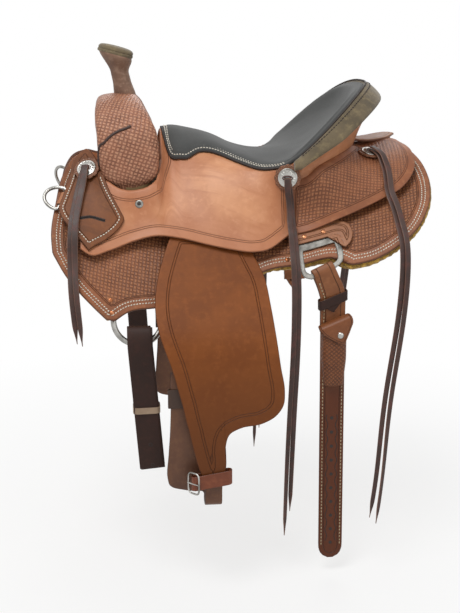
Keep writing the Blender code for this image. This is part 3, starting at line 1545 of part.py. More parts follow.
def make_rear_billet(side, word, long):
    """The billet loops the dee's lower bar; its two plies hang together and its tip is pointed."""
    centre, across, down, out = billet_frame()
    path, acrosses, widths = [], [], []
    plumb = np.array([0.0, 1.0, 0.0])
    for drop in (0.110, 0.085, 0.060, 0.030):
        path.append(billet_place(drop) - plumb * ply_out(drop))
        acrosses.append(billet_across(drop))
        widths.append(billet_width(drop))
    for turn in np.radians([180, 150, 120, 90, 60, 30, 0]):
        path.append(centre + out * BILLET_CLEAR * math.cos(turn) - down * BILLET_CLEAR * math.sin(turn))
        acrosses.append(across)
        widths.append(BILLET_TOP_WIDE)
    drops = [d for d in (0.030, 0.060, 0.095, 0.130, 0.200, 0.290, 0.380, 0.470) if d < long - 0.050]
    for drop in drops + [long - 0.026, long]:
        path.append(billet_place(drop) + plumb * ply_out(drop))
        acrosses.append(billet_across(drop))
        widths.append(billet_width(drop))
    widths[-1] = 0.010
    ribbon("rear_billet_" + word, path, widths, STRAP_THICK, TOOLED, side, across=acrosses)


def ply_out(drop):
    """How far each ply is from the billet's middle."""
    return BILLET_CLEAR - (BILLET_CLEAR - PLY_APART) * float(smooth_step(drop, 0.012, PLIES_MEET))


def billet_width(drop):
    return BILLET_TOP_WIDE + (BILLET_WIDE - BILLET_TOP_WIDE) * float(smooth_step(drop, 0.0, 0.040))


def billet_place(drop):
    """The billet's middle: square to the bar at first, then turning to hang plumb."""
    centre, _, down, _ = billet_frame()
    slide = down * drop / -down[2]
    share = min(1.0, 0.040 / drop)
    drift = 0.010 * drop
    return np.array([centre[0] + slide[0] * share + drift, centre[1] + slide[1] * share, centre[2] - drop])


def billet_across(drop):
    turn = float(smooth_step(drop, 0.02, 0.16))
    return unit(billet_frame()[1] * (1 - turn) + np.array([1.0, 0.0, 0.0]) * turn)


KEEPER_LOOP_DROP = 0.052
KEEPER_LOOP_WIDE = 0.016
KEEPER_LOOP_FRONT = [(1, 0.8), (0.96, 1), (-0.96, 1), (-1, 0.8)]
KEEPER_LOOP_CORNERS = [(-u, -v) for u, v in KEEPER_LOOP_FRONT] + KEEPER_LOOP_FRONT


def make_billet_keeper(side, word):
    """The dark leather keeper that is stitched round both plies."""
    base = billet_place(KEEPER_LOOP_DROP)
    w = billet_across(KEEPER_LOOP_DROP)
    slope = unit(billet_place(KEEPER_LOOP_DROP + 0.01) - billet_place(KEEPER_LOOP_DROP - 0.01))
    half = BILLET_WIDE / 2 + 0.0030
    deep = ply_out(KEEPER_LOOP_DROP - KEEPER_LOOP_WIDE / 2) + STRAP_THICK / 2 + 0.0014
    thick = 0.0024
    out = np.array([0.0, 1.0, 0.0])
    outer, inner = [], []
    for drop in (-KEEPER_LOOP_WIDE / 2, KEEPER_LOOP_WIDE / 2):
        place = base + slope * drop
        for u, v in KEEPER_LOOP_CORNERS:
            inner.append(place + w * half * u + out * deep * v)
            outer.append(place + w * (half * u + math.copysign(thick, u)) + out * (deep + thick) * v)
    faces = [(k, (k + 1) % 8, 8 + (k + 1) % 8, 8 + k) for k in range(8)]
    sheet("billet_keeper_" + word, np.array(outer), np.array(inner), faces, LATIGO, side)


# Knife sheath on the near rear billet

SHEATH_TOP_Z = -0.232
SHEATH_LOW_Z = -0.340
SHEATH_WIDE = 0.044
SHEATH_DEEP = 0.018
SHEATH_WALL = 0.0028
SHEATH_MOUTH_TILT = 0.42
FLAP_ABOVE = 0.0105
FLAP_THICK = 0.0030


def sheath_back_y():
    return float(billet_place(0.2)[1]) + PLY_APART + STRAP_THICK / 2 + LAYER_GAP


def sheath_x(z):
    centre = billet_frame()[0]
    return float(billet_place(float(centre[2]) - z)[0]) + 0.001


def make_sheath():
    """A pocket open at the top: an outer skin and an inner skin joined round the mouth."""
    back = sheath_back_y()
    outer, inner = [], []
    levels = [(SHEATH_TOP_Z, 1.0, 1.0), (-0.270, 1.0, 1.0), (-0.315, 0.96, 0.85), (SHEATH_LOW_Z, 0.80, 0.55)]
    for r, (z, wide, deep) in enumerate(levels):
        x = sheath_x(z)
        for u, v in ((-1, 0), (-0.9, 0.75), (-0.55, 1), (0.55, 1), (0.9, 0.75), (1, 0)):
            high = z + SHEATH_MOUTH_TILT * u * SHEATH_WIDE / 2 * (r == 0)
            outer.append((x + u * SHEATH_WIDE / 2 * wide, back + v * SHEATH_DEEP * deep, high))
            half = SHEATH_WIDE / 2 * wide - SHEATH_WALL
            y = back + SHEATH_WALL + v * (SHEATH_DEEP * deep - 2 * SHEATH_WALL)
            inner.append((x + u * half, y, max(high, SHEATH_LOW_Z + SHEATH_WALL)))
    around = 6
    count = len(levels)
    skin = count * around
    faces = []
    for r in range(count - 1):
        for k in range(around):
            m = (k + 1) % around
            a, b, c, d = r * around + k, r * around + m, (r + 1) * around + m, (r + 1) * around + k
            faces.append((a, b, c, d))
            faces.append((skin + d, skin + c, skin + b, skin + a))
    for k in range(around):
        m = (k + 1) % around
        faces.append((k, m, skin + m, skin + k))
    last = (count - 1) * around
    faces.append(tuple(last + k for k in range(around)))
    faces.append(tuple(skin + last + k for k in reversed(range(around))))
    body("knife_sheath", outer + inner, faces, TOOLED, NEAR)


# Rows of the flap: depth in front of the billet, drop below the hinge, left and right reach
FLAP_ROWS = [
    (0.0000, 0.0060, -0.029, 0.027),
    (0.0000, 0.0000, -0.029, 0.028),
    (0.0050, -0.0045, -0.029, 0.029),
    (0.0130, -0.0050, -0.029, 0.030),
    (0.0195, -0.0010, -0.029, 0.031),
    (0.0205, 0.0060, -0.027, 0.030),
    (0.0205, 0.0180, -0.020, 0.021),
    (0.0205, 0.0340, -0.007, 0.006),
]


def flap_hinge():
    """The middle of the flap's hinge line."""
    y = sheath_back_y() + FLAP_THICK / 2 + TOUCH_GAP
    return np.array([sheath_x(SHEATH_TOP_Z), y, SHEATH_TOP_Z + FLAP_ABOVE])


def make_flap():
    """The pointed flap that folds over the sheath's mouth and snaps down."""
    hinge = flap_hinge()
    across = unit([1.0, 0.0, SHEATH_MOUTH_TILT])
    down = unit([SHEATH_MOUTH_TILT, 0.0, -1.0])
    rows = np.array(FLAP_ROWS)
    line = rows[:, :2]
    along = np.gradient(line, axis=0)
    along /= np.linalg.norm(along, axis=1)[:, None]
    normal = np.stack([-along[:, 1], along[:, 0]], 1) * FLAP_THICK / 2
    skins = []
    for skin in (line - normal, line + normal):
        base = hinge + skin[:, :1] * np.array([0, 1.0, 0]) + skin[:, 1:] * down
        skins.append(np.stack([base + across * rows[:, 2:3], base + across * rows[:, 3:4]], 1))
    sheet("sheath_flap", skins[0], skins[1], grid_faces(len(rows), 2), TOOLED, NEAR)


# Conchos on their rosettes, and the strings that hang from them

FRONT_CONCHO = (-0.2600, 0.060)
MID_CONCHO = (0.0845, 0.145)
REAR_CONCHO = (0.71, 0.66)
CONCHO_LIFTS = {"front": 0.0012, "bare": 0.0004, "mid": 0.0013, "rear": 0.0002}
REST_RADIUS = ROSETTE_ACROSS / 2 * 1.08


def resting(points, lift):
    """Where a flat disc lies on a patch of leather: its centre and the way it faces."""
    points = np.asarray(points, float)
    centre = points[0]
    _, _, axes = np.linalg.svd(points - points.mean(0))
    normal = axes[2]
    if normal @ np.array([0.0, 1.0, 0.6]) < 0:
        normal = -normal
    rise = ((points - centre) @ normal).max()
    return centre + normal * (rise + lift), normal


def patch(place, a, b, turns=16):
    """The middle of a patch of leather and points all round it, one rosette's radius away."""
    middle = place(a, b)
    step = 0.002
    da = (place(a + step, b) - middle) / step
    db = (place(a, b + step) - middle) / step
    points = [middle]
    for radius in (REST_RADIUS, REST_RADIUS * 0.6):
        for turn in np.arange(turns) * 2 * math.pi / turns:
            first = unit(da)
            second = unit(db - first * (first @ db))
            wanted = radius * (math.cos(turn) * first + math.sin(turn) * second)
            share = np.linalg.lstsq(np.stack([da, db], 1), wanted, rcond=None)[0]
            points.append(place(a + share[0], b + share[1]))
    return points


def on_front(side):
    """What the front concho lies on: the latigo keeper, or the bare jockey on the off side."""

    def place(x, s):
        x, s = np.array([x]), np.array([s])
        return (over_jockey(x, np.maximum(s, 0.052), FRONT_LIES_ON[side]) + up_the_edge(s))[0]

    return place


def on_jockey(x, w):
    return seat_outer(np.array([x]), np.array([w]))[0]


def on_rear_jockey(k, m):
    return rear_surface(np.array([k]), np.array([m]))[0]


def concho_seats(side):
    """Each concho's name, centre and facing."""
    front = "front" if side == NEAR else "bare"
    seats = [("front", *resting(patch(on_front(side), *FRONT_CONCHO), CONCHO_LIFTS[front]))]
    seats.append(("mid", *resting(patch(on_jockey, *MID_CONCHO), CONCHO_LIFTS["mid"])))
    seats.append(("rear", *resting(patch(on_rear_jockey, *REAR_CONCHO), CONCHO_LIFTS["rear"])))
    return seats


def make_concho(name, centre, normal, side):
    """A domed concho on a scalloped leather rosette, turned as one profile."""
    seed = np.array([1.0, 0, 0]) if abs(normal[0]) < 0.9 else np.array([0, 0, 1.0])
    u = unit(np.cross(normal, seed))
    v = np.cross(normal, u)
    around = 24
    turns = np.arange(around) * 2 * math.pi / around
    scallop = 1 + 0.035 * np.cos(turns * 12)
    profile = [
        (ROSETTE_ACROSS / 2 * 0.97, 0.0, True),
        (ROSETTE_ACROSS / 2, ROSETTE_THICK, True),
        (CONCHO_ACROSS / 2, ROSETTE_THICK, False),
        (CONCHO_ACROSS / 2, ROSETTE_THICK + 0.0012, False),
        (CONCHO_ACROSS / 2 * 0.6, ROSETTE_THICK + CONCHO_THICK, False),
    ]
    rings = []
    for radius, up, wavy in profile:
        size = radius * (scallop if wavy else np.ones(around))
        circle = np.cos(turns)[:, None] * u + np.sin(turns)[:, None] * v
        rings.append(centre + normal * up + size[:, None] * circle)
    loft(name, rings, STEEL, side)


# Routes of the strings' first thongs, from the concho down: what they lie on, two places, lift.
# The last stops hang free: x, how much further out than the last stop on the skirt, and z.
STRING_LIES = STRING_THICK / 2 + 0.0012
PLY_STEP = 0.0048
STRING_ROUTES = {
    "front": [
        ("keeper", -0.2760, 0.101, STRING_LIES + 0.0015),
        ("keeper", -0.2860, 0.135, STRING_LIES),
        ("keeper", -0.2900, 0.160, STRING_LIES + 0.001),
        ("flank", -0.2920, 0.188, 0.018),
        ("flank", -0.2930, 0.220, 0.006),
        ("flank", -0.2930, 0.262, 0.004),
        ("free", -0.2910, 0.010, -0.190),
        ("free", -0.2850, 0.012, -0.2490),
    ],
    "mid": [
        ("jockey", 0.0890, 0.50, STRING_LIES + 0.0025),
        ("jockey", 0.0910, 0.72, STRING_LIES + 0.0020),
        ("jockey", 0.0920, 0.90, STRING_LIES + 0.0010),
        ("flank", 0.0930, 0.160, 0.0250),
        ("flank", 0.0940, 0.185, 0.0150),
        ("flank", 0.0950, 0.212, 0.0110),
        ("free", 0.0960, 0.008, -0.150),
        ("free", 0.0970, 0.012, -0.211),
        ("free", 0.0960, 0.012, -0.284),
        ("free", 0.0930, 0.010, -0.361),
        ("free", 0.0890, 0.008, -0.470),
        ("free", 0.0860, 0.008, -0.575),
    ],
    "rear": [
        ("rear", 0.610, 0.38, STRING_LIES + 0.0020),
        ("rear", 0.560, 0.24, STRING_LIES + 0.0010),
        ("rear", 0.500, 0.08, STRING_LIES + 0.001),
        ("flank", 0.2690, 0.150, 0.0160),
        ("flank", 0.2740, 0.185, 0.0050),
        ("flank", 0.2770, 0.222, 0.0040),
        ("free", 0.2757, 0.010, -0.118),
        ("free", 0.2747, 0.014, -0.180),
        ("free", 0.2657, 0.014, -0.258),
        ("free", 0.2527, 0.012, -0.342),
        ("free", 0.2450, 0.010, -0.430),
        ("free", 0.2440, 0.010, -0.510),
        ("free", 0.2310, 0.010, -0.589),
    ],
}
# The second thong beside the first: x shift at the concho and at the tip, and how much longer it is
SECOND_THONG = {
    "front": (0.006, 0.016, 0.003),
    "mid": (-0.003, -0.010, 0.045),
    "rear": (0.002, 0.011, 0.010),
}


def string_stop(kind, a, b, lift, base, side):
    """One stop of a string, and the same stop lifted a little more."""
    both = []
    for more in (0.0, 0.004):
        x, y = np.array([a]), np.array([b])
        if kind == "keeper":
            on = over_jockey(x, np.maximum(y, 0.052), FRONT_LIES_ON[side] + lift + more)
            both.append((on + up_the_edge(y))[0])
        elif kind == "jockey":
            both.append(lifted(seat_outer, x, y, lift + more)[0])
        elif kind == "rear":
            both.append(rear_lifted(x, y, lift + more)[0])
        elif kind == "flank":
            both.append(flank(x, y, SKIRT_THICK + STRING_LIES + lift + more)[0])
        else:
            both.append(np.array([a, base + b + more, lift]))
    return both[0], unit(both[1] - both[0])


def make_string(place, centre, normal, side, word):
    """Both thongs of a knot as one strap, folded back over itself on top of the concho."""
    stand = ROSETTE_THICK + CONCHO_THICK + STRING_THICK / 2 + LAYER_GAP
    stops = [(centre + normal * stand, normal)]
    first, _ = string_stop(*STRING_ROUTES[place][0], 0.0, side)
    away = unit((first - centre) - normal * ((first - centre) @ normal))
    low = stand - CONCHO_THICK + 0.0006
    step_down = [(CONCHO_ACROSS / 2, stand - 0.0008), (ROSETTE_ACROSS / 2 + 0.003, low)]
    stops += [(centre + away * reach + normal * rise, normal) for reach, rise in step_down]
    base = 0.0
    for kind, a, b, lift in STRING_ROUTES[place]:
        if kind == "free":
            point, face = string_stop(kind, a, b, lift, base, side)
        else:
            point, face = string_stop(kind, a, b, lift, 0.0, side)
            base = float(point[1])
        stops.append((point, face))
    points = np.array([s[0] for s in stops])
    faces = np.array([s[1] for s in stops])
    along = np.gradient(points, axis=0)
    across = np.cross(along, faces)
    across /= np.linalg.norm(across, axis=1)[:, None]
    if across[0][0] < 0:
        across = -across
    near, far, longer = SECOND_THONG[place]
    share = np.linspace(0, 1, len(points))[:, None]
    drift = (near + (far - near) * share) * np.minimum(1, share * 4)
    second = points + faces * PLY_STEP + np.array([1.0, 0, 0]) * drift
    second[-1, 2] -= longer
    up = unit(points[0] - points[1])
    top = [points[0] + up * 0.006, second[0] + up * 0.006]
    crown = (top[0] + top[1]) / 2 + up * PLY_STEP / 2
    path = list(points[::-1]) + [top[0], crown, top[1]] + list(second)
    turned = list(across[::-1]) + [across[0]] * 3 + list(across)
    ribbon(f"string_{place}_{word}", path, STRING_WIDE, STRING_THICK, LATIGO, side, across=turned)


FENDER_PIVOT_S = 0.135


def fender_pivot():
    """The point in the fender's plane, under the seat jockey, that the fender swings about."""
    down, _ = flank_slope(SWING_X, FENDER_TANGENT_S)
    touch = flank(SWING_X, FENDER_TANGENT_S, SKIRT_THICK + FENDER_SWING_ROOM)
    return touch - down * (FENDER_TANGENT_S - FENDER_PIVOT_S)


def set_origins():
    """Every moving piece gets its origin on the line it turns about or slides along."""
    sleeve = np.array([(SLEEVE_FRONT + SLEEVE_BACK) / 2, inner_leg_y(), SLEEVE_Z])
    both = {
        "breast_dee": breast_frame()[0],
        "fender": fender_pivot(),
        "stirrup_leather": fender_pivot(),
        "hobble_strap": fender_pivot(),
        "hobble_buckle": fender_pivot(),
        "stirrup_sleeve": sleeve,
        "rear_billet": billet_frame()[0],
    }
    places = {f"{name}_{word}": (place, side) for name, place in both.items() for side, word in SIDES}
    places["billet_keeper_near"] = (billet_frame()[0], NEAR)
    places["knife_sheath"] = (billet_frame()[0], NEAR)
    places["sheath_flap"] = (flap_hinge(), NEAR)
    places["latigo"] = (bar_under_ring(), NEAR)
    places["off_billet"] = (bar_under_ring(), OFF)
    for name, (place, side) in places.items():
        thing = bpy.data.objects[name]
        origin = np.array(place, float) * np.array([1, side, 1])
        for vert in thing.data.vertices:
            vert.co = [a - b for a, b in zip(vert.co, origin)]
        thing.location = origin


def main():
    for side, word in SIDES:
        make_skirts(side, word)
        make_ring(side, word)
        make_rear_rigging(side, word)
        make_bar(side, word)
        make_rear_jockey(side, word)
        make_breast_dee(side, word)
        make_fender(side, word)
        make_stirrup_leather(side, word)
        make_sleeve(side, word)
        make_hobble(side, word)
        make_rear_billet(side, word, BILLET_LONG if side == NEAR else OFF_REAR_BILLET_LONG)
        for place, centre, normal in concho_seats(side):
            make_concho(f"concho_{place}_{word}", centre, normal, side)
            make_string(place, centre, normal, side, word)
    make_billet_keeper(NEAR, "near")
    make_fork()
    make_horn()
    make_seat()
    make_seat_pad()
    make_ground_seat()
    make_cantle()
    make_binding()
    make_plate()
    make_keeper()
    make_latigo()
    make_off_billet()
    make_sheath()
    make_flap()
    set_origins()


main()
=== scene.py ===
"""The looks of a ranch saddle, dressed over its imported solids.

Metres, +Z up, the horn points to -X and the near side (rider's left) is -Y. Shapes are worked out
with y pointing outwards from the centre line and put on a side by NEAR or OFF.
"""

import math

import bmesh
import bpy
import numpy as np
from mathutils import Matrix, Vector


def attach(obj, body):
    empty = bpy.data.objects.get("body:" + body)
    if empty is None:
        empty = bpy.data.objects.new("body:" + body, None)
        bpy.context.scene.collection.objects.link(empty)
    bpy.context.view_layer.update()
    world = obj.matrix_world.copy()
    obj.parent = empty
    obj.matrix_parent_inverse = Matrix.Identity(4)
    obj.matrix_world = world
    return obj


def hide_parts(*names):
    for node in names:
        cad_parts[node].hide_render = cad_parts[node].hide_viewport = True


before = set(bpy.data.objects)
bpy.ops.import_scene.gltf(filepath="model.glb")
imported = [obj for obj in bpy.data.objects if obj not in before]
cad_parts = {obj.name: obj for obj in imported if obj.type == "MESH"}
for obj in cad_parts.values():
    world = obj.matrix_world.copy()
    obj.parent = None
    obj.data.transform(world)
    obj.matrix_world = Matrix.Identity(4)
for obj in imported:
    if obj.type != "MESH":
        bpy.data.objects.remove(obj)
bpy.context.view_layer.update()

NEAR, OFF = -1, 1
SIDES = ((NEAR, "near"), (OFF, "off"))
MM = 0.001
BACKWARD, OUTWARD, UP = np.eye(3)

# The horse's back: an arc across, a shallow saddle curve along
SPINE_HALF_GAP = 0.035
SPINE_RISE, SPINE_RISE_AT = 0.045, 0.29
FLANK_DEPTH = 0.33
FLANK_TOP_ANGLE, FLANK_TOP_TWIST = math.radians(32), math.radians(8)
FLANK_HEM_ANGLE, FLANK_HEM_TWIST = math.radians(66), math.radians(4)
TWIST_LENGTH = 0.3

# Leather, tree and metal, as in the solids
LAYER = 0.8 * MM
TOUCH = 0.3 * MM
SKIRT_THICK = 6 * MM
WOOL_THICK = 12 * MM
JOCKEY_THICK = 4.5 * MM
KEEPER_GAP, KEEPER_THICK = 1.2 * MM, 4.5 * MM
FENDER_THICK = 4.5 * MM
STRAP_THICK = 4.2 * MM
SAFE_THICK = 3.5 * MM
DEE_THICK = 3.4 * MM
BAR_TOP = SKIRT_THICK + LAYER + 20 * MM
BINDING_THICK, BINDING_WIDE = 6.5 * MM, 40 * MM
FORK_WALL, FORK_CROWN = 44 * MM, 52 * MM
SEAT_THICK = 4.5 * MM
PAD_THICK, PAD_EDGE = 10 * MM, 3.5 * MM
RING_OUTSIDE, RING_WIRE = 93 * MM, 10 * MM
BREAST_WIRE = 6 * MM
CONCHO_ACROSS, CONCHO_THICK = 34 * MM, 3.2 * MM
ROSETTE_ACROSS, ROSETTE_THICK = 46 * MM, 2.8 * MM
STRING_WIDE, STRING_THICK = 14 * MM, 3.2 * MM
# The inset marked on what has no cut edge of its own
FAR_INSIDE = 20 * MM

# The seat's rim behind the rider: a squared ellipse in plan
RIM_FRONT_X, RIM_REACH, RIM_HALF_WIDE, RIM_SQUARE = 0.092, 0.152, 0.16, 2.3
RIM_FOOT_Z, RIM_RISE, RIM_FALL, RIM_INSET = 0.05, 0.128, 3.2, 0.008


# Curves


def unit(v):
    """Each vector divided by its own length."""
    v = np.asarray(v, float)
    return v / np.maximum(np.linalg.norm(v, axis=-1, keepdims=True), 1e-12)


def smooth_step(x, low, high):
    """Nought below low, one above high, and t * t * (3 - 2 t) between, t being the share of the way."""
    t = np.clip((np.asarray(x, float) - low) / (high - low), 0, 1)
    return t * t * (3 - 2 * t)


def hermite(a, da, b, db, t):
    """A cubic from a to b that leaves with da and arrives with db."""
    u = 1 - t
    return a * u * u * (1 + 2 * t) + b * t * t * (3 - 2 * t) + da * t * u * u - db * t * t * u


def bezier(a, b, c, d, t):
    """A cubic Bezier through arrays of points."""
    t = t[..., None]
    u = 1 - t
    return a * u**3 + 3 * b * u * u * t + 3 * c * u * t * t + d * t**3


def spread(points, steps, closed=False):
    """A smooth line through the points, as cubics whose slopes follow both neighbours; a last 1 marks a corner."""
    rows = [tuple(p) for p in points]
    width = len(min(rows, key=len))
    corner = [len(p) > width and p[width] == 1 for p in rows]
    base = np.array([p[:width] for p in rows], float)
    count = len(base)
    t = (np.arange(steps) / steps)[:, None]
    out = []
    for i in range(count if closed else count - 1):
        j = (i + 1) % count
        span = base[j] - base[i]
        here, there = span, span
        if not corner[i] and (closed or i > 0):
            here = tangent_at(base, i) * np.linalg.norm(span)
        if not corner[j] and (closed or j < count - 1):
            there = tangent_at(base, j) * np.linalg.norm(span)
        out.append(hermite(base[i], here, base[j], there, t))
    if not closed:
        out.append(base[-1:])
    return np.concatenate(out)


def all_round(count):
    """Equal turns all round a circle, from nought."""
    return np.arange(count) * 2 * math.pi / count


def boxed(turn, power):
    """A rounded box's two values at each turn: cosine and sine, their sizes raised to a power below one."""
    c, s = np.cos(turn), np.sin(turn)
    return np.sign(c) * np.abs(c) ** power, np.sign(s) * np.abs(s) ** power


def crosswise(normal):
    """Two unit directions square to a normal and to each other."""
    seed = UP if abs(normal[2]) < 0.9 else BACKWARD
    u = unit(np.cross(seed, normal))
    return u, np.cross(normal, u)


def inward(line):
    """At each point of a closed plan outline, the direction into it, square to its neighbours' join."""
    after, before = np.roll(line, -1, 0), np.roll(line, 1, 0)
    along = unit(after - before)
    area = (line[:, 0] * after[:, 1] - after[:, 0] * line[:, 1]).sum()
    return np.stack([-along[:, 1], along[:, 0]], 1) * (1 if area > 0 else -1)


def tangent_at(base, i):
    """The direction of a smooth line at a point: both neighbours' directions, the nearer one first."""
    before, after = base[i] - base[i - 1], base[(i + 1) % len(base)] - base[i]
    near, far = np.linalg.norm(before), np.linalg.norm(after)
    return (before / near * far + after / far * near) / (near + far)


def station(table, x, column):
    """One column of a table of sections, read smoothly at x."""
    rows = np.array(table, float)
    xs, ys = rows[:, 0], rows[:, column]
    slopes = np.gradient(ys, xs)
    x = np.clip(np.asarray(x, float), xs[0], xs[-1])
    i = np.clip(np.searchsorted(xs, x, side="right") - 1, 0, len(xs) - 2)
    span = xs[i + 1] - xs[i]
    return hermite(ys[i], slopes[i] * span, ys[i + 1], slopes[i + 1] * span, (x - xs[i]) / span)


def lengths(line):
    """How far along a line each of its points is."""
    return np.concatenate([[0], np.cumsum(np.linalg.norm(np.diff(line, axis=0), axis=1))])


def read_at(where, at, rows):
    """Each column of rows, which are given at at, read straight between them at where."""
    return np.stack([np.interp(where, at, rows[:, i]) for i in range(rows.shape[1])], -1)


def at_length(line, where):
    """Points at given lengths along a line."""
    line = np.asarray(line, float)
    return read_at(where, lengths(line), line)


def along_line(line, share):
    """Points at a share of a line's length."""
    return at_length(line, np.clip(share, 0, 1) * lengths(line)[-1])


def even(line, pitch, closed=False):
    """A line resampled to equal steps close to a pitch."""
    line = np.asarray(line, float)
    if closed:
        line = np.concatenate([line, line[:1]])
    total = lengths(line)[-1]
    count = max(2, int(round(total / pitch)) + 1)
    out = at_length(line, np.linspace(0, total, count))
    return out[:-1] if closed else out


def thin_wave(x, y, seed):
    """A calm repeatable ripple between -1 and 1: four sine waves at turned directions."""
    out = 0
    for k in range(4):
        turn = seed * 1.7 + k * 2.4
        out = out + np.sin((x * math.cos(turn) + y * math.sin(turn)) * (1 + 0.7 * k) + seed * 3.1 + k) / (1 + 0.5 * k)
    return out / 2.6


# Surfaces of the horse and the saddle


def flank_frame(x):
    """Radius, start angle and centre of the arc across the horse's back at x."""
    x = np.asarray(x, float)
    start = FLANK_TOP_ANGLE - FLANK_TOP_TWIST * x / TWIST_LENGTH
    end = FLANK_HEM_ANGLE - FLANK_HEM_TWIST * x / TWIST_LENGTH
    radius = FLANK_DEPTH / (end - start)
    centre_y = SPINE_HALF_GAP - radius * np.sin(start)
    centre_z = SPINE_RISE * (x / SPINE_RISE_AT) ** 2 - radius * np.cos(start)
    return radius, start, centre_y, centre_z


def flank(x, s, h):
    """The point h above the horse's back, s down its side from the spine, at x."""
    x, s, h = np.broadcast_arrays(np.asarray(x, float), s, h)
    radius, start, centre_y, centre_z = flank_frame(x)
    angle = start + s / radius
    return np.stack([x, centre_y + (radius + h) * np.sin(angle), centre_z + (radius + h) * np.cos(angle)], -1)


def flank_height(x, y, h):
    """The z of the surface h above the horse's back, over the plan point x, y."""
    radius, _, centre_y, centre_z = flank_frame(x)
    return centre_z + np.sqrt((radius + h) ** 2 - (np.abs(y) - centre_y) ** 2)


def flank_slope(x, s):
    """Unit directions down the flank and out of it."""
    radius, start, _, _ = flank_frame(x)
    angle = start + s / radius
    down = np.stack([0 * angle, np.cos(angle), -np.sin(angle)], -1)
    out = np.stack([0 * angle, np.sin(angle), np.cos(angle)], -1)
    return down, out


# The seat's sections: x, centre height, edge y, edge z, arriving angle, leaving angle below level
SEAT_SECTIONS = [
    (-0.276, 0.1, 0.078, 0.034, 40, 42), (-0.258, 0.1, 0.082, 0.036, 42, 45),
    (-0.235, 0.1, 0.106, 0.026, 50, 55), (-0.205, 0.1, 0.1265, 0.008, 56, 58),
    (-0.175, 0.098, 0.1285, 0.006, 56, 58), (-0.15, 0.097, 0.1265, 0.016, 54, 54),
    (-0.1385, 0.097, 0.1155, 0.028, 50, 50), (-0.1335, 0.097, 0.096, 0.042, 48, 48),
    (-0.13, 0.096, 0.076, 0.054, 46, 46), (-0.094, 0.089, 0.074, 0.053, 46, 46),
    (-0.04, 0.075, 0.092, 0.049, 34, 36), (0.0, 0.056, 0.11, 0.039, 20, 40),
    (0.04, 0.047, 0.132, 0.03, 12, 60), (0.092, 0.05, 0.158, 0.044, -14, 84),
    (0.1, 0.052, 0.159, 0.048, -20, 85),
]
# The jockey's hem: x, distance down the flank, height over the horse's back
HEM_SECTIONS = [
    (-0.276, 0.193, 0.0225), (-0.26, 0.2, 0.022), (-0.227, 0.186, 0.022), (-0.182, 0.162, 0.025),
    (-0.149, 0.153, 0.0325), (-0.104, 0.155, 0.035), (-0.06, 0.165, 0.034), (-0.017, 0.175, 0.032),
    (0.02, 0.182, 0.0305), (0.048, 0.179, 0.0285), (0.075, 0.163, 0.0265), (0.092, 0.151, 0.0262),
]
# The dish in front of the cantle: x, centre height
DISH_CENTRE = [(0.092, 0.05), (0.12, 0.057), (0.155, 0.077), (0.19, 0.104), (0.222, 0.138), (0.2415, 0.168)]


def rim_height(y):
    """The crest's z: foot + rise * sqrt(1 - share^fall), share being how far out y is."""
    share = np.clip(np.abs(y) / RIM_HALF_WIDE, 0, 1)
    return RIM_FOOT_Z + RIM_RISE * np.sqrt(1 - share**RIM_FALL)


def rim(angle):
    """The cantle's crest: a squared ellipse in plan that drops away at its two ends."""
    c, s = np.cos(angle), np.sin(angle)
    x = RIM_FRONT_X + RIM_REACH * np.abs(c) ** (2 / RIM_SQUARE)
    y = RIM_HALF_WIDE * np.sign(s) * np.abs(s) ** (2 / RIM_SQUARE)
    return np.stack([x, y, rim_height(y)], -1)


def rim_out(angle):
    """The plan direction out of the cantle's crest, square to its run."""
    along = rim(angle + 0.01) - rim(angle - 0.01)
    return unit(np.stack([along[..., 1], -along[..., 0], 0 * along[..., 0]], -1))


def rim_half_width(x):
    """How far out the cantle's crest is at x: the squared ellipse of rim, solved for y."""
    share = np.clip((x - RIM_FRONT_X) / RIM_REACH, 0, 1)
    return RIM_HALF_WIDE * (1 - share**RIM_SQUARE) ** (1 / RIM_SQUARE)


def outward(points, side):
    """Points worked out on the near half, put on the half that side says."""
    points[..., 1] *= np.where(side < 0, -1, 1)
    return points


def seat_inner(x, w):
    """The seat's leather between its centre line (w 0) and its edge or the cantle's crest (w 1)."""
    x, w = np.broadcast_arrays(np.asarray(x, float), np.asarray(w, float))
    side, w = np.sign(w), np.abs(w)
    edge_y, edge_z = station(SEAT_SECTIONS, x, 2), station(SEAT_SECTIONS, x, 3)
    angle = np.radians(station(SEAT_SECTIONS, x, 4))
    middle = station(SEAT_SECTIONS, x, 1)
    pull = 0.38 * edge_y
    a = np.stack([x, 0 * x, middle], -1)
    b = np.stack([x, 0.45 * edge_y, middle], -1)
    c = np.stack([x, edge_y - pull * np.cos(angle), edge_z + pull * np.sin(angle)], -1)
    d = np.stack([x, edge_y, edge_z], -1)
    front = bezier(a, b, c, d, w)
    half = rim_half_width(x) - RIM_INSET
    centre = station(DISH_CENTRE, x, 1)
    top = rim_height(rim_half_width(x)) - 3 * MM
    dish = np.stack([x, half * w, centre + (top - centre) * w**2.6], -1)
    mix = smooth_step(x, 0.07, 0.115)[..., None]
    return outward(front * (1 - mix) + dish * mix, side)


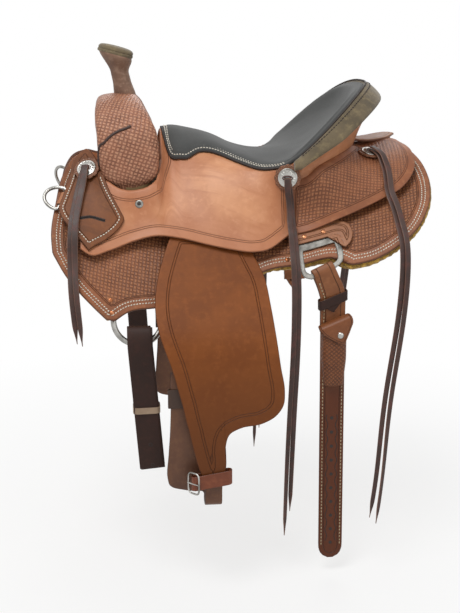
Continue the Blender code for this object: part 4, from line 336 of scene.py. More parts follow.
def seat_outer(x, w):
    """The jockey between the seat's edge (w 0) and its hem (w 1), and on past the hem."""
    x, w = np.broadcast_arrays(np.asarray(x, float), np.asarray(w, float))
    at = np.clip(x, SEAT_SECTIONS[0][0], RIM_FRONT_X)
    edge = np.stack([at, station(SEAT_SECTIONS, at, 2), station(SEAT_SECTIONS, at, 3)], -1)
    angle = np.radians(station(SEAT_SECTIONS, at, 5))
    hem_s, hem_h = station(HEM_SECTIONS, at, 1), station(HEM_SECTIONS, at, 2)
    hem = flank(at, hem_s, hem_h)
    down, _ = flank_slope(at, hem_s)
    long = np.linalg.norm(hem - edge, axis=-1)[..., None]
    leave = np.stack([0 * at, np.cos(angle), -np.sin(angle)], -1)
    inside = bezier(edge, edge + 0.36 * long * leave, hem - 0.42 * long * down, hem, np.clip(w, 0, 1))
    beyond = flank(at, hem_s + (w - 1) * long[..., 0], hem_h)
    place = np.where((w > 1)[..., None], beyond, inside)
    place[..., 0] = x
    return place


def lifted(surface, a, b, h):
    """A surface of two values, moved h along its own normal, away from the horse."""
    step = 0.0008
    base = surface(a, b)
    normal = np.cross(surface(a + step, b) - surface(a - step, b), surface(a, b + step) - surface(a, b - step))
    normal = unit(normal)
    outward = np.stack([0 * base[..., 0], base[..., 1], base[..., 2] + 0.5], -1)
    normal = normal * np.sign((normal * outward).sum(-1, keepdims=True) + 1e-12)
    return base + normal * (np.asarray(h)[..., None] if np.ndim(h) else h)


def over_jockey(x, s, h):
    """A point h above the front jockey, s down from the spine; above its edge it runs straight on, up and in."""
    x, s = np.asarray(x, float), np.asarray(s, float)
    at = np.clip(x, SEAT_SECTIONS[0][0], RIM_FRONT_X)
    hem = station(HEM_SECTIONS, at, 1)
    beyond = np.maximum(0.052 - s, 0)
    on = lifted(seat_outer, x, (np.maximum(s, 0.052) - 0.05) / (hem - 0.05), h)
    return on + np.stack([0 * beyond, -0.8 * beyond, 0.6 * beyond], -1)


# The rear jockeys. Upper edge: x, out, height. Hem: x, distance down the flank.
REAR_UPPER = [
    (0.088, 0.146, 0.018), (0.11, 0.157, 0.03), (0.138, 0.155, 0.045), (0.168, 0.14, 0.058),
    (0.194, 0.108, 0.066), (0.212, 0.064, 0.068), (0.219, 0.01, 0.068),
]
REAR_HEM = [
    (0.088, 0.152), (0.13, 0.148), (0.17, 0.144), (0.216, 0.136), (0.256, 0.128), (0.284, 0.122),
    (0.306, 0.106), (0.319, 0.084), (0.323, 0.055), (0.319, 0.01), (0.308, -0.022),
]
SAFE_LOW = SKIRT_THICK + LAYER + DEE_THICK + LAYER
REAR_JOCKEY_LOW = SAFE_LOW + SAFE_THICK + 5.9 * LAYER


def rear_surface(k, m):
    """The rear jockey: k runs from the mid concho to the centre line, m from the hem up to the cantle."""
    shape = np.broadcast_shapes(np.shape(k), np.shape(m))
    k, m = np.broadcast_to(k, shape).astype(float), np.broadcast_to(m, shape).astype(float)
    upper, hem = along_line(spread(REAR_UPPER, 6), k), along_line(spread(REAR_HEM, 6), k)
    start = flank(hem[..., 0], hem[..., 1], REAR_JOCKEY_LOW + JOCKEY_THICK)
    reach = np.linalg.norm(upper - start, axis=-1)[..., None]
    _, out = flank_slope(hem[..., 0], hem[..., 1])
    inward = upper - start
    inward = unit(inward - out * (inward * out).sum(-1, keepdims=True))
    bulge = (0.015 + 0.085 * smooth_step(k, 0.0, 0.25))[..., None]
    first = start + reach * (0.34 * inward + bulge * out)
    toward = unit(np.stack([0.9 * np.sin(k * math.pi / 2), np.cos(k * math.pi / 2), -0.9 + 0.5 * k], -1))
    free = bezier(start, first, upper + 0.34 * reach * toward, upper, m)
    under = SEAT_THICK + 2 * LAYER
    tucked = lifted(seat_outer, RIM_FRONT_X - 0.004 + 0.24 * k, 1.0 - 0.8 * m, -under)
    mix = smooth_step(k, 0.03, 0.25)[..., None]
    return tucked * (1 - mix) + free * mix


def rear_lifted(k, m, h):
    """The rear jockey's surface moved h along its normal."""
    step = 0.004
    base = rear_surface(k, m)
    along = rear_surface(np.clip(k + step, 0, 1), m) - rear_surface(np.clip(k - step, 0, 1), m)
    up = rear_surface(k, np.clip(m + step, 0, 1)) - rear_surface(k, np.clip(m - step, 0, 1))
    normal = unit(np.cross(along, up))
    normal = normal * np.sign(normal[..., 1:2] + 2 * normal[..., 2:3] + 1e-12)
    return base + normal * h


# The fork and the horn. Fork: distance out, height, front x, back x
FORK_SECTIONS = [
    (0.115, 0.004, -0.216, -0.156), (0.1215, 0.02, -0.234, -0.141), (0.124, 0.048, -0.241, -0.136),
    (0.1225, 0.078, -0.243, -0.136), (0.115, 0.106, -0.244, -0.14), (0.098, 0.13, -0.246, -0.15),
    (0.072, 0.148, -0.246, -0.158), (0.037, 0.158, -0.244, -0.165), (0.0, 0.161, -0.243, -0.168),
]
HORN_TOP, HORN_HEIGHT, HORN_ROOT_X, HORN_TILT = (-0.208, 0.0, 0.229), 0.072, -0.1915, math.radians(14.5)
HORN_NECK_LONG, HORN_NECK_WIDE, HORN_CAP_LONG, HORN_CAP_WIDE = 0.033, 0.036, 0.064, 0.062
# How square the fork's wall is in section: the power of its cosines and sines
FORK_SQUARE = 0.45


def fork_ring_at(line, i, depth, turns):
    """One ring of the fork's arch: a rounded box across its wall, depth inside its face."""
    y, z, front, back = line[i]
    before, after = line[max(i - 1, 0)], line[min(i + 1, len(line) - 1)]
    along = unit([after[0] - before[0], after[1] - before[1]])
    inward = np.array([along[1], -along[0]])
    inward = -inward if inward @ np.array([-y, 0.06 - z]) < 0 else inward
    share = abs(y) / FORK_SECTIONS[0][0]
    wall = FORK_CROWN + (FORK_WALL - FORK_CROWN) * min(1.0, share * 1.1)
    middle, half = (front + back) / 2, (back - front) / 2 - depth
    u, v = boxed(turns, FORK_SQUARE)
    down = depth + (wall - 2 * depth) * (1 - v) / 2
    slide = 5 * MM * (1 - share) * np.maximum(0.0, -u) * (1 + v) / 2
    return np.stack([middle + half * u, y + inward[0] * down, z + inward[1] * down - slide], -1)


def horn_place(t, u, v, grow):
    """A point of the horn's neck at height share t, u and v from its middle, grow outside it."""
    flare = 0.0135 * smooth_step(t, 0.55, 1.0) + 0.003 * (1 - smooth_step(t, 0.0, 0.35))
    tilt = HORN_TILT * smooth_step(t, 0.2, 1.0)
    long, wide = HORN_NECK_LONG / 2 + flare + grow, HORN_NECK_WIDE / 2 + flare + grow
    x = HORN_ROOT_X + (HORN_TOP[0] - HORN_ROOT_X) * t + long * u * np.cos(tilt)
    z = HORN_TOP[2] - HORN_HEIGHT * (1 - t) - long * u * np.sin(tilt)
    return np.stack(np.broadcast_arrays(x, wide * v, z), -1)


# The rigging, straps and fender of the solids


def ring_frame():
    """Centre, downward and outward direction of the rigging ring."""
    radius = float(flank_frame(RING_X)[0])
    sag = (RING_OUTSIDE / 2) ** 2 / (2 * radius)
    centre = flank(RING_X, RING_S, -(RING_WIRE / 2 + LAYER + sag))
    down, out = flank_slope(RING_X, RING_S)
    return centre, down, out


BREAST_X, BREAST_S, CHAPE_THICK = -0.306, 0.104, 2.6 * MM


def breast_frame():
    """Centre, direction, reach and outward direction of the breast dee's straight leg."""
    centre = flank(BREAST_X, BREAST_S, SKIRT_THICK + LAYER + CHAPE_THICK + TOUCH + BREAST_WIRE / 2)
    down, out = flank_slope(BREAST_X, BREAST_S)
    lean = math.radians(22)
    bar = unit(down * math.cos(lean) + np.array([-1, 0, 0]) * math.sin(lean))
    reach = unit(np.cross(bar, out))
    return centre, bar, reach if reach[0] < 0 else -reach, out


# Where the fenders swing, and down the flank where the stirrup leather and the fender start and the fender leaves it
SWING_X, LEATHER_TOP_S, FENDER_TOP_S, FENDER_LEAVES_S = -0.05, 0.078, 0.128, 0.23


def fender_line():
    """The fender's middle line from the side: flat against the skirt, then bending to hang."""
    down, _ = flank_slope(SWING_X, FENDER_LEAVES_S)
    touch = flank(SWING_X, FENDER_LEAVES_S, SKIRT_THICK + 10 * MM + FENDER_THICK)
    slope = math.atan2(-down[2], down[1])
    line = [(touch - down * (FENDER_LEAVES_S - FENDER_TOP_S))[1:]]
    length = 0.0
    while line[-1][1] > -0.537:
        angle = slope + (math.radians(87) - slope) * float(smooth_step(length, 0.16, 0.27))
        line.append(line[-1] + 0.01 * np.array([math.cos(angle), -math.sin(angle)]))
        length += 0.01
    return np.array(line)


FENDER_LINE = fender_line()


def fender_at(z, depth):
    """The y and z of the fender's surface at a height, moved inwards by depth."""
    order = FENDER_LINE[::-1]
    y = np.interp(z, order[:, 1], order[:, 0])
    lean = np.interp(z, order[:, 1], np.gradient(FENDER_LINE[:, 0], FENDER_LINE[:, 1])[::-1])
    size = np.sqrt(1 + lean**2)
    return y - depth / size, z + depth * lean / size


def over_fender(x, z, h):
    """A point h outside the fender's face, at x and height z."""
    y, low = fender_at(z, -np.asarray(h, float))
    return np.stack(np.broadcast_arrays(x, y, low), -1)


def billet_frame():
    """Centre of the rear dee's lower bar, the way along it, and the ways down and out from it."""
    middle = SKIRT_THICK + LAYER + DEE_THICK / 2
    first, last = flank(0.118, 0.234, middle), flank(0.1615, 0.222, middle)
    across = unit(last - first)
    down = np.array([0.0, 0.0, -1.0])
    down = unit(down - across * (down @ across))
    out = np.cross(across, down)
    return (first + last) / 2, across, down, out if out[1] > 0 else -out


BILLET_CLEAR, BILLET_TOP_WIDE, BILLET_WIDE, PLY_APART = 0.0082, 0.04, 0.044, 0.0026


def ply_out(drop):
    """How far a billet's ply lies from the middle: the bar's clearance, eased down to the plies' own distance."""
    return BILLET_CLEAR - (BILLET_CLEAR - PLY_APART) * smooth_step(drop, 0.012, 0.07)


def billet_place(drop):
    """The billet's middle: square to the bar at first, then turning to hang plumb."""
    centre, _, down, _ = billet_frame()
    drop = np.asarray(drop, float)
    slide = down * (drop / -down[2])[..., None]
    share = np.minimum(1.0, 0.04 / np.maximum(drop, 1e-6))
    y = centre[1] + slide[..., 1] * share
    return np.stack([centre[0] + slide[..., 0] * share + 0.01 * drop, y, centre[2] - drop], -1)


def billet_across(drop):
    """The way across the billet: along the dee's bar at first, easing round to the horse's length."""
    turn = smooth_step(drop, 0.02, 0.16)[..., None]
    return unit(billet_frame()[1] * (1 - turn) + BACKWARD * turn)


def sheath_back_y():
    """The y of the sheath's back: the billet's outer face and a gap."""
    return float(billet_place(0.2)[1]) + PLY_APART + STRAP_THICK / 2 + LAYER


def sheath_x(z):
    """The x of the sheath's middle at height z: the billet's own, 1 mm further back."""
    return float(billet_place(float(billet_frame()[0][2]) - z)[0]) + 0.001


def resting(points, lift):
    """Where a flat disc lies on a patch of leather: its centre and the way it faces."""
    points = np.asarray(points, float)
    normal = np.linalg.svd(points - points.mean(0))[2][2]
    normal = -normal if normal @ np.array([0.0, 1.0, 0.6]) < 0 else normal
    rise = ((points - points[0]) @ normal).max()
    return points[0] + normal * (rise + lift), normal


def patch(place, a, b):
    """The middle of a patch of leather and points all round it, one rosette's radius away."""
    middle = place(a, b)
    step = 0.002
    da, db = (place(a + step, b) - middle) / step, (place(a, b + step) - middle) / step
    first = unit(da)
    second = unit(db - first * (first @ db))
    points = [middle]
    for radius in (ROSETTE_ACROSS * 0.54, ROSETTE_ACROSS * 0.324):
        for turn in all_round(16):
            wanted = radius * (math.cos(turn) * first + math.sin(turn) * second)
            share = np.linalg.lstsq(np.stack([da, db], 1), wanted, rcond=None)[0]
            points.append(place(a + share[0], b + share[1]))
    return points


FRONT_LIES_ON = {NEAR: KEEPER_GAP + KEEPER_THICK, OFF: 0.0}


def concho_seats(side):
    """Each concho's centre and facing, by place."""

    def on_front(x, s):
        """A point of the front jockey's cover at x, s."""
        return over_jockey(np.array([x]), np.array([s]), FRONT_LIES_ON[side])[0]

    def on_jockey(x, w):
        """A point of the jockey at x, w."""
        return seat_outer(np.array([x]), np.array([w]))[0]

    def on_rear(k, m):
        """A point of the rear jockey at k, m."""
        return rear_surface(np.array([k]), np.array([m]))[0]

    return {
        "front": resting(patch(on_front, -0.26, 0.06), 1.2 * MM if side == NEAR else 0.4 * MM),
        "mid": resting(patch(on_jockey, 0.0845, 0.145), 1.3 * MM),
        "rear": resting(patch(on_rear, 0.71, 0.66), 0.2 * MM),
    }


# Making meshes: a shape holds points, faces, a UV for each face corner and marks for each point


def faces_of(rows, columns, wrap=False):
    """The corner numbers of a grid's quads; wrap joins the last column to the first."""
    a, b = np.arange(rows - 1)[:, None], np.arange(columns if wrap else columns - 1)[None, :]
    near, far = b + 0 * a, (b + 1) % columns + 0 * a
    return np.stack([a * columns + near, a * columns + far, (a + 1) * columns + far, (a + 1) * columns + near], -1)


def grid(points, wrap=False, caps=False, **marks):
    """A shape over a grid of points, its UV the lengths along and across it, ends fanned where caps says."""
    points = np.asarray(points, float)
    rows, columns = points.shape[:2]
    f = faces_of(rows, columns, wrap)
    closed = np.concatenate([points, points[:, :1]], 1) if wrap else points
    across = np.linalg.norm(np.diff(closed, axis=1), axis=2).mean(0)
    along = np.linalg.norm(np.diff(points, axis=0), axis=2).mean(1)
    u, v = np.concatenate([[0], np.cumsum(across)]), np.concatenate([[0], np.cumsum(along)])
    uv = np.stack(np.broadcast_arrays(u[None, :], v[:, None]), -1)
    a, b = np.arange(f.shape[0])[:, None], np.arange(f.shape[1])[None, :]
    corner = np.stack([uv[a, b], uv[a, b + 1], uv[a + 1, b + 1], uv[a + 1, b]], 2)
    out = {"v": points.reshape(-1, 3), "f": [(f.reshape(-1, 4), corner.reshape(-1, 4, 2))], "marks": {}}
    for name, value in marks.items():
        out["marks"][name] = np.broadcast_to(value, points.shape[:2]).reshape(-1)
    if caps:
        loop = np.arange(columns)
        ends = [loop[::-1][None], (loop + (rows - 1) * columns)[None]]
        out["f"] += [(end, np.zeros((1, columns, 2)) + uv[0, 0]) for end in ends]
    return out


def together(*shapes):
    """Several shapes as one."""
    out = {"v": np.concatenate([s["v"] for s in shapes]), "f": [], "marks": {}}
    start = 0
    for s in shapes:
        out["f"] += [(f + start, uv) for f, uv in s["f"]]
        start += len(s["v"])
    for name in {key for s in shapes for key in s["marks"]}:
        parts = [s["marks"].get(name, np.zeros(len(s["v"]))) for s in shapes]
        out["marks"][name] = np.concatenate(parts)
    return out


def to_rim(points, rim_lines):
    """Each point's distance to the nearest of the straight pieces of a rim, for 1500 points at a time."""
    chunk = 1500
    a, b = rim_lines[:, 0], rim_lines[:, 1]
    d = b - a
    size = np.maximum((d * d).sum(1), 1e-18)
    out = np.empty(len(points))
    for at in range(0, len(points), chunk):
        p = points[at : at + chunk]
        t = np.clip(((p[:, None] * d).sum(2) - (a * d).sum(1)) / size, 0, 1)
        out[at : at + chunk] = np.sqrt((((p[:, None] - a) - t[..., None] * d) ** 2).sum(2).min(1))
    return out


def hide(place, a, b, thick, uv, keep=None, wrap=False, soft=None, swell=None):
    """Leather of a thickness over a grid: place(a, b, h) is its face lifted h, and its edge is rounded.

    The edge rounds as a quarter of an ellipse over the soft width; both faces meet at mid thickness there.
    """
    rows, columns = a.shape
    f = faces_of(rows, columns, wrap)
    f = f.reshape(-1, 4) if keep is None else f[keep]
    middle = place(a, b, 0 * a - thick / 2).reshape(-1, 3)
    pairs = np.sort(np.concatenate([f[:, [i, (i + 1) % 4]] for i in range(4)]), axis=1)
    edges, counts = np.unique(pairs, axis=0, return_counts=True)
    rim_lines = middle[edges[counts == 1]]
    rim_lines = rim_lines[np.linalg.norm(rim_lines[:, 0] - rim_lines[:, 1], axis=1) > 1e-6]
    inset = to_rim(middle, rim_lines)
    soft = soft or thick * 0.45
    share = np.clip(1 - inset / soft, 0, 1)
    share = np.where(inset < 0.02 * MM, 1.0, share)
    drop = (thick / 2 * (1 - np.sqrt(np.maximum(0, 1 - share**2)))).reshape(rows, columns)
    more = 0 if swell is None else swell(a, b, inset.reshape(rows, columns))
    top, low = place(a, b, more - drop), place(a, b, drop - thick)
    if wrap:
        uv = np.concatenate([uv, uv[:, :1] + (uv[:, -1:] - uv[:, :1]) * columns / max(columns - 1, 1)], 1)
    wide = uv.shape[1]
    r, c = f[:, 0] // columns, f[:, 0] % columns
    at = r * wide + c
    flat = uv.reshape(-1, 2)
    corner = np.stack([flat[at], flat[at + 1], flat[at + wide + 1], flat[at + wide]], 1)
    count = rows * columns
    return {
        "v": np.concatenate([top.reshape(-1, 3), low.reshape(-1, 3)]),
        "f": [(f, corner), (f[:, ::-1] + count, corner[:, ::-1])],
        "marks": {"inset": np.concatenate([inset, inset])},
    }


def piece(name, form, finish, body, side=OFF, slot=None, crease=42):
    """A mesh object from a shape, put on a side, closed and turned outwards, riding on its body.

    With a slot it stands for the node that has its name.
    """
    place = np.array(form["v"], float)
    place[:, 1] *= side
    mesh = bpy.data.meshes.new(name)
    faces = form["f"]
    starts, total = [], 0
    for f, _ in faces:
        starts.append(total + np.arange(len(f)) * f.shape[1])
        total += f.size
    mesh.vertices.add(len(place))
    mesh.vertices.foreach_set("co", place.ravel())
    mesh.loops.add(total)
    mesh.loops.foreach_set("vertex_index", np.concatenate([f.ravel() for f, _ in faces]).astype(np.int32))
    mesh.polygons.add(sum(len(f) for f, _ in faces))
    mesh.polygons.foreach_set("loop_start", np.concatenate(starts).astype(np.int32))
    mesh.update(calc_edges=True)
    layer = mesh.uv_layers.new(name="plan")
    layer.data.foreach_set("uv", np.concatenate([uv.reshape(-1, 2) for _, uv in faces]).astype(np.float32).ravel())
    for key, value in form["marks"].items():
        mark = mesh.attributes.new(key, "FLOAT", "POINT")
        mark.data.foreach_set("value", np.asarray(value, np.float32))
    turned = bmesh.new()
    turned.from_mesh(mesh)
    bmesh.ops.remove_doubles(turned, verts=turned.verts, dist=0.02 * MM)
    spare = [v for v in turned.verts if not v.link_faces]
    bmesh.ops.delete(turned, geom=spare, context="VERTS")
    bmesh.ops.recalc_face_normals(turned, faces=turned.faces)
    turned.to_mesh(mesh)
    turned.free()
    mesh.shade_smooth()
    mesh.set_sharp_from_angle(angle=math.radians(crease))
    made = bpy.data.objects.new(name, mesh)
    bpy.context.scene.collection.objects.link(made)
    mesh.materials.append(finish)
    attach(made, body)
    if slot:
        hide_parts(name)
    return made


# Makers


def polar(outline, centre, pitch, step):
    """Rays from a closed outline to a centre: the plan points of each ring.

    A ray's point is outline + (centre - outline) * share; the first rings are at set distances inside the edge.
    """
    line = even(outline, step, closed=True)
    to = np.asarray(centre, float) - line
    far = np.linalg.norm(to, axis=1)
    slant = np.maximum((unit(to) * inward(line)).sum(1), 0.4)
    first = [d * MM for d in (0, 0.12, 0.45, 1.0, 1.7, 2.6, 4, 5.5, 7, 8.5, 10, 11.5, 13, 16, 20)]
    rest = max(2, int(round(far.mean() / pitch)))
    shares = [np.minimum(d / slant / far, 0.02 * i) for i, d in enumerate(first)]
    last = shares[-1]
    shares += [last + (1 - last) * (k + 1) / rest for k in range(rest)]
    shares = np.stack(shares)[..., None]
    return line[None] + to[None] * shares


def cut(outline, centre, lay, thick, pitch=9 * MM, step=5 * MM, soft=None):
    """A pattern piece cut to an outline and laid on a surface: lay(x, s, h)."""
    plan = polar(outline, centre, pitch, step)
    return hide(lay, plan[..., 0], plan[..., 1], thick, plan, wrap=True, soft=soft)


def strap(path, facing, wide, thick, across=11, step=6 * MM, closed=False):
    """A strap of leather along a path: facing is its outer side's direction, wide its width at each point.

    A point is path(t) + sideways(t) * wide(t) / 2 * w + facing(t) * h, with w from -1 to 1.
    """
    path, facing = np.asarray(path, float), np.broadcast_to(np.asarray(facing, float), np.shape(path))
    wide = np.broadcast_to(np.asarray(wide, float), len(path))
    if closed:
        path, facing = np.concatenate([path, path[:1]]), np.concatenate([facing, facing[:1]])
        wide = np.append(wide, wide[0])
    at = lengths(path)
    t = np.linspace(0, at[-1], max(3, int(at[-1] / step)) + 1)
    if not closed:
        fine = np.array([0.2, 0.8, 1.8]) * MM
        t = np.concatenate([[0], fine, t[1:-1], at[-1] - fine[::-1], [at[-1]]])
    line, out, half = read_at(t, at, path), unit(read_at(t, at, facing)), np.interp(t, at, wide) / 2
    along = np.gradient(line, t, axis=0)
    if closed:
        along[0] = along[-1] = unit(along[0] + along[-1])
    side = unit(np.cross(unit(along), out))
    out = np.cross(side, unit(along))
    edge = np.array([0, 0.2, 0.8, 1.8]) * MM / max(half.mean(), 1e-4)
    w = np.concatenate([-1 + edge, np.linspace(-1 + edge[-1], 1 - edge[-1], across)[1:-1], 1 - edge[::-1]])

    def place(a, b, h):
        """The point b across the strap at the length a along it, h off its outer side."""
        i = np.clip(np.searchsorted(t, a), 0, len(t) - 1)
        lift = np.asarray(h, float) + thick
        return line[i] + side[i] * (b * half[i])[..., None] + out[i] * lift[..., None]

    a, b = np.meshgrid(t, w, indexing="ij")
    uv = np.stack([b * half[:, None], a], -1)
    if closed:
        a, b, uv = a[:-1].T, b[:-1].T, np.swapaxes(uv[:-1], 0, 1)
    return hide(place, a, b, thick, uv, wrap=closed)


def tube(line, radius, around=12, closed=False, squash=1.0):
    """A round bar along a line, carried without twist; squash flattens it across."""
    line = np.asarray(line, float)
    along = unit(np.roll(line, -1, 0) - np.roll(line, 1, 0)) if closed else unit(np.gradient(line, axis=0))
    normal = np.empty_like(line)
    seed = UP if abs(along[0][2]) < 0.9 else BACKWARD
    last = unit(np.cross(along[0], seed))
    for i, d in enumerate(along):
        last = unit(last - d * (last @ d))
        normal[i] = last
    other = np.cross(along, normal)
    turn = all_round(around)
    radius = np.broadcast_to(np.asarray(radius, float), len(line))[:, None, None]
    ring = np.cos(turn)[None, :, None] * normal[:, None] + squash * np.sin(turn)[None, :, None] * other[:, None]
    points = line[:, None] + radius * ring
    if closed:
        points = np.concatenate([points, points[:1]])
    return grid(points, wrap=True, caps=not closed)


def rope(line, radius, swell, pitch):
    """A lacing along a line: a bar whose radius is radius * (1 + swell * sin(2 pi length / pitch))."""
    return tube(line, radius * (1 + swell * np.sin(lengths(line) * 2 * math.pi / pitch)), 8)


def turned(profile, centre, normal, around=48, wave=None):
    """A turned shape: profile rows of radius and height spun about a normal; wave(turn, radius) adds height."""
    centre, normal = np.asarray(centre, float), unit(normal)
    u, v = crosswise(normal)
    turn = all_round(around)
    rows = np.asarray(profile, float)
    radius, height = rows[:, :1] + 0 * turn, rows[:, 1:2] + 0 * turn
    if wave is not None:
        radius, height = wave(turn[None], radius, height)
    circle = np.cos(turn)[:, None] * u + np.sin(turn)[:, None] * v
    points = centre + radius[..., None] * circle[None] + height[..., None] * normal
    return grid(points, wrap=True, caps=True)


# A stitch's rings, as shares of its length and width, and the share of the pitch that it covers
STITCH_RINGS = [(-0.5, 0.35), (-0.42, 0.8), (-0.2, 1.0), (0.2, 1.0), (0.42, 0.8), (0.5, 0.35)]
STITCH_SHARE = 0.68


def stitches(line, facing, pitch, thick, lean=0.0):
    """A row of thread stitches: short round-ended bars set every pitch along a line, each half sunk."""
    line = np.asarray(line, float)
    facing = np.broadcast_to(np.asarray(facing, float), line.shape)
    at = lengths(line)
    t = np.arange(pitch / 2, at[-1], pitch)
    centre, out = read_at(t, at, line), unit(read_at(t, at, facing))
    ahead, behind = np.minimum(t + pitch / 3, at[-1]), np.maximum(t - pitch / 3, 0)
    along = unit(read_at(ahead, at, line) - read_at(behind, at, line))
    side = unit(np.cross(along, out))
    if lean:
        along = unit(along + lean * side)
        side = unit(np.cross(along, out))
    turn = np.arange(6) * math.pi / 3
    rows = np.array(STITCH_RINGS)
    length, size = rows[:, 0] * pitch * STITCH_SHARE, rows[:, 1] * thick / 2
    sag = -np.abs(rows[:, 0]) ** 2 * thick
    template = (
        length[:, None, None, None] * along[None, None]
        + (size[:, None] * np.cos(turn))[..., None, None] * side[None, None]
        + (size[:, None] * np.sin(turn) + sag[:, None] + thick * 0.12)[..., None, None] * out[None, None]
    )
    points = np.moveaxis(centre[None, None] + template, 2, 0)
    rings, around = len(rows), len(turn)
    one = faces_of(rings, around, True).reshape(-1, 4)
    start = np.arange(len(t))[:, None, None] * rings * around
    f = (one[None] + start).reshape(-1, 4)
    ends = np.stack([np.arange(around)[::-1], np.arange(around) + (rings - 1) * around])
    e = (ends[None] + start).reshape(-1, around)
    zero = np.zeros
    return {
        "v": points.reshape(-1, 3),
        "f": [(f, zero((*f.shape, 2))), (e, zero((*e.shape, 2)))],
        "marks": {},
    }


def round_strap(ring, pitch, z, tilt, middle, wide, thick):
    """A closed strap round a plan ring, at height z + tilt * (x - middle), facing out of it."""
    ring = even(ring, pitch, closed=True)
    way = unit(np.roll(ring, -1, 0) - np.roll(ring, 1, 0))
    out = np.stack([way[:, 1], -way[:, 0], 0 * way[:, 0]], 1)
    path = np.column_stack([ring, z + tilt * (ring[:, 0] - middle)])
    return strap(path, out, wide, thick, closed=True, step=3 * MM)


def laid(lay, plan, h):
    """A line of plan points laid on a surface, with the surface's outward direction at each."""
    a, b = plan[:, 0], plan[:, 1]
    base = lay(a, b, 0 * a + h)
    return base, unit(lay(a, b, 0 * a + h + 1 * MM) - base)


def inside(outline, by, step=4 * MM):
    """A closed outline moved inwards, evenly stepped; points that would cross are dropped."""
    line = even(outline, step, closed=True)
    moved = line + inward(line) * by
    closed = np.concatenate([line, line[:1]])
    pairs = np.stack([closed[:-1], closed[1:]], 1)
    return moved[to_rim(moved, pairs) > by * 0.93]


# Finishes


def hexed(code):
    """An sRGB hex colour as linear RGBA."""
    parts = np.array([int(code[i : i + 2], 16) / 255 for i in (0, 2, 4)])
    linear = np.where(parts <= 0.04045, parts / 12.92, ((parts + 0.055) / 1.055) ** 2.4)
    return (*linear, 1.0)


def add(tree, kind, *values, out=0, **settings):
    """Adds a node with its settings, fills its sockets in order with values or links and gives one output."""
    made = tree.nodes.new("ShaderNode" + kind)
    for key, value in settings.items():
        setattr(made, key, value)
    for socket, value in zip(made.inputs, values):
        if isinstance(value, bpy.types.NodeSocket):
            tree.links.new(value, socket)
        elif value is not None:
            socket.default_value = value
    return made.outputs[out]


# A map range node eased at both ends
SMOOTH = {"interpolation_type": "SMOOTHSTEP"}


def new_finish(name):
    """An empty finish: the material, its node tree, and the place a point of the object has."""
    made = bpy.data.materials.new(name)
    made.use_nodes = True
    return made, made.node_tree, add(made.node_tree, "TexCoord", out="Object")


def finished(made, colour, height=None, strength=1.0, deep=MM, **plain):
    """Joins a finish's colour and its bump, height * deep, to its shader; plain values name its other sockets."""
    tree = made.node_tree
    sockets = tree.nodes["Principled BSDF"].inputs
    plain["Base Color"] = colour
    if height is not None:
        plain["Normal"] = add(tree, "Bump", strength, deep, None, height)
    for name, value in plain.items():
        socket = sockets[name.replace("_", " ")]
        if isinstance(value, bpy.types.NodeSocket):
            tree.links.new(value, socket)
        else:
            socket.default_value = value
    return made


def weave_stamp(tree, plan, cell, turn):
    """The height of basket stamping: square cells, turn about, each a cushioned strand set crosswise to the next.

    In a cell with p and q from 0 to 1 the height is (1 - |2q - 1|^1.5) * (1 - |2p - 1|^5); odd cells swap p and q.
    """
    place = add(tree, "Mapping", plan, (0, 0, 0), (0, 0, turn), (1 / cell, 1 / cell, 1))
    apart = [add(tree, "SeparateXYZ", place, out=axis) for axis in (0, 1)]
    p, q = [add(tree, "Math", value, operation="FRACT") for value in apart]
    cells = [add(tree, "Math", value, operation="FLOOR") for value in apart]
    odd = add(tree, "Math", add(tree, "Math", *cells, operation="ADD"), 2.0, operation="FLOORED_MODULO")
    swap = add(tree, "Math", add(tree, "Math", q, p, operation="SUBTRACT"), odd, operation="MULTIPLY")
    rises = []
    for value, way, power in ((q, "SUBTRACT", 1.5), (p, "ADD", 5.0)):
        value = add(tree, "Math", value, swap, operation=way)
        edge = add(tree, "Math", add(tree, "Math", value, 2.0, -1.0, operation="MULTIPLY_ADD"), operation="ABSOLUTE")
        edge = add(tree, "Math", edge, power, operation="POWER")
        rises.append(add(tree, "Math", 1.0, edge, operation="SUBTRACT"))
    return add(tree, "Math", *rises, operation="MULTIPLY")


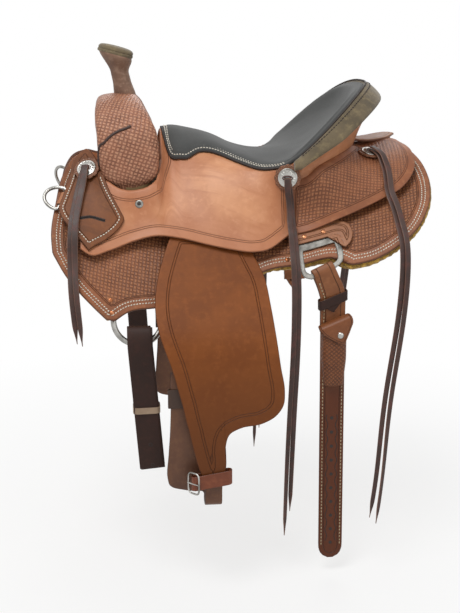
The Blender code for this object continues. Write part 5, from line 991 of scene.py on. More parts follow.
def leather(name, base, dark, light, *, rough=0.5, sheen=0.0, ior=1.45, grain=1.6 * MM, grain_deep=0.1 * MM,
            cloud=1.0, streaks=0.0, stamp=None, stamp_deep=0.8 * MM, border=0.0, lines=(), line_wide=0.9 * MM,
            edge="5a3826", edge_wide=1.2 * MM, low_shade=None, shade=None):
    """Leather: a hide's clouds and grain, tooled lines and stamping at set insets, a burnished edge.

    The colour is the base clouded towards dark and light, darkened in the stamping's hollows and the tooled lines,
    with a painted highlight on the stamping's crowns. Stamp is a cell's size and the pattern's turn;
    the painted shade low down is a colour and the heights where it starts and is full;
    shade is painted shade in from the edge: how far in from the edge the colour darkens, and how much.
    """
    made, tree, place = new_finish(name)
    plan = add(tree, "UVMap", uv_map="plan")
    inset = add(tree, "Attribute", attribute_name="inset", out="Fac")
    # Clouds about 60 mm wide, blotches about 10 mm, and pores as wide as the grain
    broad = add(tree, "TexNoise", place, None, 16.0, 3.0, 0.55)
    fine = add(tree, "TexNoise", place, None, 95.0, 3.0, 0.6)
    pores = add(tree, "TexNoise", place, None, 1 / grain, 2.0, 0.6)
    height = add(tree, "Math", pores, grain_deep / MM, operation="MULTIPLY")
    tints = [(add(tree, "MapRange", broad, 0.36, 0.68, 0.0, 0.62 * cloud, **SMOOTH), dark),
             (add(tree, "MapRange", fine, 0.46, 0.74, 0.0, 0.38 * cloud, **SMOOTH), light)]
    if streaks:
        drawn = add(tree, "Mapping", plan, (0, 0, 0), (0, 0, 0), (0.22, 1.9, 1))
        drawn = add(tree, "TexNoise", drawn, None, 26.0, 4.0, 0.6)
        tints.append((add(tree, "MapRange", drawn, 0.5, 0.72, 0.0, streaks, **SMOOTH), dark))
        height = add(tree, "Math", drawn, 0.35 * streaks, height, operation="MULTIPLY_ADD")
    # Painted shade: the colour darkens towards the bottom, between two heights
    if low_shade:
        code, start, full = low_shade
        wavy = add(tree, "Math", broad, 0.14, add(tree, "SeparateXYZ", place, out="Z"), operation="MULTIPLY_ADD")
        tints.append((add(tree, "MapRange", wavy, start, full, **SMOOTH), code))
    # Painted shade: the colour darkens towards dark within a reach of the edge
    if shade:
        reach, amount = shade
        tints.append((add(tree, "MapRange", inset, reach, 8 * MM, 0.0, amount, **SMOOTH), dark))
    if stamp:
        weave = weave_stamp(tree, plan, *stamp)
        inner = add(tree, "MapRange", inset, border - 0.6 * MM, border + 0.6 * MM, **SMOOTH)
        worn = add(tree, "TexNoise", place, None, 60.0)
        worn = add(tree, "MapRange", worn, 0.3, 0.7, 0.6, 1.0, **SMOOTH)
        hollow = add(tree, "Math", 1.0, weave, operation="SUBTRACT")
        hollow = add(tree, "Math", hollow, add(tree, "Math", inner, worn, operation="MULTIPLY"), operation="MULTIPLY")
        tints.append((add(tree, "Math", hollow, 0.7, operation="MULTIPLY"), edge))
        # Painted highlight: the stamping's crowns paled towards the light colour
        crown = add(tree, "MapRange", weave, 0.62, 0.95, 0.0, 0.45, **SMOOTH)
        tints.append((add(tree, "Math", crown, inner, operation="MULTIPLY"), light))
        height = add(tree, "Math", hollow, -stamp_deep / MM, height, operation="MULTIPLY_ADD")
    if lines:
        cuts = []
        for at in lines:
            off = add(tree, "Math", add(tree, "Math", inset, at, operation="SUBTRACT"), operation="ABSOLUTE")
            cuts.append(add(tree, "MapRange", off, line_wide, 0.0, **SMOOTH))
        cut_in = add(tree, "Math", cuts[0], cuts[-1], operation="MAXIMUM")
        tints.append((add(tree, "Math", cut_in, 0.8, operation="MULTIPLY"), edge))
        height = add(tree, "Math", height, cut_in, operation="SUBTRACT")
    tints.append((add(tree, "MapRange", inset, edge_wide, 0.0, 0.0, 0.75, **SMOOTH), edge))
    colour = hexed(base)
    for share, code in tints:
        colour = add(tree, "MixRGB", share, colour, hexed(code))
    shine = add(tree, "Math", fine, 0.16, rough - 0.08, operation="MULTIPLY_ADD")
    return finished(made, colour, height, Roughness=shine, IOR=ior, Sheen_Weight=sheen)


SKIRT_BORDER = 24 * MM
# Vegetable-tanned skirting leather, basket stamped and oiled: warm red-brown, dark in the hollows
TOOLED = leather("basket stamped skirting leather", "925632", "6c3f24", "b87d52", rough=0.55,
                 stamp=(6.2 * MM, math.radians(-6)), border=SKIRT_BORDER, lines=(21.5 * MM, 24 * MM),
                 edge="4a2b1d", edge_wide=3.4 * MM)


# The rear jockeys: the same stamping inside a plain border with a double line
REAR_TOOLED = leather("stamped rear jockey leather", "965b3a", "75452b", "bd8158", rough=0.52,
                      stamp=(6.2 * MM, math.radians(-4)), border=17 * MM, lines=(13.5 * MM, 16.5 * MM),
                      edge="4f2d1e", edge_wide=1.6 * MM)


# The fork's cover: damp-moulded leather stamped all over, its lower part darkened as painted shade
FORK_TOOLED = leather("stamped fork leather", "ae7458", "85523a", "d19f80", rough=0.5,
                      stamp=(6.4 * MM, math.radians(20)), low_shade=("744329", 0.09, -0.01), border=1 * MM, edge="4a2c1f",
                      edge_wide=0.1 * MM, stamp_deep=0.9 * MM)


# Smooth russet seat leather: pale, drawn smooth over the tree with faint lengthwise wrinkles
# Darkened towards its edges, 75 mm in, as painted shade
JOCKEY = leather("smooth russet seat leather", "d2946b", "a8653e", "e0a680", rough=0.46, streaks=0.5,
                 shade=(75 * MM, 0.7), lines=(17 * MM, 20.5 * MM), edge="7b4c33", edge_wide=2.0 * MM, sheen=0.1)


# The same hide on the small pieces, no lines
PLAIN = leather("smooth russet leather", "b87c56", "9b6444", "cf966e", rough=0.48, edge="5f3a28", edge_wide=1.6 * MM)
# Oiled fender leather: deeper tan-brown, darker and redder low down as painted shade
FENDER = leather("oiled fender leather", "82471b", "6c3814", "955629", rough=0.5, ior=1.32, lines=(19 * MM, 23 * MM),
                 edge="4a2815", edge_wide=1.8 * MM, low_shade=("623412", -0.14, -0.42), streaks=0.25)


# Harness leather of the rear billets: firm, reddish brown, waxed
# Darker low down: painted shade
HARNESS = leather("waxed harness leather", "8f5a38", "6d3f22", "a26c45", rough=0.48, lines=(9 * MM,), edge="3d2215",
                  low_shade=("57290f", -0.17, -0.3), ior=1.38, line_wide=1.3 * MM, edge_wide=1.0 * MM)


# Hobble strap: red-brown bridle leather
HOBBLE = leather("red bridle leather", "7c3f22", "622d16", "935434", rough=0.42, edge="3b1e12")
# Latigo: alum-tanned, oiled burgundy, nearly black in the shade, a slight wax shine
LATIGO = leather("burgundy latigo leather", "301c15", "22130e", "422720", rough=0.6, ior=1.35, edge="5d3b2c",
                 edge_wide=0.7 * MM)
# Latigo strings: oiled, dark brown with a red cast and paler cut edges
STRING = leather("latigo string leather", "46312a", "2b1c18", "6a362f", rough=0.5, edge="8f6a58", edge_wide=1.2 * MM)
# Roughout: flesh side out, olive from oil, a short matt nap with paler rubs
ROUGHOUT = leather("olive roughout leather", "70624a", "504635", "94835f", rough=0.85, sheen=0.25, grain=1.2 * MM,
                   grain_deep=0.4 * MM, edge="5b4d39", edge_wide=1.0 * MM, cloud=1.3)


# Horn wrap: hand-worked mulehide, greyish brown with rubbed pale ridges
WRAP = leather("horn wrap leather", "8d6d59", "6b4e3e", "ab8d78", rough=0.6, grain=2.2 * MM, grain_deep=0.25 * MM,
               edge="5a4235", cloud=1.5, streaks=0.5)


# Saddle string rosettes: thin tooled leather
ROSETTE = leather("tooled rosette leather", "8c5c42", "6d432d", "a87554", rough=0.5, edge="472a1c",
                  edge_wide=1.5 * MM, stamp=(3.4 * MM, math.radians(45)), border=1.5 * MM, stamp_deep=0.5 * MM)


def suede():
    """Charcoal seat suede: a brushed nap, darker where it is stroked, a soft sheen at a low angle."""
    made, tree, place = new_finish("charcoal suede")
    inset = add(tree, "Attribute", attribute_name="inset", out="Fac")
    # Stroke marks about 70 mm wide; the nap is drawn 2.4 mm wide, coarser than a real one, so that it shows
    stroked = add(tree, "TexNoise", place, None, 14.0, 3.0, 0.6)
    nap = add(tree, "TexNoise", place, None, 420.0, 2.0, 0.7)
    colour = hexed("494a49")
    for share, code in ((add(tree, "MapRange", stroked, 0.35, 0.7, **SMOOTH), "414241"),
                        (add(tree, "MapRange", nap, 0.45, 0.8, 0.0, 0.35, **SMOOTH), "61615e"),
                        (add(tree, "MapRange", inset, 4.5 * MM, 1.0 * MM, 0.0, 0.6, **SMOOTH), "2f2f30")):
        colour = add(tree, "MixRGB", share, colour, hexed(code))
    return finished(made, colour, nap, 0.6, 0.4 * MM, Roughness=0.92, Sheen_Weight=0.18, Sheen_Roughness=0.5)


def woolskin():
    """Shearling: gold-dyed fleece, clumped locks, darker between them as painted shade."""
    made, tree, place = new_finish("gold woolskin")
    # Locks about 8 mm wide, twisted a little
    locks = add(tree, "TexNoise", place, None, 130.0, 3.0, 0.65, None, None, None, 0.6)
    # Painted shade: the colour darkens where the locks' height is low
    share = add(tree, "MapRange", locks, 0.35, 0.65, **SMOOTH)
    colour = add(tree, "MixRGB", share, hexed("8a6a2c"), hexed("cfa345"))
    return finished(made, colour, locks, 1.0, 3 * MM, Roughness=0.95, Sheen_Weight=0.4)


def metal(name, colour, dull, rough, brush):
    """A metal: its own colour, fine brushing or casting marks in the gloss, dulled in clouds of tarnish."""
    made, tree, place = new_finish(name)
    # Marks 4 mm wide, coarser than real brushing, so that they show; clouds of tarnish about 22 mm wide
    marks = add(tree, "Mapping", place, (0, 0, 0), (0, 0, 0), brush)
    marks = add(tree, "TexNoise", marks, None, 240.0, 3.0, 0.6)
    share = add(tree, "MapRange", add(tree, "TexNoise", place, None, 45.0), 0.4, 0.7, **SMOOTH)
    tint = add(tree, "MixRGB", share, hexed(colour), hexed(dull))
    gloss = add(tree, "Math", marks, 0.22, rough - 0.11, operation="MULTIPLY_ADD")
    return finished(made, tint, marks, 0.25, 0.15 * MM, Metallic=1.0, Roughness=gloss)


def thread(name, colour, dark):
    """Waxed nylon thread: twisted, so each stitch is banded a little darker across."""
    made, tree, place = new_finish(name)
    # Bands 1.4 mm wide, as one turn of the thread
    twist = add(tree, "TexNoise", place, None, 700.0, 1.0)
    tint = add(tree, "MixRGB", add(tree, "MapRange", twist, 0.4, 0.7, **SMOOTH), hexed(colour), hexed(dark))
    return finished(made, tint, Roughness=0.6)


SUEDE, WOOL = suede(), woolskin()
# Cast and brushed stainless steel: bright, soft highlights
STEEL = metal("brushed stainless steel", "a9a7a2", "7b7974", 0.34, (1, 1, 0.15))
# Cast stainless steel, satin, greyer and broader in its highlights
DULL_STEEL = metal("satin cast stainless steel", "8d8b86", "5c5a56", 0.58, (1, 1, 1))
# Nickel silver, polished, with soft hammer-like marks
SILVER = metal("engraved nickel silver", "b9b7b2", "83807a", 0.28, (0.6, 0.6, 0.6))
# Copper rivets, tarnished
COPPER = metal("tarnished copper", "c98a63", "8e5738", 0.42, (1, 1, 1))
# White waxed thread, a little yellowed
THREAD = thread("white waxed thread", "e9e2d4", "c3b9a6")
# Tan waxed thread
TAN_THREAD = thread("tan waxed thread", "bba98a", "8c7a58")
# Black-brown leather of laces, matt; in slots, slits and punched holes the same dark colour is painted shade
DARK_LEATHER_AND_SHADE = leather("dark leather", "2b211d", "1d1613", "3a2c26", rough=0.6, edge="2b211d")
# The tree's cover: varnished rawhide, yellow-brown and slightly glossy
RAWHIDE = leather("varnished rawhide", "b39a70", "93794f", "c9b48c", rough=0.5, edge="7d6442")


# Camera, at the photograph's viewing angle

camera = bpy.data.objects.new("camera", bpy.data.cameras.new("camera"))
bpy.context.scene.collection.objects.link(camera)
camera.location = (-0.218, -2.1, 0.289)
camera.rotation_euler = (Vector((0, 0, -0.245)) - camera.location).to_track_quat("-Z", "Y").to_euler()
# The focal length and the picture's height in pixels, and the sensor in mm
FOCAL_PIXELS, PHOTO_HIGH, SENSOR = 1135, 613, 36.0
camera.data.sensor_fit, camera.data.sensor_width, camera.data.sensor_height = "VERTICAL", SENSOR, SENSOR
camera.data.lens = FOCAL_PIXELS * SENSOR / PHOTO_HIGH
camera.data.clip_start, camera.data.clip_end = 0.05, 50
bpy.context.scene.camera = camera

# The strings: free flat thongs, two to each concho. Stops: what they lie on, two places, lift.
STRING_LIES, PLY_STEP = STRING_THICK / 2 + 1.2 * MM, 4.8 * MM
STRING_ROUTES = {
    "front": [
        ("keeper", -0.276, 0.101, STRING_LIES + 0.0015), ("keeper", -0.286, 0.135, STRING_LIES),
        ("keeper", -0.29, 0.16, STRING_LIES + 0.001), ("flank", -0.292, 0.188, 0.018),
        ("flank", -0.293, 0.22, 0.006), ("flank", -0.293, 0.262, 0.004), ("free", -0.291, 0.01, -0.19),
        ("free", -0.285, 0.012, -0.249),
    ],
    "mid": [
        ("jockey", 0.089, 0.5, STRING_LIES + 0.0025), ("jockey", 0.091, 0.72, STRING_LIES + 0.002),
        ("jockey", 0.092, 0.9, STRING_LIES + 0.001), ("flank", 0.093, 0.16, 0.025),
        ("flank", 0.094, 0.185, 0.015), ("flank", 0.095, 0.212, 0.011), ("free", 0.096, 0.008, -0.15),
        ("free", 0.097, 0.012, -0.211), ("free", 0.096, 0.012, -0.284), ("free", 0.093, 0.01, -0.361),
        ("free", 0.089, 0.008, -0.47), ("free", 0.086, 0.008, -0.575),
    ],
    "rear": [
        ("rear", 0.61, 0.38, STRING_LIES + 0.002), ("rear", 0.56, 0.24, STRING_LIES + 0.001),
        ("rear", 0.5, 0.08, STRING_LIES + 0.001), ("flank", 0.269, 0.15, 0.016),
        ("flank", 0.274, 0.185, 0.005), ("flank", 0.277, 0.222, 0.004), ("free", 0.2757, 0.01, -0.118),
        ("free", 0.2747, 0.014, -0.18), ("free", 0.2657, 0.014, -0.258), ("free", 0.2527, 0.012, -0.342),
        ("free", 0.245, 0.01, -0.43), ("free", 0.244, 0.01, -0.51), ("free", 0.231, 0.01, -0.589),
    ],
}
# The second thong: x shift at the concho and at the tip, and how much longer it is
SECOND_THONG = {"front": (0.004, 0.009, 0.003), "mid": (-0.003, -0.01, 0.045), "rear": (0.002, 0.011, 0.01)}


def string_stop(kind, a, b, lift, base, side):
    """One stop of a string and the way it faces."""
    both = []
    for more in (0.0, 0.004):
        x, y = np.array([a]), np.array([b])
        if kind == "keeper":
            both.append(over_jockey(x, y, FRONT_LIES_ON[side] + lift + more)[0])
        elif kind == "jockey":
            both.append(lifted(seat_outer, x, y, lift + more)[0])
        elif kind == "rear":
            both.append(rear_lifted(x, y, lift + more)[0])
        elif kind == "flank":
            both.append(flank(x, y, SKIRT_THICK + STRING_LIES + lift + more)[0])
        else:
            both.append(np.array([a, base + b + more, lift]))
    return both[0], unit(both[1] - both[0])


def string_routes(place, centre, normal, side):
    """The two thongs' centre lines and facings, from the concho's slot down to their tips."""
    stand = ROSETTE_THICK + CONCHO_THICK + STRING_THICK / 2 + LAYER
    first, _ = string_stop(*STRING_ROUTES[place][0], 0.0, side)
    away = unit((first - centre) - normal * ((first - centre) @ normal))
    stops = [(centre + normal * (stand - 1.0 * MM), normal)]
    for reach, less in ((CONCHO_ACROSS * 0.3, 0.0), (CONCHO_ACROSS / 2, 0.8), (ROSETTE_ACROSS / 2 + 3 * MM, 2.6)):
        stops.append((centre + away * reach + normal * (stand - less * MM), normal))
    base = 0.0
    for kind, a, b, lift in STRING_ROUTES[place]:
        point, face = string_stop(kind, a, b, lift, base if kind == "free" else 0.0, side)
        base = base if kind == "free" else float(point[1])
        stops.append((point, face))
    points, faces = np.array([s[0] for s in stops]), np.array([s[1] for s in stops])
    near, far, longer = SECOND_THONG[place]
    share = np.linspace(0, 1, len(points))[:, None]
    drift = (near + (far - near) * share) * np.minimum(1, share * 4)
    second = points + faces * PLY_STEP + BACKWARD * drift
    second[-1, 2] -= longer
    return (points, faces), (second, faces)


def eased(line, reach):
    """A line with each point moved to the mean of its neighbours, reach to either side, its ends kept."""
    kernel = np.hanning(2 * reach + 3)[1:-1]
    padded = np.concatenate([2 * line[0] - line[reach:0:-1], line, 2 * line[-1] - line[-2 : -reach - 2 : -1]])
    return np.stack([np.convolve(padded[:, i], kernel / kernel.sum(), "valid") for i in range(3)], -1)


def make_strings(side, word):
    """Each thong is a strap along its route, its tip cut to a long point, twisting a little where it hangs."""
    for place, (centre, normal) in SEATS[side].items():
        for number, (points, faces) in enumerate(string_routes(place, centre, normal, side)):
            line = spread(points, 10)
            stop = np.arange(len(line)) / 10
            line = np.column_stack([eased(line, 19)[:, 0], eased(line, 6)[:, 1:]])
            facing = unit(read_at(stop, np.arange(len(faces)), faces))
            at = lengths(line)
            share = at / at[-1]
            free = smooth_step(share, 0.45, 0.95)
            turn = free * (0.3 * np.sin(at * 13 + number * 2 + len(place)) + (0.25 if number else -0.15))
            sideways = unit(np.cross(np.gradient(line, axis=0), facing))
            facing = facing * np.cos(turn)[:, None] + sideways * np.sin(turn)[:, None]
            tip = 1 - 0.86 * smooth_step(at[-1] - at, 0.034, 0.0)
            wide = STRING_WIDE * (1.0 if place == "front" else 0.84) * (1 - 0.08 * number) * (1 - 0.34 * share) * tip
            form = strap(line - facing * STRING_THICK / 2, facing, wide, STRING_THICK * 0.9, across=5, step=8 * MM)
            thong = piece(f"string_{place}_{word}_{'upper' if number else 'lower'}", form, STRING, "saddle",
                          side=side)
            path = at_length(line, np.linspace(0, at[-1] - 7 * MM, 110)) * np.array([1, side, 1])
            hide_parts(f"string_{place}_{word}")
            path = [tuple(float(c) for c in p) for p in path]
            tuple(path[0])


SEATS = {side: concho_seats(side) for side, _ in SIDES}
for side, word in SIDES:
    make_strings(side, word)

# Skirts and their woolskin

SKIRT_POINTS = [
    (-0.262, -0.029, 1), (-0.284, -0.006), (-0.307, 0.05), (-0.318, 0.11), (-0.326, 0.175), (-0.324, 0.206, 1),
    (-0.303, 0.24), (-0.257, 0.285), (-0.235, 0.303, 1), (-0.22, 0.303, 1), (-0.196, 0.284), (-0.15, 0.272),
    (-0.1, 0.262), (0.0, 0.228), (0.05, 0.206), (0.1, 0.206), (0.165, 0.208), (0.19, 0.228, 1),
    (0.225, 0.231), (0.268, 0.222), (0.305, 0.203), (0.332, 0.165), (0.342, 0.12), (0.341, 0.075), (0.331, 0.025),
    (0.312, -0.029, 1), (0.15, -0.029, 1), (-0.12, -0.029, 1),
]
RING_X, RING_S = -0.181, 0.294
SKIRT_LINE, SKIRT_MIDDLE = spread(SKIRT_POINTS, 8, closed=True), (0.0, 0.09)


def over_skirt(x, s, h):
    """A point h above the skirt's face."""
    return flank(x, s, SKIRT_THICK + np.asarray(h, float))


def sewn(lay, outline, by, where, **more):
    """Stitches along an outline, by inside it, only where the plan points pass a test."""
    line = inside(outline, by, 2.5 * MM)
    base, facing = laid(lay, line, 0.0)
    runs = np.flatnonzero(np.diff(np.concatenate([[0], where(line).astype(int), [0]]))).reshape(-1, 2)
    return together(*(stitches(base[a:b], facing[a:b], **more) for a, b in runs if b - a > 4))


def make_skirt(side, word):
    """The skirt, cut to its outline, with two rows of stitches along its hem."""
    piece(f"skirt_{word}", cut(SKIRT_LINE, SKIRT_MIDDLE, over_skirt, SKIRT_THICK), TOOLED, "saddle", side,
          "tooled_leather")
    low = lambda line: line[:, 1] > 0.0
    rows = [sewn(over_skirt, SKIRT_LINE, by * MM, low, lean=0.25, thick=2.1 * MM, pitch=5 * MM) for by in (9.5, 15.5)]
    piece(f"skirt_stitching_{word}", together(*rows), THREAD, "saddle", side=side)


def make_wool(side, word):
    """The woolskin under the skirt, its lower face and edge in locks, with a round bay for the ring."""
    outline = SKIRT_LINE
    rear = smooth_step(outline[:, 0], 0.03, 0.14)
    wool = outline - inward(outline) * (-1 * MM + 4.5 * MM * rear)[:, None]
    wool[:, 1] = np.maximum(wool[:, 1], -0.028)
    wool = even(wool, 3 * MM, closed=True)
    away = wool - np.array([RING_X, RING_S])
    far = np.linalg.norm(away, axis=1)
    bay = RING_OUTSIDE / 2 + 4 * MM
    turn = np.arctan2(away[:, 0], -away[:, 1])
    dent = far < bay
    wool[dent] = np.array([RING_X, RING_S]) + bay * np.stack([np.sin(turn), -np.cos(turn)], 1)[dent]

    def under(x, s, h):
        """A point h under the skirt, moved by the locks' waves the more the lower it lies."""
        h = np.asarray(h, float)
        lock = thin_wave(x * 330, s * 330, 2) + 0.7 * thin_wave(x * 720, s * 720, 5)
        rough = np.clip((-h - 2 * MM) / (6 * MM), 0, 1) * 1.1 * MM
        shift = rough * thin_wave(x * 520, s * 520, 9) * 1.2
        return flank(x + shift, s + shift, -LAYER + h + rough * lock * 0.6)

    form = cut(wool, SKIRT_MIDDLE, under, WOOL_THICK, pitch=6 * MM, step=3.5 * MM, soft=4.5 * MM)
    piece(f"fleece_{word}", form, WOOL, "saddle", side, "woolskin")


# Rear rigging: the flat dee, its safe and copper rivets

DEE_OUTLINE = [(0.102, 0.15, 1), (0.166, 0.15, 1), (0.17, 0.17, 1), (0.1765, 0.2), (0.1745, 0.217),
               (0.163, 0.227, 1), (0.119, 0.2392, 1), (0.107, 0.233), (0.1005, 0.213), (0.0985, 0.18, 1)]
DEE_OPENING = [(0.1085, 0.184, 1), (0.1635, 0.179, 1), (0.1662, 0.198), (0.165, 0.213), (0.16, 0.217, 1),
               (0.117, 0.229, 1), (0.1115, 0.224), (0.109, 0.208)]
SAFE_OUTLINE = [(0.085, 0.14, 1), (0.17, 0.138), (0.19, 0.15), (0.196, 0.172), (0.189, 0.19),
                (0.18, 0.196, 1), (0.1735, 0.168, 1), (0.168, 0.1665, 1), (0.098, 0.1715, 1), (0.085, 0.173, 1)]
RIVETS = [(-0.227, 0.268), (-0.225, 0.29), (0.081, 0.193), (0.113, 0.158), (0.1465, 0.156)]
RIVET = [(3.9 * MM, 0.0), (4.1 * MM, 0.5 * MM), (3.6 * MM, 1.1 * MM), (2.2 * MM, 1.6 * MM), (0.5 * MM, 1.8 * MM)]


def make_rigging(side, word):
    """The rear dee, its safe over it, and the copper rivets of the safe and of the skirt."""
    low = SKIRT_THICK + LAYER
    on_plate = lambda x, s, h: flank(x, s, low + DEE_THICK + np.asarray(h, float))
    piece(f"rear_dee_{word}", ringed(dee_plan(on_plate)), DULL_STEEL, "saddle", side, "stainless_steel")
    top = SAFE_LOW + SAFE_THICK
    on_safe = lambda x, s, h: flank(x, s, top + np.asarray(h, float))
    safe = cut(spread(SAFE_OUTLINE, 8, True), (0.142, 0.156), on_safe, SAFE_THICK, pitch=5 * MM, step=2.5 * MM)
    piece(f"rear_rigging_{word}", safe, SAFE_FINISH, "saddle", side, "smooth_leather")
    heads = []
    for x, s in RIVETS:
        on = on_safe if 0.1 < x < 0.19 and s < 0.17 else over_skirt
        base, out = laid(on, np.array([[x, s]]), 0.0)
        heads.append(turned(RIVET, base[0], out[0], around=20))
    piece(f"rivets_{word}", together(*heads), COPPER, "saddle", side=side)


def dee_plan(on_plate):
    """Rings from the dee's outer edge to its opening: matching points, outer to inner, all rays equal."""
    outer = even(spread(DEE_OUTLINE, 8, True), 2.0 * MM, closed=True)
    inner = spread(DEE_OPENING, 8, True)
    shift = np.array([0.136, 0.205])
    turn_out, turn_in = [np.arctan2(*(p - shift).T[::-1]) for p in (outer, inner)]
    order = np.argsort(turn_in)
    angles = np.concatenate([turn_in[order] - 2 * math.pi, turn_in[order], turn_in[order] + 2 * math.pi])
    ring = np.tile(inner[order], (3, 1))
    return outer, read_at(turn_out, angles, ring), on_plate


def ringed(plan):
    """A flat plate with one opening: a rounded section carried from the outer edge to the inner one and back."""
    outer, inner, lay = plan
    apart = np.linalg.norm(inner - outer, axis=1)[:, None]
    soft = 1.4 * MM / apart
    steps = [(0.0, 0.5), (0.3, 0.86), (1.0, 1.0)]
    rows = [(soft * k, up) for k, up in steps] + [(k, 1.0) for k in (0.3, 0.5, 0.7)]
    rows += [(1 - soft * k, up) for k, up in steps[::-1]]
    rows += [(1 - soft * 0.3, 0.14), (1 - soft, 0.0), (soft, 0.0), (soft * 0.3, 0.14)]
    points = []
    for share, up in rows:
        plan_points = outer + (inner - outer) * share
        points.append(lay(plan_points[:, 0], plan_points[:, 1], (up - 1) * DEE_THICK))
    return grid(np.swapaxes(np.array(points + points[:1]), 0, 1)[list(range(len(outer))) + [0]])


# The safes: smooth oiled leather with two tooled lines
SAFE_FINISH = leather("smooth safe leather", "9a6340", "7c4c2c", "b27a52", rough=0.48, lines=(7 * MM, 10 * MM),
                      edge="52301e", edge_wide=1.4 * MM)


def make_ring(side, word):
    """The rigging ring: a round bar along centre + radius * (x sin t + down cos t)."""
    centre, down, _ = ring_frame()
    turn = all_round(96)
    middle = (RING_OUTSIDE - RING_WIRE) / 2
    line = centre + middle * (np.sin(turn)[:, None] * BACKWARD + np.cos(turn)[:, None] * down)
    piece(f"rigging_ring_{word}", tube(line, RING_WIRE / 2, 16, closed=True), STEEL, "saddle", side,
          "stainless_steel")


for side, word in SIDES:
    make_skirt(side, word)
    make_wool(side, word)
    make_rigging(side, word)
    make_ring(side, word)


# Seat leather with both front jockeys, in one skin


def measured(surface, x, w):
    """Lengths across a surface from its w 0 line."""
    points = surface(x, w)
    steps = np.linalg.norm(np.diff(points, axis=1), axis=2)
    return np.concatenate([np.zeros((len(points), 1)), np.cumsum(steps, axis=1)], 1)


def make_seat_leather():
    """Rows run across at each x: jockey hem, edge, seat, edge, hem; the parts over the fork and dish are left out."""
    xs = np.concatenate([
        [-0.276, -0.2758, -0.2752, -0.2742, -0.272], np.arange(-0.268, -0.1335, 0.0055), [-0.1325, -0.1302],
        [-0.13, -0.1298, -0.1292, -0.128], np.arange(-0.124, 0.0935, 0.006), [0.0945, 0.0949, 0.095],
        [0.0956, 0.098], np.arange(0.102, 0.235, 0.006), [0.2362, 0.2365]])
    xs = np.unique(np.round(xs, 5))
    hem = 1 - np.array([0, 0.12, 0.5, 1.2, 2.2, 4, 7, 10]) * MM / 0.15
    outer_w = np.concatenate([hem, np.linspace(hem[-1], 0.0, 30)[1:-1]])
    inner_w = np.concatenate([np.linspace(0, 1, 20)[:-1], [0.985, 0.9985]])
    x_out, w_out = np.meshgrid(xs, outer_w, indexing="ij")
    inner_all = np.concatenate([-inner_w[:0:-1], inner_w])
    x_in, w_in = np.meshgrid(xs, inner_all, indexing="ij")
    w_in = w_in * (1 - 0.02 * smooth_step(x_in, 0.096, 0.108))
    a = np.concatenate([x_out, x_in, x_out[:, ::-1]], 1)
    wing, middle = len(outer_w), len(inner_all)
    columns = 2 * wing + middle
    zone = np.repeat([0, 1, 2], [wing, middle, wing])
    b = np.concatenate([w_out, w_in, w_out[:, ::-1]], 1)

    def place(_, __, h):
        """The skin's three parts side by side, each lifted h along its own surface's normal."""
        h = np.broadcast_to(np.asarray(h, float), a.shape)
        left = lifted(seat_outer, x_out, w_out, h[:, zone == 0]) * np.array([1, -1, 1])
        mid = lifted(seat_inner, x_in, w_in, h[:, zone == 1])
        right = lifted(seat_outer, x_out, w_out[:, ::-1], h[:, zone == 2])
        return np.concatenate([left, mid, right], 1)

    c = np.broadcast_to(np.arange(columns - 1), (len(xs) - 1, columns - 1))
    seam = (c >= wing - 1) & (c < wing + middle)
    front = xs[:-1, None] + 0 * c
    keep = np.where(seam, front >= -0.1301, front < 0.0949)
    keep = np.where((c == wing - 1) | (c == wing + middle - 1), (front >= -0.1301) & (front < 0.0949), keep)
    down_out = measured(seat_outer, x_out[:, ::-1], w_out[:, ::-1])
    v = np.concatenate([-0.1 - down_out[:, ::-1], w_in * 0.1, 0.1 + down_out], 1)
    form = hide(place, a, b, SEAT_THICK, keep=keep, uv=np.stack([a, v], -1))
    piece("seat_leather", form, JOCKEY, "saddle", slot="smooth_leather")


# The padded cover, its rope edge and stitching

PAD_FRONT = [(-0.128, 0.0), (-0.124, 0.045), (-0.11, 0.072), (-0.088, 0.08), (-0.062, 0.074), (-0.03, 0.082)]
PAD_SIDE = [(0.01, 0.105), (0.045, 0.127), (0.07, 0.1405), (0.088, 0.15)]


PAD_MIDDLE = np.array([0.035, 0.0])
# How far in from its edge the padding is full, and where its second row of stitches sinks in
PAD_SWELL, PAD_CHANNEL_DEEP = 26 * MM, 0.9 * MM


def pad_rise(inset):
    """How far the padding stands over its edge: (full - edge) * (1 - (1 - inset / swell)^2.2)."""
    return (PAD_THICK - PAD_EDGE) * (1 - (1 - np.clip(inset / PAD_SWELL, 0, 1)) ** 2.2)


def pad_outline():
    """The cover's edge in plan: lobed at the front, along the thigh, then just inside the cantle's crest."""
    angle = np.radians(np.linspace(87.5, 0, 36))
    crest = (rim(angle) - rim_out(angle) * 1.5 * MM)[:, :2]
    half = np.concatenate([spread(PAD_FRONT + PAD_SIDE, 8), crest[crest[:, 0] > 0.1025]])
    return np.concatenate([half, (half * np.array([1, -1]))[::-1][1:-1]])


def seat_height(x, y):
    """The z of the seat's face over plan points, read across each point's own section."""
    shares = np.linspace(0, 1, 90)
    inner = seat_inner(x[:, None], shares[None])
    outer = seat_outer(np.minimum(x, RIM_FRONT_X)[:, None], shares[None, 1:])
    wide = np.concatenate([inner[..., 1], np.maximum(outer[..., 1], inner[:, -1:, 1] + 1e-5)], 1)
    high = np.concatenate([inner[..., 2], outer[..., 2]], 1)
    at = np.clip((np.abs(y)[:, None] > wide).sum(1), 1, wide.shape[1] - 1)
    row = np.arange(len(x))
    low = wide[row, at - 1]
    t = np.clip((np.abs(y) - low) / np.maximum(wide[row, at] - low, 1e-9), 0, 1)
    return high[row, at - 1] * (1 - t) + high[row, at] * t


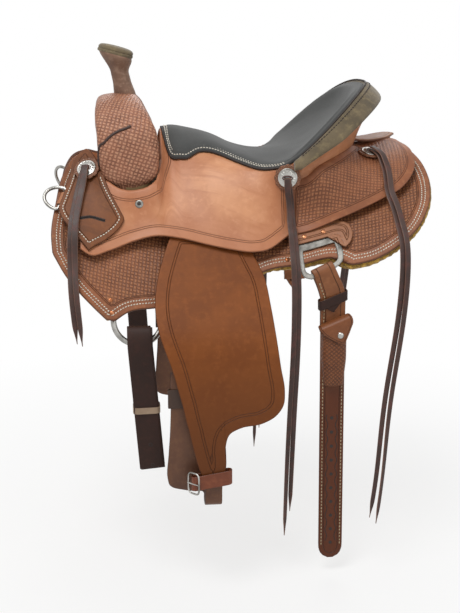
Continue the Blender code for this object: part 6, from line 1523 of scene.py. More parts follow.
def seat_point(x, y, h):
    """A point h off the seat's face, along its normal, over the plan point x, y."""
    x, y = np.broadcast_arrays(np.asarray(x, float), np.asarray(y, float))
    flat_x, flat_y, step = x.ravel(), y.ravel(), 1.5 * MM
    zx = (seat_height(flat_x + step, flat_y) - seat_height(flat_x - step, flat_y)) / (2 * step)
    zy = (seat_height(flat_x, flat_y + step) - seat_height(flat_x, flat_y - step)) / (2 * step)
    base = np.stack([flat_x, flat_y, seat_height(flat_x, flat_y)], -1)
    lift = np.broadcast_to(np.asarray(h, float), x.shape).reshape(-1, 1)
    return (base + unit(np.stack([-zx, -zy, 1 + 0 * zx], -1)) * lift).reshape(*x.shape, 3)


def make_seat_pad():
    """The cover swells from a thin sewn edge to full padding; behind, its edge climbs to the cantle's crest."""
    outline = pad_outline()
    plan = polar(outline, PAD_MIDDLE, pitch=9 * MM, step=4.5 * MM)
    start, far = plan[:1], np.linalg.norm(plan - plan[:1], axis=-1)
    behind = smooth_step(start[..., 0], 0.088, 0.103) * (1 - smooth_step(far, 0.03, 0.06))
    further = np.maximum(11 * MM - far, 0) * behind
    look = plan + (PAD_MIDDLE - plan) / np.linalg.norm(PAD_MIDDLE - start, axis=-1)[..., None] * further[..., None]
    base = seat_point(look[..., 0], look[..., 1], LAYER)
    up = unit(seat_point(look[..., 0], look[..., 1], LAYER + 1 * MM) - base)
    crest = rim(np.radians(np.linspace(-88, 88, 700)))
    nearest = ((start[0, :, None] - crest[None, :, :2]) ** 2).sum(-1).argmin(-1)
    crest_z = crest[nearest, 2][None] - 3 * MM
    reach = (9 + 21 * smooth_step(crest_z - base[2:3, :, 2], -5 * MM, 10 * MM)) * MM
    climb = behind * np.clip(1 - far / reach, 0, 1) ** 1.6
    climbed = np.concatenate([plan, (base[..., 2] * (1 - climb) + crest_z * climb)[..., None]], -1)
    base = climbed * behind[..., None] + base * (1 - behind[..., None])

    def place(a, b, h):
        """The cover's base raised by its edge's thickness and by h."""
        return base + up * (np.asarray(h, float) + PAD_EDGE)[..., None]

    def swell(a, b, inset):
        """The padding's rise, less a sewn channel 7 mm in, plus a slight ripple."""
        channel = PAD_CHANNEL_DEEP * np.exp(-(((inset - 7 * MM) / (1.6 * MM)) ** 2))
        ripple = 0.35 * MM * thin_wave(a * 60, b * 60, 3) * np.clip(inset / PAD_SWELL, 0, 1)
        return pad_rise(inset) - channel + ripple

    form = hide(place, plan[..., 0], plan[..., 1], PAD_EDGE, wrap=True, uv=plan, swell=swell)
    pad = piece("seat_pad", form, SUEDE, "saddle", slot="charcoal_suede")
    line = even(outline, 1.2 * MM, closed=True)
    line = np.roll(line, -int(np.argmax(line[:, 0])), 0)
    line = line[line[:, 0] < 0.09]
    edge = seat_point(line[:, 0], line[:, 1], LAYER + PAD_EDGE * 0.55)
    piece("seat_pad_rope_edge", rope(edge, 1.7 * MM, 0.22, 3.4 * MM), DARK_LEATHER_AND_SHADE, "saddle")
    rows = []
    for by in (4.2, 8.6):
        row = inside(outline, by * MM, 2.5 * MM)
        row = np.roll(row, -int(np.argmax(row[:, 0])), 0)
        row = row[row[:, 0] < 0.086]
        lift = LAYER + PAD_EDGE + pad_rise(by * MM) - PAD_CHANNEL_DEEP * (by > 5)
        base, facing = laid(seat_point, row, lift)
        rows.append(stitches(base, facing, pitch=5.2 * MM, thick=2.0 * MM))
    piece("seat_pad_stitching", together(*rows), THREAD, "saddle")


# Rear jockeys, plate, cantle


def make_rear_jockey(side, word):
    """The rear jockey: its surface over k and m, stepped finer towards the edges."""
    fine = np.array([0, 0.0005, 0.002, 0.005, 0.01])
    k = np.concatenate([fine, np.linspace(0.01, 0.99, 60)[1:-1], 1 - fine[::-1]])
    m = np.concatenate([[0, 0.001, 0.004, 0.01, 0.018], np.linspace(0.018, 0.982, 24)[1:-1],
                        [0.982, 0.99, 0.996, 0.999, 1.0]])
    k, m = np.meshgrid(k, m, indexing="ij")
    surface = rear_surface(k, m)
    uv = np.stack([surface[..., 0], np.abs(surface[..., 1]) - surface[..., 2]], -1)
    form = hide(rear_lifted_by, k, m, JOCKEY_THICK, uv=uv)
    piece(f"rear_jockey_{word}", form, REAR_TOOLED, "saddle", side, "tooled_leather")


def rear_lifted_by(k, m, h):
    """The rear jockey's surface lifted h, then let down by how far it has settled."""
    place = rear_lifted(k, m, np.asarray(h, float)[..., None])
    return place - settled(place[..., 0], place[..., 1])[..., None] * UP


def settled(x, y):
    """How far the rear jockeys' tail sags towards the loin behind the plate."""
    return 9 * MM * smooth_step(x, 0.255, 0.32) * (1 - smooth_step(np.abs(y), 0.025, 0.1))


PLATE_POINTS = [(0.2248, 0.03, 1), (0.262, 0.033), (0.29, 0.026), (0.309, 0.0, 1), (0.29, -0.026), (0.262, -0.033),
                (0.2248, -0.03, 1)]


def plate_terms(x, y):
    """The terms of a smooth height over plan points: powers of x and of the distance out."""
    x, y = np.asarray(x, float) - 0.26, np.abs(np.asarray(y, float))
    return np.stack([1 + 0 * x, x, x * x, x**3, y, y * y, x * y, x * x * y, x * y * y], -1)


k, m = np.meshgrid(np.linspace(0.72, 1, 40), np.linspace(0, 1, 40), indexing="ij")
PLATE_BED = rear_surface(k, m).reshape(-1, 3)
PLATE_BED = PLATE_BED[(PLATE_BED[:, 0] > 0.217) & (PLATE_BED[:, 0] < 0.314) & (PLATE_BED[:, 1] < 0.045)]
PLATE_HEIGHTS = np.linalg.lstsq(plate_terms(PLATE_BED[:, 0], PLATE_BED[:, 1]), PLATE_BED[:, 2], rcond=None)[0]


def over_plate(x, y, h):
    """A smooth height fitted to the rear jockeys' faces near the centre line, and the plate's own rise."""
    z = plate_terms(x, y) @ PLATE_HEIGHTS + JOCKEY_THICK + (8 - 17 * smooth_step(x, 0.222, 0.312)) * MM
    return np.stack(np.broadcast_arrays(x, y, z + np.asarray(h, float)), -1)


def make_plate():
    """The plate over the join of the rear jockeys."""
    form = cut(spread(PLATE_POINTS, 8, True), (0.262, 0.0), over_plate, JOCKEY_THICK, pitch=4 * MM, step=2.5 * MM)
    piece("rear_jockey_plate", form, PLATE_FINISH, "saddle", slot="smooth_leather")


# The plate: pale russet leather with one tooled line round it
PLATE_FINISH = leather("bordered plate leather", "b08062", "936548", "c79a7b", rough=0.5, lines=(6 * MM,),
                       edge="5a3828", edge_wide=1.2 * MM)
BINDING_LEAN = math.radians(42)


def binding_frame(angle):
    """At an angle round the crest: its point, the way down the binding, its face's direction, its width."""
    crest, out, up = rim(angle), rim_out(angle), UP
    fade = 1 - 0.35 * smooth_step(np.abs(angle), math.radians(60), math.radians(88))
    lean = unit(out * math.cos(BINDING_LEAN) - up * math.sin(BINDING_LEAN))
    face = unit(out * math.sin(BINDING_LEAN) + up * math.cos(BINDING_LEAN))
    return crest, lean, face, BINDING_WIDE * fade


def make_binding():
    """The roughout roll round the cantle, at each angle a flat oval.

    A point is crest + lean * wide (1 + cos t) / 2 + face * thick sin t, cosine and sine boxed by a power of 0.8.
    """
    angle = np.radians(np.linspace(-88, 88, 150))
    crest, lean, face, wide = binding_frame(angle)
    c, s = boxed(all_round(36), 0.8)
    ripple = 1 + 0.03 * thin_wave(angle * 30, 0 * angle, 4)
    for at, step in ((0, 1), (-1, -1)):
        crest[at] = crest[at + step] + unit(crest[at + step] - crest[at + 6 * step]) * 13 * MM
        wide[at] *= 0.6
    points = crest[:, None] + lean[:, None] * (wide[:, None] * (1 + c) / 2)[..., None]
    points = points + face[:, None] * (BINDING_THICK * ripple[:, None] * s - 1 * MM)[..., None]
    piece("cantle_binding", grid(points, wrap=True, caps=True, inset=FAR_INSIDE), ROUGHOUT, "saddle",
          slot="roughout_leather")
    crest, lean, face, wide = binding_frame(np.radians(np.linspace(-86, 86, 400)))
    share = 0.2
    lift = BINDING_THICK * math.sin(math.acos(2 * share - 1)) ** 0.8 - 0.3 * MM
    row = stitches(crest + lean * (wide * share)[:, None] + face * lift, face, pitch=6 * MM, thick=2.0 * MM)
    piece("binding_stitching", row, DARK_LEATHER_AND_SHADE, "saddle")
    groove = even(crest - lean * 0.4 * MM + face * 2.4 * MM, 1.3 * MM)
    piece("cantle_welt", rope(groove, 1.4 * MM, 0.2, 4 * MM), DARK_LEATHER_AND_SHADE, "saddle")


def make_cantle_back():
    """The fillet of leather from the rear jockeys up under the binding: a hollow curve between two lines."""
    angle = np.radians(np.linspace(-87, 87, 150))
    crest, lean, face, wide = binding_frame(angle)
    out = rim_out(angle)
    top = crest + lean * (wide * 0.8)[:, None] - face * (BINDING_THICK * 0.55)
    share = np.clip(1 - np.abs(angle) / math.radians(78), 0.015, 0.985)
    low = rear_lifted(share, 0.955 + 0 * share, np.full((len(share), 1), 0.6 * MM))
    low = outward(low, angle)
    w = np.linspace(0, 1, 14)
    pull = np.sin(w * math.pi) * 3.5 * MM

    def place(a, b, h):
        """Straight from the lower line to the upper one, pulled in by half a sine wave, and raised h."""
        base = low[:, None] * (1 - w)[:, None] + top[:, None] * w[:, None] - out[:, None] * pull[:, None]
        tilt = unit(np.cross(np.cross(top - low, out), top - low))
        return base + tilt[:, None] * np.asarray(h, float)[..., None]

    a, b = np.meshgrid(angle * 0.15, w, indexing="ij")
    piece("cantle_back", hide(place, a, b, 4 * MM, uv=np.stack([a, b * 0.1], -1)), PLAIN, "saddle",
          slot="tooled_leather")


# Fork cover, its welt, the horn


def make_fork():
    """The fork's cover: a ring of the arch at each point of its middle line, its feet cut level with the bars."""
    line = spread(FORK_SECTIONS, 9)
    left = line[::-1][1:].copy()
    left[:, 0] *= -1
    line = np.concatenate([line, left])
    turns = all_round(72)

    def place(a, b, h):
        """The rings h under the face; where h varies, the share of the way from the face to 4 mm under it."""
        rings = [fork_ring_at(line, i, -row[0], turns) for i, row in enumerate(np.broadcast_to(h, a.shape))]
        rings = np.array(rings)
        flat = np.broadcast_to(np.asarray(h, float), a.shape)
        if np.ptp(flat) > 1e-9:
            outer = np.array([fork_ring_at(line, i, 0.0, turns) for i in range(len(line))])
            inner = np.array([fork_ring_at(line, i, 4 * MM, turns) for i in range(len(line))])
            share = (-flat / (4 * MM))[..., None]
            rings = outer * (1 - share) + inner * share
        for i in (0, -1):
            rings[i][:, 2] = flank_height(rings[i][:, 0], rings[i][:, 1], BAR_TOP + LAYER)
        return rings

    a, b = np.meshgrid(lengths(line[:, :2]), turns, indexing="ij")
    outer = place(a, b, 0 * a)
    round_way = np.linalg.norm(np.diff(outer, axis=1), axis=2).mean(0)
    u = np.concatenate([[0], np.cumsum(round_way)])
    uv = np.stack([np.broadcast_to(u, a.shape), a], -1)
    form = hide(place, a, b, 4 * MM, wrap=True, uv=uv)
    piece("fork_cover", form, FORK_TOOLED, "saddle", slot="tooled_leather")


# The welt across each side of the fork: height, share from its front (-1) to its back (1)
WELT = [(0.11, 0.16), (0.107, 0.02), (0.0995, -0.38), (0.079, -0.8), (0.056, -0.985), (0.036, -1.0)]


def make_welt(side, word):
    """A dark rolled strip whose points are the fork cover's own ring points at each height."""
    path = spread(WELT, 10)
    half = spread(FORK_SECTIONS, 9)[:50]
    rows = np.stack([np.interp(path[:, 0], half[:, 1], half[:, i]) for i in range(4)], -1)
    turns = np.arccos(np.clip(np.sign(path[:, 1]) * np.abs(path[:, 1]) ** (1 / FORK_SQUARE), -1, 1))
    points = [fork_ring_at(rows, i, -0.4 * MM, turns[i : i + 1])[0] for i in range(len(rows))]
    line = even(eased(np.array(points), 6), 2 * MM)
    piece(f"fork_welt_{word}", tube(line, 2.3 * MM, 10), WELT_FINISH, "saddle", side=side)


# The welt: dark rolled leather, evenly worn
WELT_FINISH = leather("dark welt leather", "4a3026", "33211b", "63443a", rough=0.5, edge="33211b")


# The cap's section: share of its width, height in mm
HORN_CAP = [(0.0, 0.0), (0.84, -1.0), (0.92, -1.6), (0.985, -0.6), (1.0, 1.6), (0.985, 3.6), (0.965, 4.4),
            (0.985, 5.2), (0.995, 7.0), (0.975, 8.8), (0.93, 10.6), (0.86, 12.0), (0.75, 13.0), (0.5, 14.0),
            (0.2, 14.4), (0.0, 14.4)]


def make_horn():
    """The horn's wrap with its ridges and lap, then its cap: rings of a share of its width at heights in mm."""
    t = np.concatenate([np.linspace(-0.12, 0.95, 30), [0.975, 0.99, 1.0]])
    turns = all_round(56)
    a, b = np.meshgrid(t, turns, indexing="ij")

    def place(a, b, h):
        """The horn's face with its ridges and lap, which its inner side has not."""
        h = np.asarray(h, float)
        ridge = 0.55 * MM * thin_wave(np.cos(b) * 6 + a * 1.5, np.sin(b) * 6, 7) * (h > -3 * MM)
        lap = 0.9 * MM * smooth_step(np.abs(((b + a * 1.1) % (2 * math.pi)) - 1.2), 0.1, 0.0) * (h > -3 * MM)
        return horn_place(a, np.cos(b), np.sin(b), h + ridge - lap)

    form = hide(place, a, b, 6 * MM, wrap=True, uv=np.stack([b * 0.02, a * 0.07], -1), soft=1.2 * MM)
    piece("horn_wrap", form, WRAP, "saddle", slot="horn_wrap_leather")
    turn = all_round(96)
    rings = []
    for share, up in HORN_CAP:
        ruffle = 1 + 0.018 * np.sin(turn * 30) * (0.9 < share) * (up < 4.5)
        u, v = share * ruffle * HORN_CAP_LONG / 2 * np.cos(turn), share * ruffle * HORN_CAP_WIDE / 2 * np.sin(turn)
        lift = up * MM + TOUCH
        rings.append(np.stack([HORN_TOP[0] + u * math.cos(HORN_TILT) + lift * math.sin(HORN_TILT), v,
                               HORN_TOP[2] - u * math.sin(HORN_TILT) + lift * math.cos(HORN_TILT)], -1))
    piece("horn_cap", grid(np.array(rings), wrap=True, inset=FAR_INSIDE), ROUGHOUT, "saddle", slot="roughout_leather")


make_seat_leather()
make_seat_pad()
for side, word in SIDES:
    make_rear_jockey(side, word)
make_plate()
make_cantle_back()
make_binding()
make_fork()
for side, word in SIDES:
    make_welt(side, word)
make_horn()


# Latigo keeper: a diamond of leather laced over the front jockey on the near side

KEEPER_POINTS = [(-0.262, 0.006), (-0.243, 0.02), (-0.226, 0.066), (-0.206, 0.103), (-0.2, 0.121),
                 (-0.206, 0.138), (-0.226, 0.166), (-0.262, 0.196, 1), (-0.292, 0.166), (-0.309, 0.142),
                 (-0.312, 0.13), (-0.307, 0.114), (-0.294, 0.074), (-0.279, 0.02)]
# The keeper: oiled leather, its tan darkened as painted shade, drawn marks along it
KEEPER_FINISH = leather("oiled keeper leather", "774421", "583219", "925c34", rough=0.55, ior=1.38, edge="4a2c1d",
                        edge_wide=2.2 * MM, streaks=0.6, lines=(11 * MM,))


def over_keeper(x, s, h):
    """A point h above the keeper's face."""
    return over_jockey(x, s, KEEPER_GAP + KEEPER_THICK + np.asarray(h, float))


def make_keeper():
    """The keeper, its stitches, and its slit as a dark strip of painted shade between two lips."""
    outline = spread(KEEPER_POINTS, 8, True)
    piece("latigo_keeper", cut(outline, (-0.258, 0.11), over_keeper, KEEPER_THICK, pitch=5 * MM, step=3 * MM),
          KEEPER_FINISH, "saddle", NEAR, "tooled_leather")
    row = sewn(over_keeper, outline, 7.5 * MM, lambda line: line[:, 1] > 0.055, thick=2.1 * MM, pitch=5.4 * MM)
    piece("keeper_stitching", row, THREAD, "saddle", side=NEAR)
    base, out = laid(over_keeper, spread([(-0.2755, 0.15), (-0.254, 0.1448), (-0.2325, 0.1395)], 12), 0.0)
    lips = together(tube(base + [0, 0, 1.6 * MM], 1.5 * MM, 8), tube(base - [0, 0, 1.6 * MM], 1.5 * MM, 8))
    piece("keeper_slit", together(strap(base - out * 1.0 * MM, out, 2.6 * MM, 1.2 * MM, across=3), lips), DARK_LEATHER_AND_SHADE,
          "saddle", side=NEAR)


# Breast collar dees in their leather chapes

BREAST_LONG, BREAST_REACH = 0.04, 0.028
BREAST_REST = {NEAR: 0.0, OFF: math.radians(48)}


def make_breast_dee(side, word):
    """The dee, a straight leg and half an ellipse turned out by its rest angle; the chape folds round the leg."""
    centre, bar, reach, out = breast_frame()
    rest = BREAST_REST[side]
    reach = reach * math.cos(rest) + out * math.sin(rest)
    turn = np.linspace(0.22, math.pi - 0.22, 24)
    half = BREAST_LONG / 2
    bow = centre + bar * (half * 1.12 * np.cos(turn))[:, None]
    bow = bow + reach * (4 * MM + BREAST_REACH * np.sin(turn))[:, None]
    leg = centre + bar * (half * np.linspace(-1, 1, 12))[:, None]
    line = spread(np.concatenate([leg, bow]), 2, True)
    piece(f"breast_dee_{word}", tube(line, BREAST_WIRE / 2, 12, closed=True), STEEL, f"breast_dee_{word}", side,
          "stainless_steel")
    centre, bar, reach, out = breast_frame()
    inner = BREAST_WIRE / 2 + TOUCH
    thick = CHAPE_THICK
    turn = np.radians(np.linspace(-90, 90, 12))
    fold = centre + reach * (inner * np.cos(turn))[:, None] + out * (inner * np.sin(turn))[:, None]
    path = [centre - reach * 40 * MM - out * inner, centre - reach * 12 * MM - out * inner, *fold,
            centre - reach * 12 * MM + out * (inner - 0.3 * MM),
            centre - reach * 36 * MM - out * (inner - thick - TOUCH)]
    facing = [-out, -out, *(reach * np.cos(turn)[:, None] + out * np.sin(turn)[:, None]), out, out]
    path = np.array(path)
    form = strap(resampled(path, path, 60), resampled(np.array(facing), path, 60), 26 * MM, thick, step=3 * MM)
    piece(f"breast_chape_{word}", form, PLAIN, "saddle", side, "tooled_leather")


def resampled(rows, path, count):
    """Rows given at a path's points, read at equal steps along it."""
    at = lengths(path)
    return read_at(np.linspace(0, at[-1], count), at, rows)


# Fenders: height, front edge, back edge

FENDER_EDGES = [
    (-0.068, -0.118, 0.004), (-0.085, -0.126, 0.012), (-0.11, -0.136, 0.024), (-0.14, -0.146, 0.038),
    (-0.185, -0.152, 0.046), (-0.225, -0.146, 0.051), (-0.25, -0.138, 0.054), (-0.281, -0.127, 0.058),
    (-0.326, -0.115, 0.065), (-0.349, -0.109, 0.063), (-0.368, -0.105, 0.05), (-0.381, -0.102, 0.026),
    (-0.388, -0.1, -0.012), (-0.398, -0.098, -0.03), (-0.42, -0.093, -0.037), (-0.452, -0.085, -0.036),
    (-0.488, -0.072, -0.044)]


def make_fender(side, word):
    """The fender, cut to its two edges and laid on its own surface."""
    rows = np.array(FENDER_EDGES)
    front, back = rows[:, [1, 0]], rows[::-1][:, [2, 0]]
    outline = np.concatenate([spread(front, 6), spread(back, 6)])
    form = cut(outline, (-0.045, -0.225), over_fender, FENDER_THICK, pitch=8 * MM, step=4 * MM)
    piece(f"fender_{word}", form, FENDER, f"fender_{word}", side, "fender_leather")


# Stirrup leather behind the fender, its loop and inner leg, and what holds them

OUTER_LEG = [(-0.078, -0.083, -0.021), (-0.14, -0.084, -0.022), (-0.225, -0.086, -0.024), (-0.281, -0.088, -0.027),
             (-0.326, -0.088, -0.03), (-0.381, -0.088, -0.034), (-0.452, -0.084, -0.04), (-0.5, -0.073, -0.043)]
INNER_LEG = [(-0.508, -0.104, -0.046), (-0.498, -0.132, -0.054), (-0.484, -0.136, -0.062), (-0.44, -0.134, -0.068),
             (-0.4, -0.131, -0.069), (-0.345, -0.129, -0.067), (-0.29, -0.129, -0.067)]
LOOP_RADIUS = 13.5 * MM
LEG_DEPTH = FENDER_THICK + TOUCH + STRAP_THICK / 2


def outer_leg_y(z):
    """The y of the outer leg's middle, behind the fender, at height z."""
    return float(fender_at(z, LEG_DEPTH)[0])


def inner_leg_y():
    """The y of the inner leg's middle: the loop's width, less 6 mm, inside the outer leg."""
    return outer_leg_y(-0.5) - 2 * LOOP_RADIUS + 6 * MM


def edged(rows, thick):
    """A strap seen from the side: rows of y, z, front x, back x; its point is front + (back - front) * w, moved h."""
    rows = np.array(rows, float)
    line = spread(rows, 5)
    way = unit(np.gradient(line[:, :2], axis=0))
    normal = np.stack([way[:, 1], -way[:, 0]], 1)
    at = lengths(line[:, :2])
    edge = np.array([0, 0.006, 0.024, 0.05])
    w = np.concatenate([edge, np.linspace(0.05, 0.95, 9)[1:-1], 1 - edge[::-1]])
    a, b = np.meshgrid(at, w, indexing="ij")

    def place(_, share, h):
        """The point a share of the way from front to back edge, h off the strap's middle."""
        lift = np.asarray(h, float) + thick / 2
        x = line[:, 2:3] + (line[:, 3:4] - line[:, 2:3]) * share
        return np.stack([x, line[:, 0:1] + normal[:, 0:1] * lift, line[:, 1:2] + normal[:, 1:2] * lift], -1)

    x = line[:, 2:3] + (line[:, 3:4] - line[:, 2:3]) * b
    return hide(place, a, b, thick, uv=np.stack([x, a], -1))


def make_stirrup_leather(side, word):
    """From the bars down behind the fender, round half a circle and up again, as rows seen from the side."""
    rows = []
    for share in (1.0, 0.85):
        s = FENDER_TOP_S + (LEATHER_TOP_S - FENDER_TOP_S) * share
        y, z = flank(SWING_X, s, BAR_TOP + 1.7 * MM + STRAP_THICK / 2)[1:]
        rows.append((float(y), float(z), SWING_X - 4 * MM, SWING_X + 4 * MM))
    for z, left, right in OUTER_LEG:
        y, low = fender_at(z, LEG_DEPTH)
        rows.append((float(y), float(low), left, right))
    centre_y, centre_z = rows[-1][0] - LOOP_RADIUS, rows[-1][1] - 14 * MM
    for turn in np.radians([0, -35, -70, -110, -145, -180]):
        y, z = centre_y + LOOP_RADIUS * math.cos(turn), centre_z + LOOP_RADIUS * math.sin(turn)
        rows.append((y, z, -0.073, -0.043))
    for z, left, right in INNER_LEG:
        rows.append((inner_leg_y() - 6 * MM * float(smooth_step(-z, 0.44, 0.508)), z, left, right))
    piece(f"stirrup_leather_{word}", edged(rows, STRAP_THICK), LEG_FINISH, f"fender_{word}", side, "tooled_leather")


# Stirrup leathers: oiled dark brown, smooth and slightly glossy
LEG_FINISH = leather("oiled stirrup leather", "64402b", "4c2d1c", "7c5438", rough=0.45, edge="33201a",
                     edge_wide=1.4 * MM)
# Sleeves: the same leather, greyer where it rubs
SLEEVE_FINISH = leather("smooth sleeve leather", "5e4430", "483020", "77583f", rough=0.45, edge="33201a")


SLEEVE_Z, SLEEVE_FRONT_X, SLEEVE_BACK_X = -0.337, -0.132, -0.0655


def make_sleeve(side, word):
    """A flat tube round the inner leg: a rounded box, wall 1.6 mm."""
    y, deep = inner_leg_y(), STRAP_THICK / 2 + TOUCH
    middle, half = (SLEEVE_FRONT_X + SLEEVE_BACK_X) / 2, (SLEEVE_BACK_X - SLEEVE_FRONT_X) / 2
    c, s = boxed(all_round(48), 0.18)
    rings = []
    for up, out in ((17, 0.1), (17, 0.9), (16.6, 1.5), (15.8, 1.6), (12, 1.7), (0, 1.6), (-12, 1.7), (-15.8, 1.6),
                    (-16.6, 1.5), (-17, 0.9), (-17, 0.1), (-12, 0.0), (0, 0.0), (12, 0.0), (17, 0.1)):
        x, z = middle + (half + out * MM) * c, SLEEVE_Z + up * MM + 0 * c
        rings.append(np.stack([x, y + (deep + out * MM) * s, z], -1))
    piece(f"stirrup_sleeve_{word}", grid(np.array(rings), wrap=True), SLEEVE_FINISH, f"sleeve_{word}", side,
          "smooth_leather")


HOBBLE_Z, HOBBLE_WIDE, HOBBLE_TILT, HOBBLE_FRONT_X = -0.478, 26 * MM, 0.16, -0.092
# How square a strap goes round what it holds
STRAP_SQUARE = 0.3


def make_hobble(side, word):
    """A strap round the fender's tail and both legs, a rounded box in plan that tilts; then its buckle."""
    high, low = float(fender_at(HOBBLE_Z, 0.0)[0]), outer_leg_y(HOBBLE_Z) - STRAP_THICK / 2
    gap, thick = 1.2 * MM, 3.0 * MM
    middle_x, middle_y = (HOBBLE_FRONT_X - 0.03) / 2, (high + low) / 2
    half_x, half_y = 0.031 + gap, (high - low) / 2 + gap
    c, s = boxed(all_round(72), STRAP_SQUARE)
    ring = np.stack([middle_x + half_x * c, middle_y + half_y * s], 1)
    form = round_strap(ring, 2.5 * MM, HOBBLE_Z, HOBBLE_TILT, middle_x, HOBBLE_WIDE, thick)
    body = f"fender_{word}"
    piece(f"hobble_strap_{word}", form, HOBBLE, body, side, "hobble_leather")
    facing, sideways = np.array([-1, 1, 0]) * math.sqrt(0.5), np.array([1, 1, 0]) * math.sqrt(0.5)
    tilted = HOBBLE_Z + HOBBLE_TILT * (HOBBLE_FRONT_X - middle_x)
    corner = np.array([HOBBLE_FRONT_X - gap - thick, high + gap + thick, tilted])
    centre = corner + facing * (1.6 * MM + TOUCH - 8.5 * MM) - sideways * 1.5 * MM
    c, s = boxed(all_round(64), 0.45)
    line = centre + sideways * (c * 12 * MM)[:, None] + UP * (s * 19 * MM)[:, None]
    frame_bar = tube(even(line, 1.5 * MM, True), 1.6 * MM, 10, closed=True)
    tongue = spread([centre - sideways * 12 * MM + facing * 1.8 * MM, centre + facing * 2.4 * MM,
                     centre + sideways * 12 * MM + facing * 2.2 * MM], 8)
    piece(f"hobble_buckle_{word}", together(frame_bar, tube(tongue, 1.2 * MM, 8)), SILVER, body, side,
          "stainless_steel")


# Latigo and off billet: a folded strap hung over the rigging ring's lower bar


def hung(bar, thick, clear, crown, long, short, lean, wide, shift):
    """Inner line of a fold over a bar: up the outside, over in half an ellipse, down the inside."""
    rows, facing = [], []
    for t in np.linspace(1, 0, 14):
        rows.append((bar[1] + clear + lean * t, bar[2] - long * t))
        facing.append((1.0, 0.0))
    for turn in np.radians(np.arange(12, 180, 12)):
        rows.append((bar[1] + clear * math.cos(turn), bar[2] + crown * math.sin(turn)))
        facing.append((math.cos(turn) / clear, math.sin(turn) / crown))
    for t in np.linspace(0, 1, 14):
        rows.append((bar[1] - clear + lean * t, bar[2] - short * t))
        facing.append((-1.0, 0.0))
    rows, facing = np.array(rows), unit(np.array(facing))
    x = bar[0] + shift * np.maximum(0, bar[2] - rows[:, 1])
    path = np.column_stack([x, rows])
    return strap(path, np.column_stack([0 * x, facing]), wide, thick, step=5 * MM)


def ring_bar():
    """The middle of the rigging ring's lower bar."""
    centre, down, _ = ring_frame()
    return centre + down * (RING_OUTSIDE - RING_WIRE) / 2


LATIGO_LONG, LATIGO_WIDE, LATIGO_CLEAR, LATIGO_CROWN, LATIGO_DEEP = 0.226, 0.042, 9.4 * MM, 26 * MM, 6.4 * MM
LATIGO_SHIFT, LATIGO_TIE_DROP = 0.085, 0.116
# Each ply of the latigo: askew, longer, narrower, in mm
LATIGO_PLIES = ((0.0, 0.0, 0.0), (1.6, -7, 1.0), (-0.9, -3, 1.6))
# A punched hole's dark disc, painted shade in the hole: radius and height
LATIGO_HOLE = [(3.4 * MM, -0.8 * MM), (3.4 * MM, 0.25 * MM), (2.4 * MM, 0.3 * MM), (2.2 * MM, -0.4 * MM)]
BILLET_HOLE = [(3.1 * MM, -1.0 * MM), (3.1 * MM, 0.15 * MM), (2.6 * MM, 0.25 * MM), (1.6 * MM, 0.2 * MM)]


def make_latigo():
    """The latigo is wound three times through the ring: three plies, each a little askew, in a tie."""
    bar = ring_bar()
    bar[0] += 2 * MM
    ply = LATIGO_DEEP / 3
    shapes = []
    for i, (askew, more, narrow) in enumerate(LATIGO_PLIES):
        at = bar + np.array([askew * MM, 0, 0])
        long = LATIGO_LONG + more * MM
        shapes.append(hung(at, ply * 0.96, LATIGO_CLEAR + ply * i, LATIGO_CROWN + ply * i, long, long - 12 * MM,
                           -6 * MM, LATIGO_WIDE - narrow * MM, LATIGO_SHIFT - 0.004 * i))
    piece("latigo", together(*shapes), LATIGO, "latigo", NEAR, "latigo_leather")
    x = bar[0] + LATIGO_SHIFT * LATIGO_TIE_DROP
    deep = LATIGO_CLEAR + LATIGO_DEEP + 0.3 * MM
    c, s = boxed(all_round(72), STRAP_SQUARE)
    ring = np.stack([x + (LATIGO_WIDE / 2 + 1.2 * MM) * c, bar[1] - 3 * MM + deep * s], 1)
    tie = round_strap(ring, 2 * MM, bar[2] - LATIGO_TIE_DROP, 0.02, x, 12 * MM, 1.4 * MM)
    piece("latigo_tie", tie, TIE_FINISH, "latigo", side=NEAR)
    # Each punched hole: a dark disc of painted shade
    holes = []
    for drop in (0.179, 0.217):
        at = bar + np.array([LATIGO_SHIFT * drop, LATIGO_CLEAR + LATIGO_DEEP - 6 * MM * drop / LATIGO_LONG, -drop])
        holes.append(turned(LATIGO_HOLE, at, (0, 1, 0), around=20))
    piece("latigo_holes", together(*holes), DARK_LEATHER_AND_SHADE, "latigo", side=NEAR)


# The latigo's tie: pale rawhide-like leather, dry and matt
TIE_FINISH = leather("pale tie leather", "a48c74", "7f6853", "c0aa92", rough=0.6, edge="6b5444")


def make_off_billet():
    """The off billet: one fold of strap over the ring's lower bar."""
    bar = ring_bar()
    bar[0] += 4 * MM
    form = hung(bar, STRAP_THICK, 8.2 * MM, 14 * MM, 0.21, 0.19, 6 * MM, 40 * MM, 0.06)
    piece("off_billet", form, LATIGO, "off_billet", OFF, "latigo_leather")


# Rear billets

BILLET_LENGTHS = {NEAR: 0.54, OFF: 0.12}
HOLES_FROM, HOLES_APART = 0.268, 0.0268


def billet_width(drop):
    """The billet's width: narrow at the dee, eased to its full width 40 mm below."""
    return BILLET_TOP_WIDE + (BILLET_WIDE - BILLET_TOP_WIDE) * smooth_step(drop, 0.0, 0.04)


